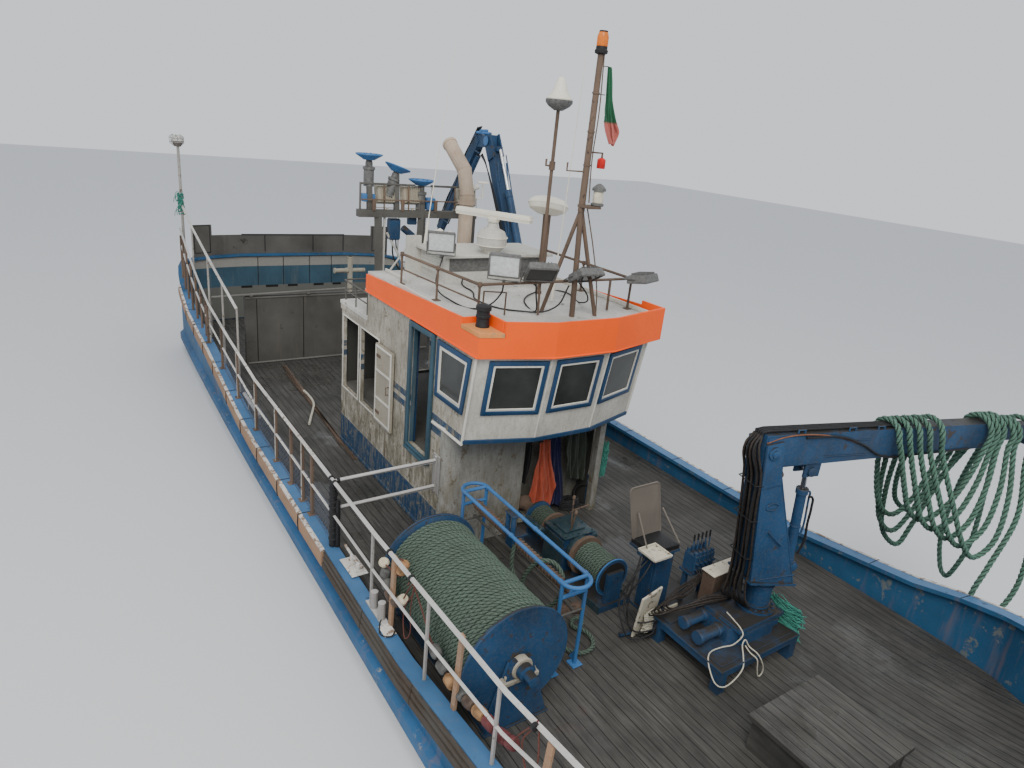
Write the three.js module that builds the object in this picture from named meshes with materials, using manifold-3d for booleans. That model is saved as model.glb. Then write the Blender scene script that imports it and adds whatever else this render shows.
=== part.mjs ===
// A steel inshore fishing vessel with a forward wheelhouse, a rope drum and winch on the foredeck,
// a knuckle crane at the bow, a second crane and a net pen aft. Millimetres.
// +X points to the bow, +Y to port, +Z up. The origin is amidships on the centreline at the waterline.
import * as THREE from "three";
import { mergeVertices } from "three/addons/utils/BufferGeometryUtils.js";
import Module from "manifold-3d";

const wasm = await Module();
wasm.setup();

// Driving dimensions of the hull
const STEM_X = 10200;
const STERN_X = -10150;
const HALF_BEAM = 3330;
const STERN_HALF_BEAM = 3150;
const DECK_Z = 550;
const DRAUGHT = 2200;
const KEEL_HALF = 120;
const BULWARK_PLATE = 60;
const CAP_WIDTH = 180;
const CAP_THICK = 55;
const STRAKE_OUT = 80;
const GAP = 0.4; // left between pieces that touch

// Driving dimensions of the deckhouse: it stands a little to starboard of the centreline
const WALL = 60;
const HOUSE_STBD_Y = -1760;
const HOUSE_PORT_Y = 1080;
const HOUSE_MID_Y = (HOUSE_STBD_Y + HOUSE_PORT_Y) / 2;
const HOUSE_AFT_X = -1550;
const HOUSE_FRONT_X = 2450;
const WHEELHOUSE_AFT_X = -410;
const AFT_ROOF_Z = 3190;
const FLOOR_Z = 1700;
const OVERHANG_Z = 2430;
const ROOF_Z = 3990;
const FASCIA_BOTTOM_Z = 3680;
const FASCIA_TOP_Z = 4140;

// Driving dimensions of the deck gear
const DRUM = { x0: 3490, x1: 5420, y: -2480, z: 1290, flange: 630, rope: 540 };
const WINCH = { y: -330, z: 1000 };
const CRANE = { x: 5800, y: 800, plateZ: 900, heading: 76 };
const AFT_CRANE = { x: -1100, y: 1820, footZ: 2350 };
const RAIL_R = 27;
const RAIL_Z = 1890;
const RAIL_Y = -3240;

const V = (x, y, z) => new THREE.Vector3(x, y, z);

// Materials
const paint = (color, roughness = 0.6, metalness = 0.1) =>
  new THREE.MeshStandardMaterial({ color, roughness, metalness });
const HULL_BLUE = paint(0x2f6ea8);
const DECK_GREY = paint(0x6d6c66, 0.9);
const WALL_WHITE = paint(0xb9b4a8, 0.8);
const ORANGE = paint(0xf2661f, 0.5);
const BARE_GREY = paint(0x66635c, 0.8, 0.4);
const RAIL_WHITE = paint(0xd9d6cc, 0.6, 0.2);
const CRANE_BLUE = paint(0x1f568f, 0.6, 0.2);
const RUSTY = paint(0x6a4a36, 0.9, 0.3);
const ROPE_GREEN = paint(0x4c7a66, 0.95, 0);
const PLASTIC_WHITE = paint(0xe8e5da, 0.5, 0);
const STEEL = paint(0x9a9a98, 0.35, 0.9);
const BRONZE = paint(0x9a7440, 0.4, 0.9);
const BEIGE = paint(0xa39a83, 0.8);

// Turns a closed geometry into a solid that faces outwards.
function solid(geometry) {
  const bare = geometry.clone();
  bare.deleteAttribute("normal");
  bare.deleteAttribute("uv");
  const merged = mergeVertices(bare, 1e-3);
  const p = merged.attributes.position;
  const tris = new Uint32Array(merged.index.array);
  let volume = 0;
  const [a, b, c] = [V(), V(), V()];
  for (let i = 0; i < tris.length; i += 3) {
    a.fromBufferAttribute(p, tris[i]);
    b.fromBufferAttribute(p, tris[i + 1]);
    c.fromBufferAttribute(p, tris[i + 2]);
    volume += a.dot(b.cross(c));
  }
  if (volume < 0) for (let i = 0; i < tris.length; i += 3) [tris[i], tris[i + 1]] = [tris[i + 1], tris[i]];
  return new wasm.Manifold(new wasm.Mesh({ numProp: 3, vertProperties: p.array, triVerts: tris }));
}

const join = (...pieces) => pieces.flat(2).reduce((sum, piece) => sum.add(piece));
const cut = (body, ...tools) => tools.flat(2).reduce((rest, tool) => rest.subtract(tool), body);

function block(x0, x1, y0, y1, z0, z1) {
  const g = new THREE.BoxGeometry(x1 - x0, y1 - y0, z1 - z0);
  return solid(g.translate((x0 + x1) / 2, (y0 + y1) / 2, (z0 + z1) / 2));
}

// A straight round bar from a to b; r2 is its radius at b.
function rod(a, b, r, sides = 8, r2 = r) {
  const along = b.clone().sub(a);
  const g = new THREE.CylinderGeometry(r2, r, along.length(), sides);
  g.applyQuaternion(new THREE.Quaternion().setFromUnitVectors(V(0, 1, 0), along.normalize()));
  const mid = a.clone().add(b).multiplyScalar(0.5);
  return solid(g.translate(mid.x, mid.y, mid.z));
}

// A bent pipe with mitred corners
function pipe(points, r, sides = 8) {
  const ways = points.slice(1).map((p, i) => p.clone().sub(points[i]).normalize());
  const turn = new THREE.Quaternion().setFromUnitVectors(V(0, 0, 1), ways[0]);
  let ring = Array.from({ length: sides }, (_, i) => {
    const angle = (2 * Math.PI * (i + 0.5)) / sides;
    return V(r * Math.cos(angle), r * Math.sin(angle), 0).applyQuaternion(turn).add(points[0]);
  });
  const rings = [ring];
  points.slice(1).forEach((at, i) => {
    const way = ways[i];
    const normal = way.clone().add(ways[i + 1] ?? way);
    ring = ring.map((p) => p.clone().addScaledVector(way, at.clone().sub(p).dot(normal) / way.dot(normal)));
    rings.push(ring);
  });
  return loft(rings);
}
// What is left of a body above a level
const above = (body, z) => body.subtract(block(-12000, 12000, -6000, 6000, z - 3000, z));

// A square bar from a to b, sides wide and deep, its width kept level.
function beam(a, b, wide, deep, wide2 = wide, deep2 = deep) {
  const along = b.clone().sub(a).normalize();
  const across = V(0, 0, 1).cross(along);
  if (across.length() < 1e-3) across.set(0, 1, 0);
  across.normalize();
  const up = along.clone().cross(across);
  const ring = (at, w, d) =>
    [[-1, -1], [1, -1], [1, 1], [-1, 1]].map(([s, t]) =>
      at.clone().addScaledVector(across, (s * w) / 2).addScaledVector(up, (t * d) / 2));
  return loft([ring(a, wide, deep), ring(b, wide2, deep2)]);
}

// A closed skin through rings of equally many points, with flat ends.
function loft(rings) {
  const n = rings[0].length;
  const points = rings.flat();
  const index = [];
  for (let r = 0; r + 1 < rings.length; r++)
    for (let i = 0; i < n; i++) {
      const [a, b] = [r * n + i, r * n + ((i + 1) % n)];
      index.push(a, b, b + n, a, b + n, a + n);
    }
  for (const [start, flip] of [[0, true], [points.length - n, false]]) {
    const ring = points.slice(start, start + n);
    const normal = ring.reduce((sum, p, i) => sum.add(p.clone().cross(ring[(i + 1) % n])), V());
    const turn = new THREE.Quaternion().setFromUnitVectors(normal.normalize(), V(0, 0, 1));
    const flat = ring.map((p) => p.clone().applyQuaternion(turn)).map((p) => new THREE.Vector2(p.x, p.y));
    for (const [i, j, k] of THREE.ShapeUtils.triangulateShape(flat, []))
      index.push(...(flip ? [k, j, i] : [i, j, k]).map((v) => v + start));
  }
  const g = new THREE.BufferGeometry();
  g.setAttribute("position", new THREE.BufferAttribute(new Float32Array(points.flatMap((p) => [p.x, p.y, p.z])), 3));
  return solid(g.setIndex(index));
}

const outline = (points) => new THREE.Shape(points.map(([u, v]) => new THREE.Vector2(u, v)));

function extrude(shape, depth) {
  return new THREE.ExtrudeGeometry(shape, { depth, bevelEnabled: false, curveSegments: 6 });
}

// Flat plates from an outline in XZ, YZ or XY.
function plateXZ(points, y0, y1) {
  const g = extrude(outline(points), y1 - y0);
  return solid(g.applyMatrix4(new THREE.Matrix4().makeBasis(V(1, 0, 0), V(0, 0, 1), V(0, -1, 0))).translate(0, y1, 0));
}
function plateYZ(points, x0, x1) {
  const g = extrude(outline(points), x1 - x0);
  return solid(g.applyMatrix4(new THREE.Matrix4().makeBasis(V(0, 1, 0), V(0, 0, 1), V(1, 0, 0))).translate(x0, 0, 0));
}
const plateXY = (points, z0, z1) => solid(extrude(outline(points), z1 - z0).translate(0, 0, z0));

// A round body about a line parallel to X, Y or Z through a point, from pairs of radius and place.
function turned(pairs, at, axis, sides = 24) {
  const g = new THREE.LatheGeometry(pairs.map(([r, s]) => new THREE.Vector2(r, s)), sides);
  if (axis === "x") g.rotateZ(-Math.PI / 2);
  if (axis === "z") g.rotateX(Math.PI / 2);
  return solid(g.translate(at.x, at.y, at.z));
}

const root = new THREE.Group();
function piece(name, body, material) {
  const m = body.getMesh();
  const g = new THREE.BufferGeometry();
  g.setAttribute("position", new THREE.BufferAttribute(new Float32Array(m.vertProperties), 3));
  g.setIndex(new THREE.BufferAttribute(new Uint32Array(m.triVerts), 1));
  g.computeVertexNormals();
  const mesh = new THREE.Mesh(g, material);
  mesh.name = name;
  root.add(mesh);
  return body;
}

// Hull form: half breadth, deck height, keel depth and bulwark cap height along the length
const STERN_ARC_X = -9500;
const BOW_ARC_X = 6600; // where the deck's edge starts to curve in
const BOW_FLARE_X = 4300; // where the sides start to flare
function halfBreadth(x) {
  if (x < STERN_ARC_X) {
    const u = (STERN_ARC_X - x) / (STERN_ARC_X - STERN_X + 50);
    return STERN_HALF_BEAM * (1 - u ** 2.4) ** (1 / 2.4);
  }
  if (x < 0) return HALF_BEAM + ((STERN_HALF_BEAM - HALF_BEAM) * (x / STERN_ARC_X) ** 2);
  if (x < BOW_ARC_X) return HALF_BEAM;
  const u = Math.min(1, (x - BOW_ARC_X) / (STEM_X - BOW_ARC_X));
  return Math.max(60, HALF_BEAM * (1 - u ** 2.2) ** 0.8);
}
const SHEER_X = 6500; // where the deck starts to rise to the bow
const sheer = (x) => DECK_Z + 600 * Math.max(0, (x - SHEER_X) / (STEM_X - SHEER_X)) ** 2;

function along(table, x) {
  const i = Math.max(1, table.findIndex(([at]) => at >= x));
  const [[x0, z0], [x1, z1]] = [table[i - 1], table[i]];
  return z0 + ((z1 - z0) * (x - x0)) / (x1 - x0);
}
// x, z
const KEEL = [[-10200, -250], [-9200, -450], [-8200, -700], [-7600, -1400], [-7000, -1900], [-5500, -2000], [7400, -2000],
  [8300, -1650], [9100, -700], [9700, 250], [10200, 1050]];
const CAP = [[-10200, 2400], [-9750, 2300], [-9260, 1765], [-8000, 1450], [-5500, 1330], [-4000, 1180],
  [-2500, 1000], [-1500, 940], [4500, 900], [6500, 1150], [8500, 1700], [10200, 2350]];
const keelZ = (x) => along(KEEL, x);
const capZ = (x) => along(CAP, x);

const STATIONS = [STERN_X, -10050, -9920, -9750, -9500, -9200, -8600, -8000, -7000, -5500, -3500, -1500, 1500, 4300, 5500, 6500,
  7100, 7700, 8300, 8500, 8900, 9300, 9650, 9950, 10120, STEM_X];
const DECK_LINE = STATIONS.map((x) => [x, sheer(x)]);
const deckZ = (x) => along(DECK_LINE, x);

// One cross-section of the hull: flat deck, rubbing strake, round bilge
function hullRing(x) {
  const [b, top, low] = [halfBreadth(x), deckZ(x) - GAP, keelZ(x)];
  const bow = Math.max(0, (x - BOW_FLARE_X) / (STEM_X - BOW_FLARE_X));
  const strake = Math.min(STRAKE_OUT, b * 0.4);
  const side = [[b, top], [b, top - 60], [b + strake, top - 90], [b + strake, top - 250], [b, top - 280]];
  const fullness = 2.6 - 1.2 * bow;
  for (const t of [0.35, 0.55, 0.75, 0.9, 0.98]) {
    const half = b * (1 - t ** fullness) ** 0.62 * (1 - 0.35 * bow * t);
    side.push([Math.max(half, Math.min(KEEL_HALF, b)), top - 280 + (low - top + 280) * t]);
  }
  side.push([Math.min(KEEL_HALF, b), low]);
  const port = side.map(([y, z]) => V(x, y, z));
  const starboard = side.map(([y, z]) => V(x, -y, z)).reverse();
  return [...port, ...starboard];
}
piece("hull", loft(STATIONS.map(hullRing)), HULL_BLUE);

// Bar keel and deadwood, with the shoe under the rudder
const SHOE_Z = -DRAUGHT + 100;
const SHAFT_Z = -1480;
const SKEG_X = -7850;
const SHOE_X = -9700;
const hullBottom = (x) => along(STATIONS.map((at) => [at, keelZ(at)]), x) - GAP;
const keelProfile = [[SHOE_X, -DRAUGHT], [6900, -DRAUGHT], ...[7300, 7100, -5500, -7000, SKEG_X].map((x) => [x, hullBottom(x)]),
  [SKEG_X, SHOE_Z], [SHOE_X, SHOE_Z]];
const shaft = rod(V(SKEG_X - 50, 0, SHAFT_Z), V(SKEG_X + 130, 0, SHAFT_Z), 100, 12);
piece("keel", join(plateXZ(keelProfile, -KEEL_HALF, KEEL_HALF), shaft), HULL_BLUE);

// Deck plating, with the camber left out, and the hatch on it
const DECK_PLATE = 30;
const WATERWAY = 95; // between the hull's side and the edge of the plating
function deckHalf(x) {
  const slope = (halfBreadth(x + 10) - halfBreadth(x - 10)) / 20;
  return Math.max(20, halfBreadth(x) - WATERWAY * Math.hypot(1, slope));
}
const DECK_XS = [STERN_X + 97, -10020, ...STATIONS.slice(2, -4), 9560];
const deckRing = (x) => {
  const [y, z] = [deckHalf(x), deckZ(x) + GAP];
  return [V(x, -y, z), V(x, y, z), V(x, y, z + DECK_PLATE), V(x, -y, z + DECK_PLATE)];
};
const HATCH = { x0: 6900, x1: 7900, half: 550, z: deckZ(7900) };
const underDeck = plateXZ([[6000, 0], [8300, 0], ...[8300, 7700, 7100, 6500, 6000].map((x) => [x, deckZ(x) + 10])], -3000,
  3000);
piece("main_deck", join(
  loft(DECK_XS.map(deckRing)),
  cut(block(HATCH.x0, HATCH.x1, -HATCH.half, HATCH.half, HATCH.z - 200, HATCH.z + 330), underDeck),
  block(HATCH.x0 - 40, HATCH.x1 + 40, -HATCH.half - 40, HATCH.half + 40, HATCH.z + 329, HATCH.z + 380),
), DECK_GREY);
const DECK_TOP = DECK_Z + GAP + DECK_PLATE;

// A strip that follows the deck edge on one side, from profile points of inset and height
function edgeStrip(xs, side, profile) {
  return loft(xs.map((x, i) => {
    const at = (v) => V(v, side * halfBreadth(v), 0);
    const tangent = at(xs[Math.min(i + 1, xs.length - 1)]).sub(at(xs[Math.max(i - 1, 0)])).normalize();
    const inward = V(-tangent.y * side, tangent.x * side, 0).multiplyScalar(-1);
    return profile(x).map(([inset, z]) => at(x).addScaledVector(inward, inset).setZ(z));
  }));
}
const bulwarkProfile = (x) => {
  const [foot, top] = [deckZ(x) + GAP, capZ(x)];
  const under = top - CAP_THICK;
  return [[0, foot], [0, under], [-30, under], [-30, top], [CAP_WIDTH - 30, top], [CAP_WIDTH - 30, under],
    [BULWARK_PLATE, under], [BULWARK_PLATE, foot]];
};
const EDGE_XS = [STERN_X, -10050, -9920, -9750, -9640, -9500, -9260, -8600, -8000, -7000, -5500, -4000, -2500, -1500, 1500,
  4500, 5500, 6500, 7100, 7700, 8300, 8500, 8900, 9300, 9650, 10000];
const bulwarkHalves = [-1, 1].map((side) => edgeStrip(EDGE_XS, side, bulwarkProfile));
const STERN_CUT_X = -8600;
const BOW_CUT_X = 8300;
const between = (body, x0, x1) => body.intersect(block(x0, x1, -5000, 5000, -3000, 5000));
piece("bulwark_starboard", between(bulwarkHalves[0], STERN_CUT_X, BOW_CUT_X), HULL_BLUE);
piece("bulwark_port", between(bulwarkHalves[1], STERN_CUT_X, BOW_CUT_X), HULL_BLUE);

// Bow bulwark, both sides in one piece with the stem
const STEM_PLAN = [[9900, halfBreadth(9900) - 30], [10000, halfBreadth(10000) - 30], [10170, 70]];
const stemPost = plateXY([...STEM_PLAN.map(([x, y]) => [x, -y]), ...STEM_PLAN.toReversed()], 900, capZ(10000) - 2);
const underStem = plateXZ([[8000, 0], [10300, 0], [10300, deckZ(STEM_X) + 60],
  ...STATIONS.slice(-4).toReversed().map((x) => [x, deckZ(x) + GAP])], -3000, 3000);
const bowHalves = bulwarkHalves.map((half) => between(half, BOW_CUT_X + GAP, STEM_X));
piece("bow_bulwark", join(bowHalves, cut(stemPost, underStem)), HULL_BLUE);

// Stern bulwark around the net pen and the taller guard plate on it
function sternRing(halves, profile) {
  const last = halfBreadth(STERN_X) + 2;
  return join(halves, loft([-last, last].map((y) => profile(STERN_X).map(([inset, z]) => V(STERN_X + inset, y, z)))));
}
const sternHalves = bulwarkHalves.map((half) => between(half, -12000, STERN_CUT_X - GAP));
piece("stern_bulwark", sternRing(sternHalves, bulwarkProfile), HULL_BLUE);

const GUARD_TOP_Z = 2900;
const GUARD_END_Z = 3180;
const guardStrip = (xs, thick, top) =>
  [-1, 1].map((side) => edgeStrip(xs, side, (x) => [[0, capZ(x) + GAP], [0, top], [thick, top], [thick, capZ(x) + GAP]]));
const guardProfile = () => [[0, capZ(STERN_X) + GAP], [0, GUARD_TOP_Z], [25, GUARD_TOP_Z], [25, capZ(STERN_X) + GAP]];
const [GUARD_END_X, GUARD_CORNER_X] = [EDGE_XS[2], EDGE_XS[1]];
piece("stern_guard", join(
  sternRing(guardStrip([STERN_X, GUARD_CORNER_X, GUARD_END_X], 25, GUARD_TOP_Z), guardProfile),
  guardStrip([GUARD_CORNER_X, GUARD_END_X], 35, GUARD_END_Z),
), BARE_GREY);

// Net pen: the steel wall across the deck
const PEN_X = -6200;
const PEN_TOP_Z = 2200;
const penWall = join(
  block(PEN_X - 20, PEN_X + 20, -2330, 2330, DECK_TOP + GAP, PEN_TOP_Z),
  [-2330, -1500, -250, 1000, 2270].map((y) => block(PEN_X - 90, PEN_X, y, y + 60, DECK_TOP + GAP, PEN_TOP_Z)),
  block(PEN_X - 90, PEN_X + 20, -2330, 2330, PEN_TOP_Z - 60, PEN_TOP_Z),
);
piece("pen_wall", penWall, BARE_GREY);

// Starboard rail: a top rail on posts that stand on the bulwark cap, and a lower rail
const railZ = (x) => (x < -1700 ? RAIL_Z + ((-1700 - x) / 4000) * 300 : RAIL_Z + Math.max(0, (x - 3500) / 3500) * 130);
const railAt = (x, z) => V(x, Math.max(RAIL_Y, -(halfBreadth(x) - 75)), z);
const BOLLARD_X = 3700;
const bollardZ = capZ(BOLLARD_X - 260);
// Where the foot of something that stands on the cap ends
const onCap = (x, r) => Math.max(capZ(x - (x < -9400 ? 180 : 3 * r)), capZ(x + 3 * r)) + GAP;
const railRun = (xs, posts) => [
  pipe(xs.map((x) => railAt(x, railZ(x))), RAIL_R, 6),
  pipe(xs.map((x) => railAt(x, (railZ(x) + capZ(x)) / 2)), RAIL_R * 0.7, 6),
  posts.map((x) => rod(railAt(x, onCap(x, RAIL_R)), railAt(x, railZ(x)), RAIL_R * 0.8, 6)),
];
piece("starboard_rail_aft", join(
  railRun([-5700, -3700, -1700, 500, 1499], [-5650, -4300, -3000, -1700, -450, 900]),
), RAIL_WHITE);
piece("starboard_rail_fore", join(
  railRun([1501, 2200, 3600, 5000, 6300, 7400], [2200, 3500, 4900, 6200, 7350]),
  block(BOLLARD_X - 260, BOLLARD_X + 260, RAIL_Y - 45, RAIL_Y + 45, bollardZ + GAP, bollardZ + 24),
  [-110, 110].map((dx) =>
    rod(V(BOLLARD_X + dx, RAIL_Y, bollardZ + 10), V(BOLLARD_X + dx, RAIL_Y, bollardZ + 240), 45, 12)),
  [0, 400].map((down) => rod(V(2200, RAIL_Y, RAIL_Z - down), V(2200, HOUSE_STBD_Y - 1, RAIL_Z - down), RAIL_R * 0.8, 6)),
), RAIL_WHITE);

// Upper rails beside the net pen; the starboard one carries the stern lamp pole
const STERN_POLE_X = -9630;
for (const [name, side] of [["starboard", -1], ["port", 1]]) {
  const at = (x, z) => V(x, side * (halfBreadth(x) - 75 - 80), z);
  const top = (x) => 2720 + ((-3200 - x) / 6200) * 950;
  const xs = [-9650, -8000, -6000, -4500, -3200];
  piece(`${name}_upper_rail`, join(
    pipe(xs.map((x) => at(x, top(x))), RAIL_R, 6),
    xs.map((x) => rod(at(x, onCap(x, RAIL_R)), at(x, top(x)), RAIL_R * 0.75, 6)),
    side > 0 ? [] : [
      rod(at(STERN_POLE_X, onCap(STERN_POLE_X, 40)), at(STERN_POLE_X, 5150), 34, 8),
      turned([[0, 0], [70, 0], [150, 130], [110, 260], [0, 260]], at(STERN_POLE_X, 5120), "z", 10),
    ],
  ), RAIL_WHITE);
}
// Deckhouse side walls: the outline steps down aft of the wheelhouse and rakes forward at the front
const WALL_OUTLINE = [[HOUSE_AFT_X, DECK_TOP + GAP], [HOUSE_FRONT_X - 200, DECK_TOP + GAP],
  [HOUSE_FRONT_X - 200, OVERHANG_Z], [2800, OVERHANG_Z], [3040, ROOF_Z - 70], [WHEELHOUSE_AFT_X, ROOF_Z - 70],
  [WHEELHOUSE_AFT_X, AFT_ROOF_Z], [HOUSE_AFT_X, AFT_ROOF_Z]];
const DOORWAY = [[1290, 1790], [1890, 1790], [1890, 3570], [1290, 3570]];
const SIDE_WINDOW = [[2160, 2940], [2690, 2940], [2790, 3500], [2160, 3500]];
const AFT_OPENINGS = [
  [[-1450, 1700], [-760, 1700], [-760, 3000], [-1450, 3000]],
  [[-640, 1700], [90, 1700], [90, 3000], [-640, 3000]],
];
for (const [name, y] of [["house_wall_starboard", HOUSE_STBD_Y], ["house_wall_port", HOUSE_PORT_Y - WALL]]) {
  const openings = [DOORWAY, SIDE_WINDOW, ...AFT_OPENINGS].map((o) => plateXZ(o, y - 50, y + WALL + 50));
  piece(name, cut(plateXZ(WALL_OUTLINE, y, y + WALL), openings), WALL_WHITE);
}
const INNER_STBD_Y = HOUSE_STBD_Y + WALL + GAP;
const INNER_PORT_Y = HOUSE_PORT_Y - WALL - GAP;
const aftDoorway = block(HOUSE_AFT_X - 50, HOUSE_AFT_X + 100, HOUSE_MID_Y - 320, HOUSE_MID_Y + 320, FLOOR_Z + 90, 3000);
piece("house_wall_aft", cut(
  block(HOUSE_AFT_X, HOUSE_AFT_X + WALL, INNER_STBD_Y, INNER_PORT_Y, DECK_TOP + GAP, AFT_ROOF_Z), aftDoorway), WALL_WHITE);
piece("wheelhouse_wall_aft",
  block(WHEELHOUSE_AFT_X, WHEELHOUSE_AFT_X + WALL, INNER_STBD_Y, INNER_PORT_Y, AFT_ROOF_Z - 100, ROOF_Z - 70), WALL_WHITE);

// Lower front wall: round starboard corner, then an alcove as far as the port pillar
const ALCOVE_X = 2000;
const ALCOVE_Y0 = -450;
const PILLAR = 110;
const frontShape = new THREE.Shape();
frontShape.moveTo(HOUSE_FRONT_X - 200 + GAP, HOUSE_STBD_Y);
frontShape.absarc(HOUSE_FRONT_X - 200, HOUSE_STBD_Y + 200, 200, -Math.PI / 2 + 0.01, 0);
frontShape.lineTo(HOUSE_FRONT_X, ALCOVE_Y0);
frontShape.lineTo(ALCOVE_X, ALCOVE_Y0);
frontShape.lineTo(ALCOVE_X, INNER_PORT_Y);
frontShape.lineTo(ALCOVE_X - WALL, INNER_PORT_Y);
frontShape.lineTo(ALCOVE_X - WALL, ALCOVE_Y0 - WALL);
frontShape.lineTo(HOUSE_FRONT_X - WALL, ALCOVE_Y0 - WALL);
frontShape.lineTo(HOUSE_FRONT_X - WALL, HOUSE_STBD_Y + 200);
frontShape.absarc(HOUSE_FRONT_X - 200, HOUSE_STBD_Y + 200, 140, 0, -Math.PI / 2 + 0.01, true);
const frontBody = solid(extrude(frontShape, OVERHANG_Z - DECK_TOP - 2 * GAP).translate(0, 0, DECK_TOP + GAP));
piece("house_front_lower", join(
  frontBody,
  block(HOUSE_FRONT_X - PILLAR, HOUSE_FRONT_X, HOUSE_PORT_Y - PILLAR, HOUSE_PORT_Y, DECK_TOP + GAP, OVERHANG_Z - GAP),
  block(HOUSE_FRONT_X - WALL, HOUSE_FRONT_X, ALCOVE_Y0 - 1, HOUSE_PORT_Y - 1, OVERHANG_Z - 110, OVERHANG_Z - GAP),
), WALL_WHITE);

// Floor of the house, notched for the alcove
piece("house_floor", cut(
  block(HOUSE_AFT_X + WALL + GAP, HOUSE_FRONT_X - WALL - GAP, INNER_STBD_Y, INNER_PORT_Y, FLOOR_Z, FLOOR_Z + 50),
  block(ALCOVE_X - WALL - GAP, 3000, ALCOVE_Y0 - WALL - GAP, 2000, 0, 3000),
  block(HOUSE_FRONT_X - 205, 3000, -2500, HOUSE_STBD_Y + 205, 0, 3000),
), BARE_GREY);

// Wheelhouse front: three facets that rake forward, a shelf under them, three windows
const FRONT_BOTTOM = [[2810, HOUSE_STBD_Y], [3090, -810], [3090, 130], [2810, HOUSE_PORT_Y]];
const RAKE = 0.16;
const frontRing = (z, inset) => {
  const dx = (z - OVERHANG_Z) * RAKE;
  const skin = FRONT_BOTTOM.map(([x, y]) => V(x + dx, y, z));
  const lining = [[1080 - inset, 2810], [110, 3090], [-790, 3090], [HOUSE_STBD_Y + inset, 2810]]
    .map(([y, x]) => V(x + dx - WALL, y, z));
  return [...skin, ...lining];
};
const front = loft([frontRing(OVERHANG_Z, 0), frontRing(ROOF_Z - 70, 0)]);
const WINDOWS = [{ y0: -1500, y1: -930 }, { y0: -630, y1: -60 }, { y0: 250, y1: 850 }];
const windowHoles = WINDOWS.map(({ y0, y1 }) => block(2600, 3600, y0, y1, 2950, 3530));
const shelfOutline = [[HOUSE_FRONT_X - 190, HOUSE_STBD_Y + WALL + 2], [2750, HOUSE_STBD_Y + WALL + 2], [3050, -810],
  [3050, 130], [2750, HOUSE_PORT_Y - WALL - 2], [ALCOVE_X + 10, HOUSE_PORT_Y - WALL - 2],
  [ALCOVE_X + 10, ALCOVE_Y0 + 5], [HOUSE_FRONT_X - 190, ALCOVE_Y0 + 5]];
const shelf = plateXY(shelfOutline, OVERHANG_Z, OVERHANG_Z + 50);
const sideWallSpace = [HOUSE_STBD_Y - 100, HOUSE_PORT_Y - WALL - GAP].map((y) =>
  plateXZ([[1500, 2000], [2800 + GAP, 2000], [2800 + GAP, OVERHANG_Z], [3040 + GAP, ROOF_Z - 70], [3040, 4300], [1500, 4300]],
    y, y + WALL + 100 + GAP));
piece("wheelhouse_front", cut(join(front, shelf), windowHoles, sideWallSpace), WALL_WHITE);

// Roofs
const roofOutline = (out) => [[WHEELHOUSE_AFT_X - 20 - out, HOUSE_STBD_Y - out], [3060 + out, HOUSE_STBD_Y - out],
  [3330 + out, -830], [3330 + out, 150], [3060 + out, HOUSE_PORT_Y + 130 + out],
  [WHEELHOUSE_AFT_X - 20 - out, HOUSE_PORT_Y + 130 + out]];
const cornerVent = rod(V(2830, -1600, ROOF_Z - 10), V(2830, -1600, ROOF_Z + 250), 75, 12);
piece("wheelhouse_roof", join(plateXY(roofOutline(0), ROOF_Z - 70 + GAP, ROOF_Z), cornerVent), DECK_GREY);
piece("aft_roof", block(HOUSE_AFT_X - 40, WHEELHOUSE_AFT_X - GAP, HOUSE_STBD_Y - 20, HOUSE_PORT_Y + 20,
  AFT_ROOF_Z + GAP, AFT_ROOF_Z + 60), DECK_GREY);

// Orange fascia around three sides, low at the aft end, with a step at the starboard front corner
const FASCIA = 35;
const fasciaShape = outline(roofOutline(FASCIA + GAP));
fasciaShape.holes.push(new THREE.Path(roofOutline(GAP).map(([x, y]) => new THREE.Vector2(x, y))));
const fasciaBand = solid(extrude(fasciaShape, FASCIA_TOP_Z - FASCIA_BOTTOM_Z).translate(0, 0, FASCIA_BOTTOM_Z));
const openAft = block(-1000, WHEELHOUSE_AFT_X - 10, -3000, 3000, 3000, 5000);
const slopeTop = plateXZ([[-600, 3940], [2650, 4080], [2650, 4300], [-600, 4300]], -3000, 3000);
const cornerStep = block(2640, 3600, -3000, -1480, 3940, 4400);
piece("roof_fascia", cut(fasciaBand, openAft, slopeTop, cornerStep), ORANGE);

// Raised casing on the roof and the rails around the roof
const CASING = { x0: -400, x1: 520, y0: -900, y1: 950, top: 4420 };
const RADAR = V(430, -60, CASING.top);
const radarPedestal = turned([[0, -10], [120, -10], [150, 40], [235, 130], [245, 260], [200, 350], [95, 400], [70, 480],
  [0, 480]], RADAR, "z", 18);
piece("roof_casing", join(
  radarPedestal,
  block(CASING.x0, CASING.x1, CASING.y0, CASING.y1, ROOF_Z + GAP, CASING.top - 40),
  block(CASING.x0 - 10, CASING.x1 + 90, CASING.y0 - 90, CASING.y1 + 90, CASING.top - 40, CASING.top),
  block(CASING.x0, CASING.x0 + 60, -1150, -900, ROOF_Z + GAP, 4560),
), WALL_WHITE);
const ROOF_RAIL_Z = 4440;
const roofRailPath = [V(500, -1620, ROOF_RAIL_Z), V(2500, -1480, ROOF_RAIL_Z), V(2520, 1060, ROOF_RAIL_Z),
  V(300, 1080, ROOF_RAIL_Z)];
piece("roof_rails", join(
  pipe(roofRailPath, 20, 6),
  [[500, -1620], [1500, -1550], [2500, -1480], [2520, 1060], [1400, 1070], [300, 1080]].map(([x, y]) =>
    rod(V(x, y, ROOF_Z + GAP), V(x, y, ROOF_RAIL_Z), 18, 6)),
), RUSTY);

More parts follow.
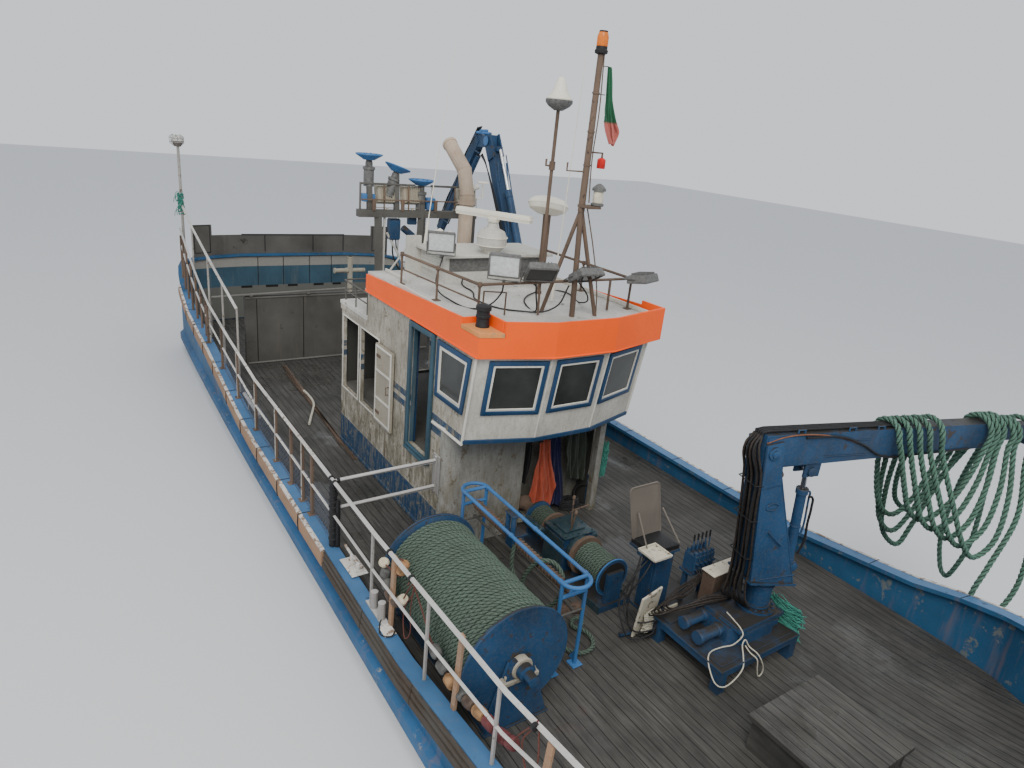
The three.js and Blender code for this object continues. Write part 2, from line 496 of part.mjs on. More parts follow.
// Exhaust pipe from the aft roof, bent aft at the top
piece("exhaust", pipe([V(-1000, 260, AFT_ROOF_Z + 60 + GAP), V(-1000, 260, 5150), V(-1150, 260, 5550), V(-1750, 260, 5950)],
  125, 14), RUSTY);

// Gantry behind the wheelhouse, with three dished line sheaves on its posts: y, z, tilt about X
const GANTRY_Z = 4750;
const GANTRY_FOOT_Z = AFT_ROOF_Z + 60 + GAP;
const SHEAVE_X = -1500;
const SHEAVES = [{ y: -1350, z: 5600, tilt: 0 }, { y: -860, z: 5430, tilt: -18 }, { y: -380, z: 5230, tilt: 0 }];
const sheavePlace = ({ y, z, tilt }) =>
  new THREE.Matrix4().makeRotationX(THREE.MathUtils.degToRad(tilt)).setPosition(SHEAVE_X, y, z).toArray();
piece("gantry", cut(join(
  block(-1500, -1360, -1560, 700, GANTRY_Z - 60, GANTRY_Z + 60),
  [[-1150, -1200], [-400, -380], [620, 620]].map(([foot, top]) =>
    above(beam(V(-1400, foot, GANTRY_FOOT_Z - 50), V(-1420, top, GANTRY_Z), 110, 130), GANTRY_FOOT_Z)),
  pipe([V(-1430, -1520, GANTRY_Z), V(-1430, -1520, 5230), V(-1430, 640, 5230), V(-1430, 640, GANTRY_Z)], 18, 6),
  SHEAVES.map(({ y, z }) => beam(V(-1430, y, GANTRY_Z), V(SHEAVE_X, y, z + 40), 80, 80)),
), SHEAVES.map((sheave) => block(-150, 150, -150, 150, -6, 400).transform(sheavePlace(sheave)))), BARE_GREY);
SHEAVES.forEach((sheave, i) => {
  const dish = turned([[0, 0], [90, 0], [215, 75], [215, 95], [80, 40], [0, 60]], V(0, 0, 0), "z", 20);
  piece(`line_sheave_${i + 1}`, dish.transform(sheavePlace(sheave)), CRANE_BLUE);
});

// Mast with two back legs, and the aerials
const MAST = V(2620, -110, 0);
piece("mast", above(join(
  rod(V(MAST.x + 60, MAST.y + 20, ROOF_Z - 50), V(MAST.x, MAST.y, 5400), 38, 10),
  rod(V(MAST.x, MAST.y, 5380), V(MAST.x, MAST.y, 7290), 46, 12, 38),
  rod(V(MAST.x - 290, -370, ROOF_Z - 50), V(MAST.x, MAST.y, 5420), 28, 8),
  rod(V(MAST.x + 120, 280, ROOF_Z - 50), V(MAST.x, MAST.y, 5420), 28, 8),
  block(MAST.x - 40, MAST.x + 200, MAST.y - 40, MAST.y + 160, 5440, 5470),
  turned([[0, -5], [62, -5], [62, 170], [45, 205], [0, 215]], V(MAST.x, MAST.y, 7290), "z", 14),
), ROOF_Z + GAP), RUSTY);
const scannerBar = join(
  block(-640, 640, -60, 60, 0, 105),
  rod(V(0, 0, -60), V(0, 0, 20), 80, 12),
);
piece("radar_scanner", scannerBar.transform(new THREE.Matrix4().makeRotationZ(THREE.MathUtils.degToRad(32))
  .setPosition(RADAR.x, RADAR.y, RADAR.z + 480 + 65).toArray()), PLASTIC_WHITE);
piece("radome", join(
  above(beam(V(690, 790, ROOF_Z - 50), V(900, 620, 5230), 75, 75), ROOF_Z + GAP),
  turned([[0, 0], [110, 0], [290, 70], [300, 130], [240, 175], [0, 200]], V(900, 620, 5180), "z", 18),
), PLASTIC_WHITE);
piece("satellite_dome", join(
  rod(V(1420, 230, ROOF_Z + GAP), V(1420, 230, 6650), 26, 8),
  turned([[0, 0], [60, 0], [190, 120], [185, 150], [90, 250], [30, 400], [0, 400]], V(1420, 230, 6640), "z", 16),
), PLASTIC_WHITE);

// Doors: a leaf that stands open against the starboard wall, and two doors that slide aft inside
piece("aft_door", join(
  block(104, 720, HOUSE_STBD_Y - 62, HOUSE_STBD_Y - 22, 1680, 2980),
  rod(V(96, HOUSE_STBD_Y - 42, 1720), V(96, HOUSE_STBD_Y - 42, 2940), 14, 8),
), BEIGE);
piece("starboard_sliding_door", block(610, 1270, INNER_STBD_Y + 15, INNER_STBD_Y + 50, 1765, 3600), CRANE_BLUE);
piece("port_sliding_door", block(610, 1270, INNER_PORT_Y - 50, INNER_PORT_Y - 15, 1765, 3600), CRANE_BLUE);

// Rope drum on the foredeck: flanges, wound rope and its stand
const drumLength = DRUM.x1 - DRUM.x0;
piece("rope_drum", turned([[0, -90], [60, -90], [60, 0], [DRUM.flange, 0], [DRUM.flange, 40], [DRUM.rope, 60],
  [DRUM.rope, drumLength - 60], [DRUM.flange, drumLength - 40], [DRUM.flange, drumLength], [60, drumLength],
  [60, drumLength + 90], [0, drumLength + 90]], V(DRUM.x0, DRUM.y, DRUM.z), "x", 32), CRANE_BLUE);
const bearing = (x) => cut(
  join(plateYZ([[DRUM.y - 380, DECK_TOP + GAP], [DRUM.y + 380, DECK_TOP + GAP], [DRUM.y + 110, DRUM.z + 110],
    [DRUM.y - 110, DRUM.z + 110]], x - 30, x + 30)),
  rod(V(x - 100, DRUM.y, DRUM.z), V(x + 100, DRUM.y, DRUM.z), 66, 32));
piece("drum_stand", join(bearing(DRUM.x0 - 70), bearing(DRUM.x1 + 70),
  [DRUM.y - 330, DRUM.y + 330].map((y) =>
    block(DRUM.x0 - 90, DRUM.x1 + 90, y - 40, y + 40, DECK_TOP + GAP, DECK_TOP + 50))), CRANE_BLUE);

// Rope guide beside the drum: two rails with round ends on legs, and the lead screw under them
const GUIDE = { x0: 2960, x1: 5120, y0: -1750, y1: -1400, z: 1800 };
piece("rope_guide", join(
  [GUIDE.y0, GUIDE.y1].map((y) => pipe([V(GUIDE.x0, y, DECK_TOP + GAP), V(GUIDE.x0, y, GUIDE.z), V(GUIDE.x1, y, GUIDE.z),
    V(GUIDE.x1, y, DECK_TOP + GAP)], 24, 8)),
  [GUIDE.x0, GUIDE.x1].map((x) => rod(V(x, GUIDE.y0, GUIDE.z), V(x, GUIDE.y1, GUIDE.z), 24, 8)),
  [GUIDE.x0, GUIDE.x1].map((x) => rod(V(x, GUIDE.y0, GUIDE.z - 190), V(x, GUIDE.y1, GUIDE.z - 190), 24, 8)),
  rod(V(GUIDE.x0, (GUIDE.y0 + GUIDE.y1) / 2, GUIDE.z - 190), V(GUIDE.x1, (GUIDE.y0 + GUIDE.y1) / 2, GUIDE.z - 190), 45, 10),
), CRANE_BLUE);

// Two-drum winch near the centreline
piece("winch_frame", join(
  block(2700, 4560, WINCH.y - 260, WINCH.y + 260, DECK_TOP + GAP, DECK_TOP + 90),
  block(3260, 3720, WINCH.y - 230, WINCH.y + 250, DECK_TOP + 80, WINCH.z + 190),
  [2730, 3840, 4500].map((x) => cut(
    block(x - 25, x + 25, WINCH.y - 130, WINCH.y + 130, DECK_TOP + 80, WINCH.z + 110),
    rod(V(x - 60, WINCH.y, WINCH.z), V(x + 60, WINCH.y, WINCH.z), 46, 24))),
), CRANE_BLUE);
const winchDrum = (x0, x1, flange, core) => turned([[0, -60], [40, -60], [40, 0], [flange, 0], [flange, 30], [core, 40],
  [core, x1 - x0 - 40], [flange, x1 - x0 - 30], [flange, x1 - x0], [40, x1 - x0], [40, x1 - x0 + 60], [0, x1 - x0 + 60]],
  V(x0, WINCH.y, WINCH.z), "x", 24);
piece("winch_drum_aft", cut(winchDrum(2770, 3190, 230, 140), block(3250, 3400, -1000, 500, 500, 1500)), CRANE_BLUE);
piece("winch_drum_fore", winchDrum(3880, 4460, 260, 180), ROPE_GREEN);

// Bow crane: a legged platform with the slewing housing and its two cylinders, the column, the boom, its extension
// and the lift cylinder
const LEG_XY = [[5260, -200], [6200, -200], [5260, 1060], [6200, 1060]];
const HOUSING_TOP_Z = 1140;
const HOUSING_PLAN = [[5450, 170], [5930, 170], [6080, 310], [6080, 830], [5950, 960], [5450, 960]];
const HOUSING_LID = [[5420, 200], [6070, 200], [6070, 1010], [5420, 1010]];
piece("crane_base", join(
  block(5200, 6260, -260, 1120, CRANE.plateZ - 90, CRANE.plateZ),
  LEG_XY.map(([x, y]) => block(x - 60, x + 60, y - 60, y + 60, DECK_TOP + GAP, CRANE.plateZ - 80)),
  plateXY(HOUSING_PLAN, CRANE.plateZ - 10, HOUSING_TOP_Z - 30),
  plateXY(HOUSING_LID, HOUSING_TOP_Z - 40, HOUSING_TOP_Z),
  [[5550, -170], [5820, -220]].map(([x, y]) => rod(V(x, y, HOUSING_TOP_Z - 110), V(x, 260, HOUSING_TOP_Z - 110), 72, 16)),
), CRANE_BLUE);
// Places in the crane's own plane: u along the boom, v across it
const heading = THREE.MathUtils.degToRad(CRANE.heading);
const inCrane = (u, v, z) =>
  V(CRANE.x + u * Math.cos(heading) - v * Math.sin(heading), CRANE.y + u * Math.sin(heading) + v * Math.cos(heading), z);
const LIFT_PIN = { u: -430, z: 3300 };
const CYL_FOOT = { u: 335, z: 1700 };
const ROD_EYE = { u: 240, z: 2985 };
const craneBeam = (u0, z0, u1, z1, w0, d0, w1, d1, v = 0) => {
  const ring = (u, z, w, d, nu, nz) => [[-1, -1], [1, -1], [1, 1], [-1, 1]].map(([s, t]) =>
    inCrane(u + (t * d * nu) / 2, v + (s * w) / 2, z + (t * d * nz) / 2));
  const l = Math.hypot(u1 - u0, z1 - z0);
  const [nu, nz] = [-(z1 - z0) / l, (u1 - u0) / l];
  return loft([ring(u0, z0, w0, d0, nu, nz), ring(u1, z1, w1, d1, nu, nz)]);
};
// The column tapers from a sloping foot flange to the cheeks of the lift pin
const columnRing = (u0, z0, u1, z1, half) =>
  [[u0, -half, z0], [u1, -half, z1], [u1, half, z1], [u0, half, z0]].map((at) => inCrane(...at));
const NECK_TOP_Z = 1640;
piece("crane_column", join(
  rod(V(CRANE.x, CRANE.y, HOUSING_TOP_Z + 2), V(CRANE.x, CRANE.y, HOUSING_TOP_Z + 35), 235, 20),
  rod(V(CRANE.x, CRANE.y, HOUSING_TOP_Z + 20), V(CRANE.x, CRANE.y, NECK_TOP_Z), 150, 20),
  loft([columnRing(-330, NECK_TOP_Z, 300, 1530, 190), columnRing(-490, 3040, -250, 3040, 145)]),
  loft([columnRing(-360, NECK_TOP_Z - 15, 330, 1510, 220), columnRing(-360, NECK_TOP_Z + 15, 330, 1540, 220)]),
  [-1, 1].map((s) => craneBeam(-355, 2880, LIFT_PIN.u, LIFT_PIN.z + 110, 30, 260, 30, 220, s * 150)),
  rod(inCrane(LIFT_PIN.u, -170, LIFT_PIN.z), inCrane(LIFT_PIN.u, 170, LIFT_PIN.z), 40, 12),
  [-1, 1].map((s) => craneBeam(120, CYL_FOOT.z, CYL_FOOT.u + 45, CYL_FOOT.z, 25, 170, 25, 110, s * 75)),
  rod(inCrane(CYL_FOOT.u, -95, CYL_FOOT.z), inCrane(CYL_FOOT.u, 95, CYL_FOOT.z), 30, 12),
), CRANE_BLUE);
const boomPinHole = rod(inCrane(LIFT_PIN.u, -300, LIFT_PIN.z), inCrane(LIFT_PIN.u, 300, LIFT_PIN.z), 46, 16);
const BOOM_END_U = 3150;
const BOOM_Z = 3285;
piece("crane_boom", cut(join(
  craneBeam(LIFT_PIN.u - 90, BOOM_Z, BOOM_END_U, BOOM_Z, 220, 400, 200, 320),
  [-1, 1].map((s) => craneBeam(ROD_EYE.u - 110, ROD_EYE.z + 60, ROD_EYE.u + 110, ROD_EYE.z + 60, 22, 250, 22, 250, s * 75)),
), boomPinHole, craneBeam(BOOM_END_U - 1500, BOOM_Z, BOOM_END_U + 10, BOOM_Z, 150, 210, 150, 210)), CRANE_BLUE);
piece("crane_extension", join(
  craneBeam(BOOM_END_U - 1480, BOOM_Z, BOOM_END_U + 700, BOOM_Z, 138, 196, 138, 196),
  rod(inCrane(BOOM_END_U + 620, -110, BOOM_Z - 140), inCrane(BOOM_END_U + 620, 110, BOOM_Z - 140), 70, 14),
  craneBeam(BOOM_END_U + 560, BOOM_Z, BOOM_END_U + 620, BOOM_Z - 170, 60, 120, 60, 120),
), CRANE_BLUE);
const onCylinder = (t) => [CYL_FOOT.u + (ROD_EYE.u - CYL_FOOT.u) * t, CYL_FOOT.z + (ROD_EYE.z - CYL_FOOT.z) * t];
const cylinderPoint = (t) => inCrane(onCylinder(t)[0], 0, onCylinder(t)[1]);
piece("lift_cylinder", cut(
  rod(cylinderPoint(-0.035), cylinderPoint(0.8), 58, 16),
  rod(inCrane(CYL_FOOT.u, -200, CYL_FOOT.z), inCrane(CYL_FOOT.u, 200, CYL_FOOT.z), 34, 16),
  rod(cylinderPoint(0.09), cylinderPoint(0.9), 34, 16),
), CRANE_BLUE);
// The rod's eye carries its pin: the lugs on the boom leave it room
piece("lift_rod", join(
  rod(cylinderPoint(0.2), cylinderPoint(1.0), 30, 16),
  rod(inCrane(ROD_EYE.u, -52, ROD_EYE.z), inCrane(ROD_EYE.u, 52, ROD_EYE.z), 44, 16),
), STEEL);

// Operator's seat with a tray, and the valve block, on one base plate beside the crane platform
piece("crane_controls", join(
  block(4520, 5020, -40, 1100, DECK_TOP + GAP, DECK_TOP + 40),
  block(4600, 4860, 0, 300, DECK_TOP + 6, 1500),
  block(4460, 4870, -130, 380, 1490, 1560),
  block(4720, 5040, -250, 60, 1550, 1590),
  beam(V(4490, 125, 1520), V(4440, -20, 2280), 500, 35),
  block(4750, 4980, 560, 1060, DECK_TOP + 6, 1380),
  [0, 1, 2, 3, 4].map((i) => rod(V(4880, 640 + i * 75, 1370), V(4850, 640 + i * 75, 1600), 12, 6)),
), BARE_GREY);

// Aft crane: pedestal, slewing head, boom up, arm folded down, power block
const aft = AFT_CRANE;
piece("aft_crane_pedestal", join(
  rod(V(aft.x, aft.y, DECK_TOP + GAP), V(aft.x, aft.y, aft.footZ), 230, 20),
  rod(V(aft.x, aft.y, DECK_TOP + GAP), V(aft.x, aft.y, DECK_TOP + 40), 380, 20),
), CRANE_BLUE);
const AFT_PIN = V(aft.x, aft.y, 2760);
const AFT_KNUCKLE = V(-2850, aft.y, 6020);
const side = (p, dy) => V(p.x, p.y + dy, p.z);
const pin = (at, half, r) => rod(side(at, -half), side(at, half), r, 14);
piece("aft_crane_head", join(
  rod(V(aft.x, aft.y, aft.footZ + 4), V(aft.x, aft.y, aft.footZ + 160), 250, 20),
  [-1, 1].map((s) => block(aft.x - 170, aft.x + 170, aft.y + s * 165 - 20, aft.y + s * 165 + 20, aft.footZ + 120, 2900)),
  pin(AFT_PIN, 185, 42),
), CRANE_BLUE);
piece("aft_crane_boom", cut(join(
  beam(V(-1030, aft.y, 2630), V(-2770, aft.y, 5870), 220, 300, 180, 260),
  [-1, 1].map((s) => beam(V(-2650, aft.y + s * 105, 5700), side(AFT_KNUCKLE, s * 105).add(V(-40, 0, 90)), 30, 260)),
  pin(AFT_KNUCKLE, 120, 38),
), rod(side(AFT_PIN, -300), side(AFT_PIN, 300), 48, 14)), CRANE_BLUE);
const ARM_END = V(-4850, aft.y, 3950);
const arm = cut(join(
  beam(V(-2790, aft.y, 6030), V(-3420, aft.y, 5990), 150, 230),
  beam(V(-3330, aft.y, 6080), ARM_END, 170, 240, 130, 170),
), rod(side(AFT_KNUCKLE, -300), side(AFT_KNUCKLE, 300), 44, 14));
const BLOCK_AT = V(-4880, aft.y, 3450);
const blockFrame = join(
  [-1, 1].map((s) => beam(V(-4855, aft.y + s * 190, 3830), side(BLOCK_AT, s * 190).add(V(0, 0, -60)), 30, 200)),
  block(-4950, -4760, aft.y - 205, aft.y + 205, 3780, 3860),
  block(-4900, -4790, aft.y - 50, aft.y + 50, 3850, 3960),
  pin(BLOCK_AT, 200, 35),
);
piece("aft_crane_arm", join(arm, blockFrame), CRANE_BLUE);
piece("power_block_sheave", cut(turned([[0, -150], [270, -150], [270, -110], [170, -20], [170, 20], [270, 110], [270, 150],
  [0, 150]], V(BLOCK_AT.x, aft.y, BLOCK_AT.z), "y", 20), rod(side(BLOCK_AT, -300), side(BLOCK_AT, 300), 42, 14)), RUSTY);

// Running gear under the counter
const PROP = V(-8250, 0, SHAFT_Z);
const blade = (turn) => {
  const shape = [[60, -60], [240, -150], [470, -150], [560, 0], [470, 130], [240, 110], [60, 60]];
  const g = extrude(outline(shape), 26).translate(0, 0, -13);
  g.rotateX(0.6);
  g.applyMatrix4(new THREE.Matrix4().makeBasis(V(0, 0, 1), V(0, 1, 0), V(-1, 0, 0)));
  g.rotateX((turn * Math.PI) / 2);
  return solid(g.translate(PROP.x, PROP.y, PROP.z));
};
piece("propeller", join(
  rod(V(PROP.x - 110, 0, PROP.z), V(-7904, 0, PROP.z), 85, 16),
  [0, 1, 2, 3].map(blade),
), BRONZE);
const RUDDER_X = -9150;
piece("rudder", join(
  loft([[-2030, 1], [-760, 0.9]].map(([z, k]) => [V(RUDDER_X + 260 * k, 30, z), V(RUDDER_X, 75, z), V(RUDDER_X - 620 * k, 12, z),
    V(RUDDER_X - 620 * k, -12, z), V(RUDDER_X, -75, z), V(RUDDER_X + 260 * k, -30, z)])),
  rod(V(RUDDER_X, 0, -770), V(RUDDER_X, 0, -490), 60, 12),
  rod(V(RUDDER_X, 0, SHOE_Z + 6), V(RUDDER_X, 0, -2000), 45, 12),
), HULL_BLUE);

export default root;
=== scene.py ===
# %% [markdown]
# # A steel fishing boat, dressed in Blender
# The solid parts of the boat come from its CAD model, which is loaded first and never changed. This notebook
# adds what a solid can't show: paint, rust, rope, glass and the small fittings. Every piece is in metres,
# +X to the bow, +Y to port, +Z up, with the water at z = 0.

# %% Load the CAD model
from contextlib import contextmanager
from math import ceil, cos, pi, radians, sin, tau
import random

import bpy
from mathutils import Matrix, Quaternion, Vector


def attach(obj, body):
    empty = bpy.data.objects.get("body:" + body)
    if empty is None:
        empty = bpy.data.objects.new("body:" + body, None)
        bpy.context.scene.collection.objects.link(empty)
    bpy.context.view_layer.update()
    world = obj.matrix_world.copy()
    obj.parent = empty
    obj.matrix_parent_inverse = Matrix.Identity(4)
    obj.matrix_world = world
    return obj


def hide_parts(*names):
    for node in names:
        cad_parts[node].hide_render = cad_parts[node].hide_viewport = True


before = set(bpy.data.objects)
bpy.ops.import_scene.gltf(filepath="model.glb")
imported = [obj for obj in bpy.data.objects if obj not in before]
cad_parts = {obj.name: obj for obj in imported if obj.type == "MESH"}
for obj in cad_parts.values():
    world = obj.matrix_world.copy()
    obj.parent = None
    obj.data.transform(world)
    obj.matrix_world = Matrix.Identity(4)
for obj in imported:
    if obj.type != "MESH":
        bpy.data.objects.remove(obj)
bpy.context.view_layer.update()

# %% [markdown]
# ## Camera, floor and light
# The photograph was taken from a quay, a little above the wheelhouse roof, looking aft and to port. The
# camera was found by lining up the straight edges of the deckhouse, so it is set by its three directions
# instead of by aiming it. The boat in the photograph leans; here it is upright and the camera leans instead.

# %% Camera
CAMERA_AT = Vector((9.849, -5.987, 6.31))
CAMERA_RIGHT = Vector((0.5424, 0.8347, 0.0948))
CAMERA_UP = Vector((-0.3375, 0.1132, 0.9345))
CAMERA_BACK = Vector((0.7693, -0.5389, 0.3431))
bpy.ops.object.camera_add(location=CAMERA_AT)
camera = bpy.context.object
turn = Matrix((CAMERA_RIGHT, CAMERA_UP, CAMERA_BACK)).transposed()
camera.rotation_euler = turn.to_euler()
camera.data.lens = 24.5
camera.data.sensor_width = 36
camera.data.clip_start = 0.05
camera.data.clip_end = 200
bpy.context.scene.camera = camera
print("camera looks along", [round(-v, 2) for v in CAMERA_BACK])

# %% [markdown]
# The floor stands for the water: plain, pale and matt, so that nothing on it draws the eye from the boat.
# An overcast sky lights the photograph. A pale world gives that even light, and one very large soft lamp
# adds a faint direction so that round forms read as round.

# %% Floor and light
bpy.ops.mesh.primitive_plane_add(size=160, location=(0, 0, 0))
floor = bpy.context.object
floor.name = "studio_floor"
floor_finish = bpy.data.materials.new("studio_floor")
floor_finish.use_nodes = True
floor_finish.node_tree.nodes["Principled BSDF"].inputs["Base Color"].default_value = (0.62, 0.63, 0.64, 1)
floor_finish.node_tree.nodes["Principled BSDF"].inputs["Roughness"].default_value = 0.9
floor.data.materials.append(floor_finish)

world = bpy.data.worlds.new("overcast")
world.use_nodes = True
world.node_tree.nodes["Background"].inputs["Color"].default_value = (0.9, 0.94, 1.0, 1)
world.node_tree.nodes["Background"].inputs["Strength"].default_value = 0.98
bpy.context.scene.world = world
bpy.ops.object.light_add(type="AREA", location=(17, -11, 21))
key = bpy.context.object
key.data.shape = "DISK"
key.data.size = 16
key.data.energy = 5600
key.data.color = (1.0, 0.96, 0.9)
key.rotation_euler = (Vector((0, 0, 0)) - key.location).to_track_quat("-Z", "Y").to_euler()
print("floor and light ready")

# %% [markdown]
# ## Tools of the workshop
# A few helpers keep the cells short. Each starts from one of Blender's primitives, sets it in its place,
# bevels it and leaves its object at the origin with its place in the mesh.

# %% Selection and placing
def alone(thing):
    bpy.ops.object.select_all(action="DESELECT")
    thing.select_set(True)
    bpy.context.view_layer.objects.active = thing


def settle(thing):
    alone(thing)
    bpy.ops.object.transform_apply(location=True, rotation=True, scale=True)
    return thing


@contextmanager
def editing(thing):
    """Edit mode with all of a thing selected, then object mode again."""
    alone(thing)
    bpy.ops.object.mode_set(mode="EDIT")
    bpy.ops.mesh.select_all(action="SELECT")
    yield
    bpy.ops.object.mode_set(mode="OBJECT")


def face_outwards():
    bpy.ops.mesh.select_all(action="SELECT")
    bpy.ops.mesh.normals_make_consistent(inside=False)


def bevelled(thing, width, rounds=1):
    if width:
        with editing(thing):
            bpy.ops.mesh.bevel(offset=width, segments=rounds, affect="EDGES", clamp_overlap=True)
    return thing


# %% Plates, bars and pipes
def slab(low, high, bevel=0.004, rounds=1, turn_z=0.0, turn_y=0.0, turn_x=0.0):
    """A rectangular plate or block between two corners, turned about its own middle."""
    middle = [(a + b) / 2 for a, b in zip(low, high)]
    bpy.ops.mesh.primitive_cube_add(size=1, location=middle, rotation=(turn_x, turn_y, turn_z))
    block = bpy.context.object
    block.scale = [abs(b - a) for a, b in zip(low, high)]
    return bevelled(settle(block), bevel, rounds)


def bar(start, end, radius, sides=12, bevel=0.0, radius_end=None):
    """A round bar from one point to another."""
    start, end = Vector(start), Vector(end)
    way = end - start
    turn = way.to_track_quat("Z", "Y").to_euler()
    if radius_end is None:
        bpy.ops.mesh.primitive_cylinder_add(vertices=sides, radius=radius, depth=way.length,
            location=(start + end) / 2, rotation=turn)
    else:
        bpy.ops.mesh.primitive_cone_add(vertices=sides, radius1=radius, radius2=radius_end, depth=way.length,
            location=(start + end) / 2, rotation=turn)
    rod = settle(bpy.context.object)
    return bevelled(rod, bevel) if bevel else rod


def curve_through(points, closed=False, smooth=False):
    """A curve whose own points give way to these."""
    bpy.ops.curve.primitive_bezier_curve_add(location=(0, 0, 0))
    curve = bpy.context.object
    curve.data.dimensions = "3D"
    curve.data.splines.clear()
    spline = curve.data.splines.new("BEZIER" if smooth else "POLY")
    knots = spline.bezier_points if smooth else spline.points
    knots.add(len(points) - 1)
    for knot, at in zip(knots, points):
        knot.co = at if smooth else (*at, 1)
        if smooth:
            knot.handle_left_type = knot.handle_right_type = "AUTO"
    if smooth:
        spline.resolution_u = 6
    spline.use_cyclic_u = closed
    return curve


def converted(curve):
    """The mesh of a curve, with its ends closed."""
    curve.data.use_fill_caps = True
    alone(curve)
    bpy.ops.object.convert(target="MESH")
    return settle(bpy.context.object)


def pipe(points, radius, sides=8, closed=False, smooth=False):
    """A bent tube along points: a curve with a round bevel."""
    line = curve_through(points, closed, smooth)
    line.data.bevel_depth = radius
    line.data.bevel_resolution = max(0, sides // 2 - 2)
    return converted(line)


def carried(outline, curve):
    """A closed flat outline carried along a curve."""
    ring = curve_through([(a, b, 0) for a, b in outline], closed=True)
    ring.data.dimensions, ring.data.fill_mode = "2D", "NONE"
    curve.data.bevel_mode, curve.data.bevel_object = "OBJECT", ring
    body = converted(curve)
    bpy.data.objects.remove(ring)
    return body


def turned(profile, at=(0, 0, 0), axis=(0, 0, 1), sides=20):
    """A round body about an axis, from pairs of radius and distance: a circle, extruded and resized."""
    bpy.ops.mesh.primitive_circle_add(vertices=sides, radius=1, fill_type="NGON")
    body = bpy.context.object
    (first, start), rest = profile[0], profile[1:]
    now, level = max(first, 1e-4), start
    with editing(body):
        bpy.ops.mesh.flip_normals()
        bpy.ops.transform.resize(value=(now,) * 3)
        bpy.ops.transform.translate(value=(0, 0, start))
        for radius, height in rest:
            radius = max(radius, 1e-4)
            bpy.ops.mesh.extrude_region_move(TRANSFORM_OT_translate={"value": (0, 0, height - level)})
            bpy.ops.transform.resize(value=(radius / now, radius / now, 1), center_override=(0, 0, height))
            now, level = radius, height
        bpy.ops.mesh.select_all(action="SELECT")
        bpy.ops.mesh.remove_doubles(threshold=2e-4)
        face_outwards()
    body.rotation_euler = Vector(axis).to_track_quat("Z", "Y").to_euler()
    body.location = at
    return settle(body)


def angles(count):
    """Even steps of a full turn."""
    return [k * tau / count for k in range(count)]


# %% Flat outlines and window frames
def outline_face(corners):
    """One flat face with these corners: a filled circle whose points are moved to them."""
    bpy.ops.mesh.primitive_circle_add(vertices=len(corners), radius=1, fill_type="NGON")
    face = bpy.context.object
    for vertex, corner in zip(face.data.vertices, corners):
        vertex.co = corner
    return face


def cut_plate(corners, thickness, bevel=0.0):
    """A plate of any outline, thickened along a vector."""
    face = outline_face(corners)
    with editing(face):
        bpy.ops.mesh.extrude_region_move(TRANSFORM_OT_translate={"value": thickness})
        face_outwards()
    return bevelled(face, bevel)


def border(corners, width, thickness, bevel=0.003):
    """A frame of even width inside an outline: the face is inset, its middle goes, the rest is thickened."""
    face = outline_face(corners)
    with editing(face):
        bpy.ops.mesh.inset(thickness=width, use_boundary=True)
        bpy.ops.mesh.delete(type="FACE")
        bpy.ops.mesh.select_all(action="SELECT")
        bpy.ops.mesh.extrude_region_move(TRANSFORM_OT_translate={"value": thickness})
        face_outwards()
    return bevelled(face, bevel)


# %% Copies and finished pieces
def copied(thing, *places):
    """Copies of a piece, each with its own mesh, moved by a matrix or a vector."""
    made = []
    for place in places:
        twin = thing.copy()
        twin.data = thing.data.copy()
        twin.data.transform(place if isinstance(place, Matrix) else Matrix.Translation(place))
        bpy.context.collection.objects.link(twin)
        made.append(twin)
    return made


# the slot that each finish usually fills; all others are gear_blue
USUAL_SLOTS = {
    "wall_white": "sash_white casing_white stained_cream wall_paint",
    "rusty": "rusty_steel pipe_brown copper_line",
    "orange": "orange_paint red_lens sandy_orange",
    "bare_grey": "black_rubber lamp_grey dark_glass dark_cavity bare_bar wire_blue stern_grey "
                 "hose_brown seat_brown grey_metal black_cloth",
    "plastic_white": "clear_lens cream_plastic lantern_lens",
    "beige": "beige_paint old_wood peach_wood pale_twine",
    "steel": "bright_steel",
    "rope_green": "green_rope net_twine float_cord",
    "rail_white": "chipped_white",
    "deck_grey": "lining_paint",
    "hull_blue": "cap_blue",
}
SLOT_OF = {finish: slot for slot, finishes in USUAL_SLOTS.items() for finish in finishes.split()}


def finished(name, parts, finish, body="boat", slot=None, smooth=35):
    """Joins parts into one named piece, gives it its finish and lets it ride on a body."""
    parts = list(parts)
    bpy.ops.object.select_all(action="DESELECT")
    for part in parts:
        part.select_set(True)
    bpy.context.view_layer.objects.active = parts[0]
    if len(parts) > 1:
        bpy.ops.object.join()
    piece = bpy.context.object
    piece.name = name
    piece.data.name = name
    piece.data.materials.clear()
    piece.data.materials.append(finish)
    if smooth:
        bpy.ops.object.shade_smooth_by_angle(angle=radians(smooth))
    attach(piece, body)
    slot or SLOT_OF.get(finish.name, "gear_blue")
    print(name, len(piece.data.polygons), "faces")
    return piece


# %% [markdown]
# ## Finishes
# Nothing on a working boat has one flat colour. One helper builds the paint used all over the boat: a tone
# that drifts over the panel, chips that show the layer beneath, rust that runs down, and a bump that follows
# the chips. Each finish then only states its own colours and how worn it is.

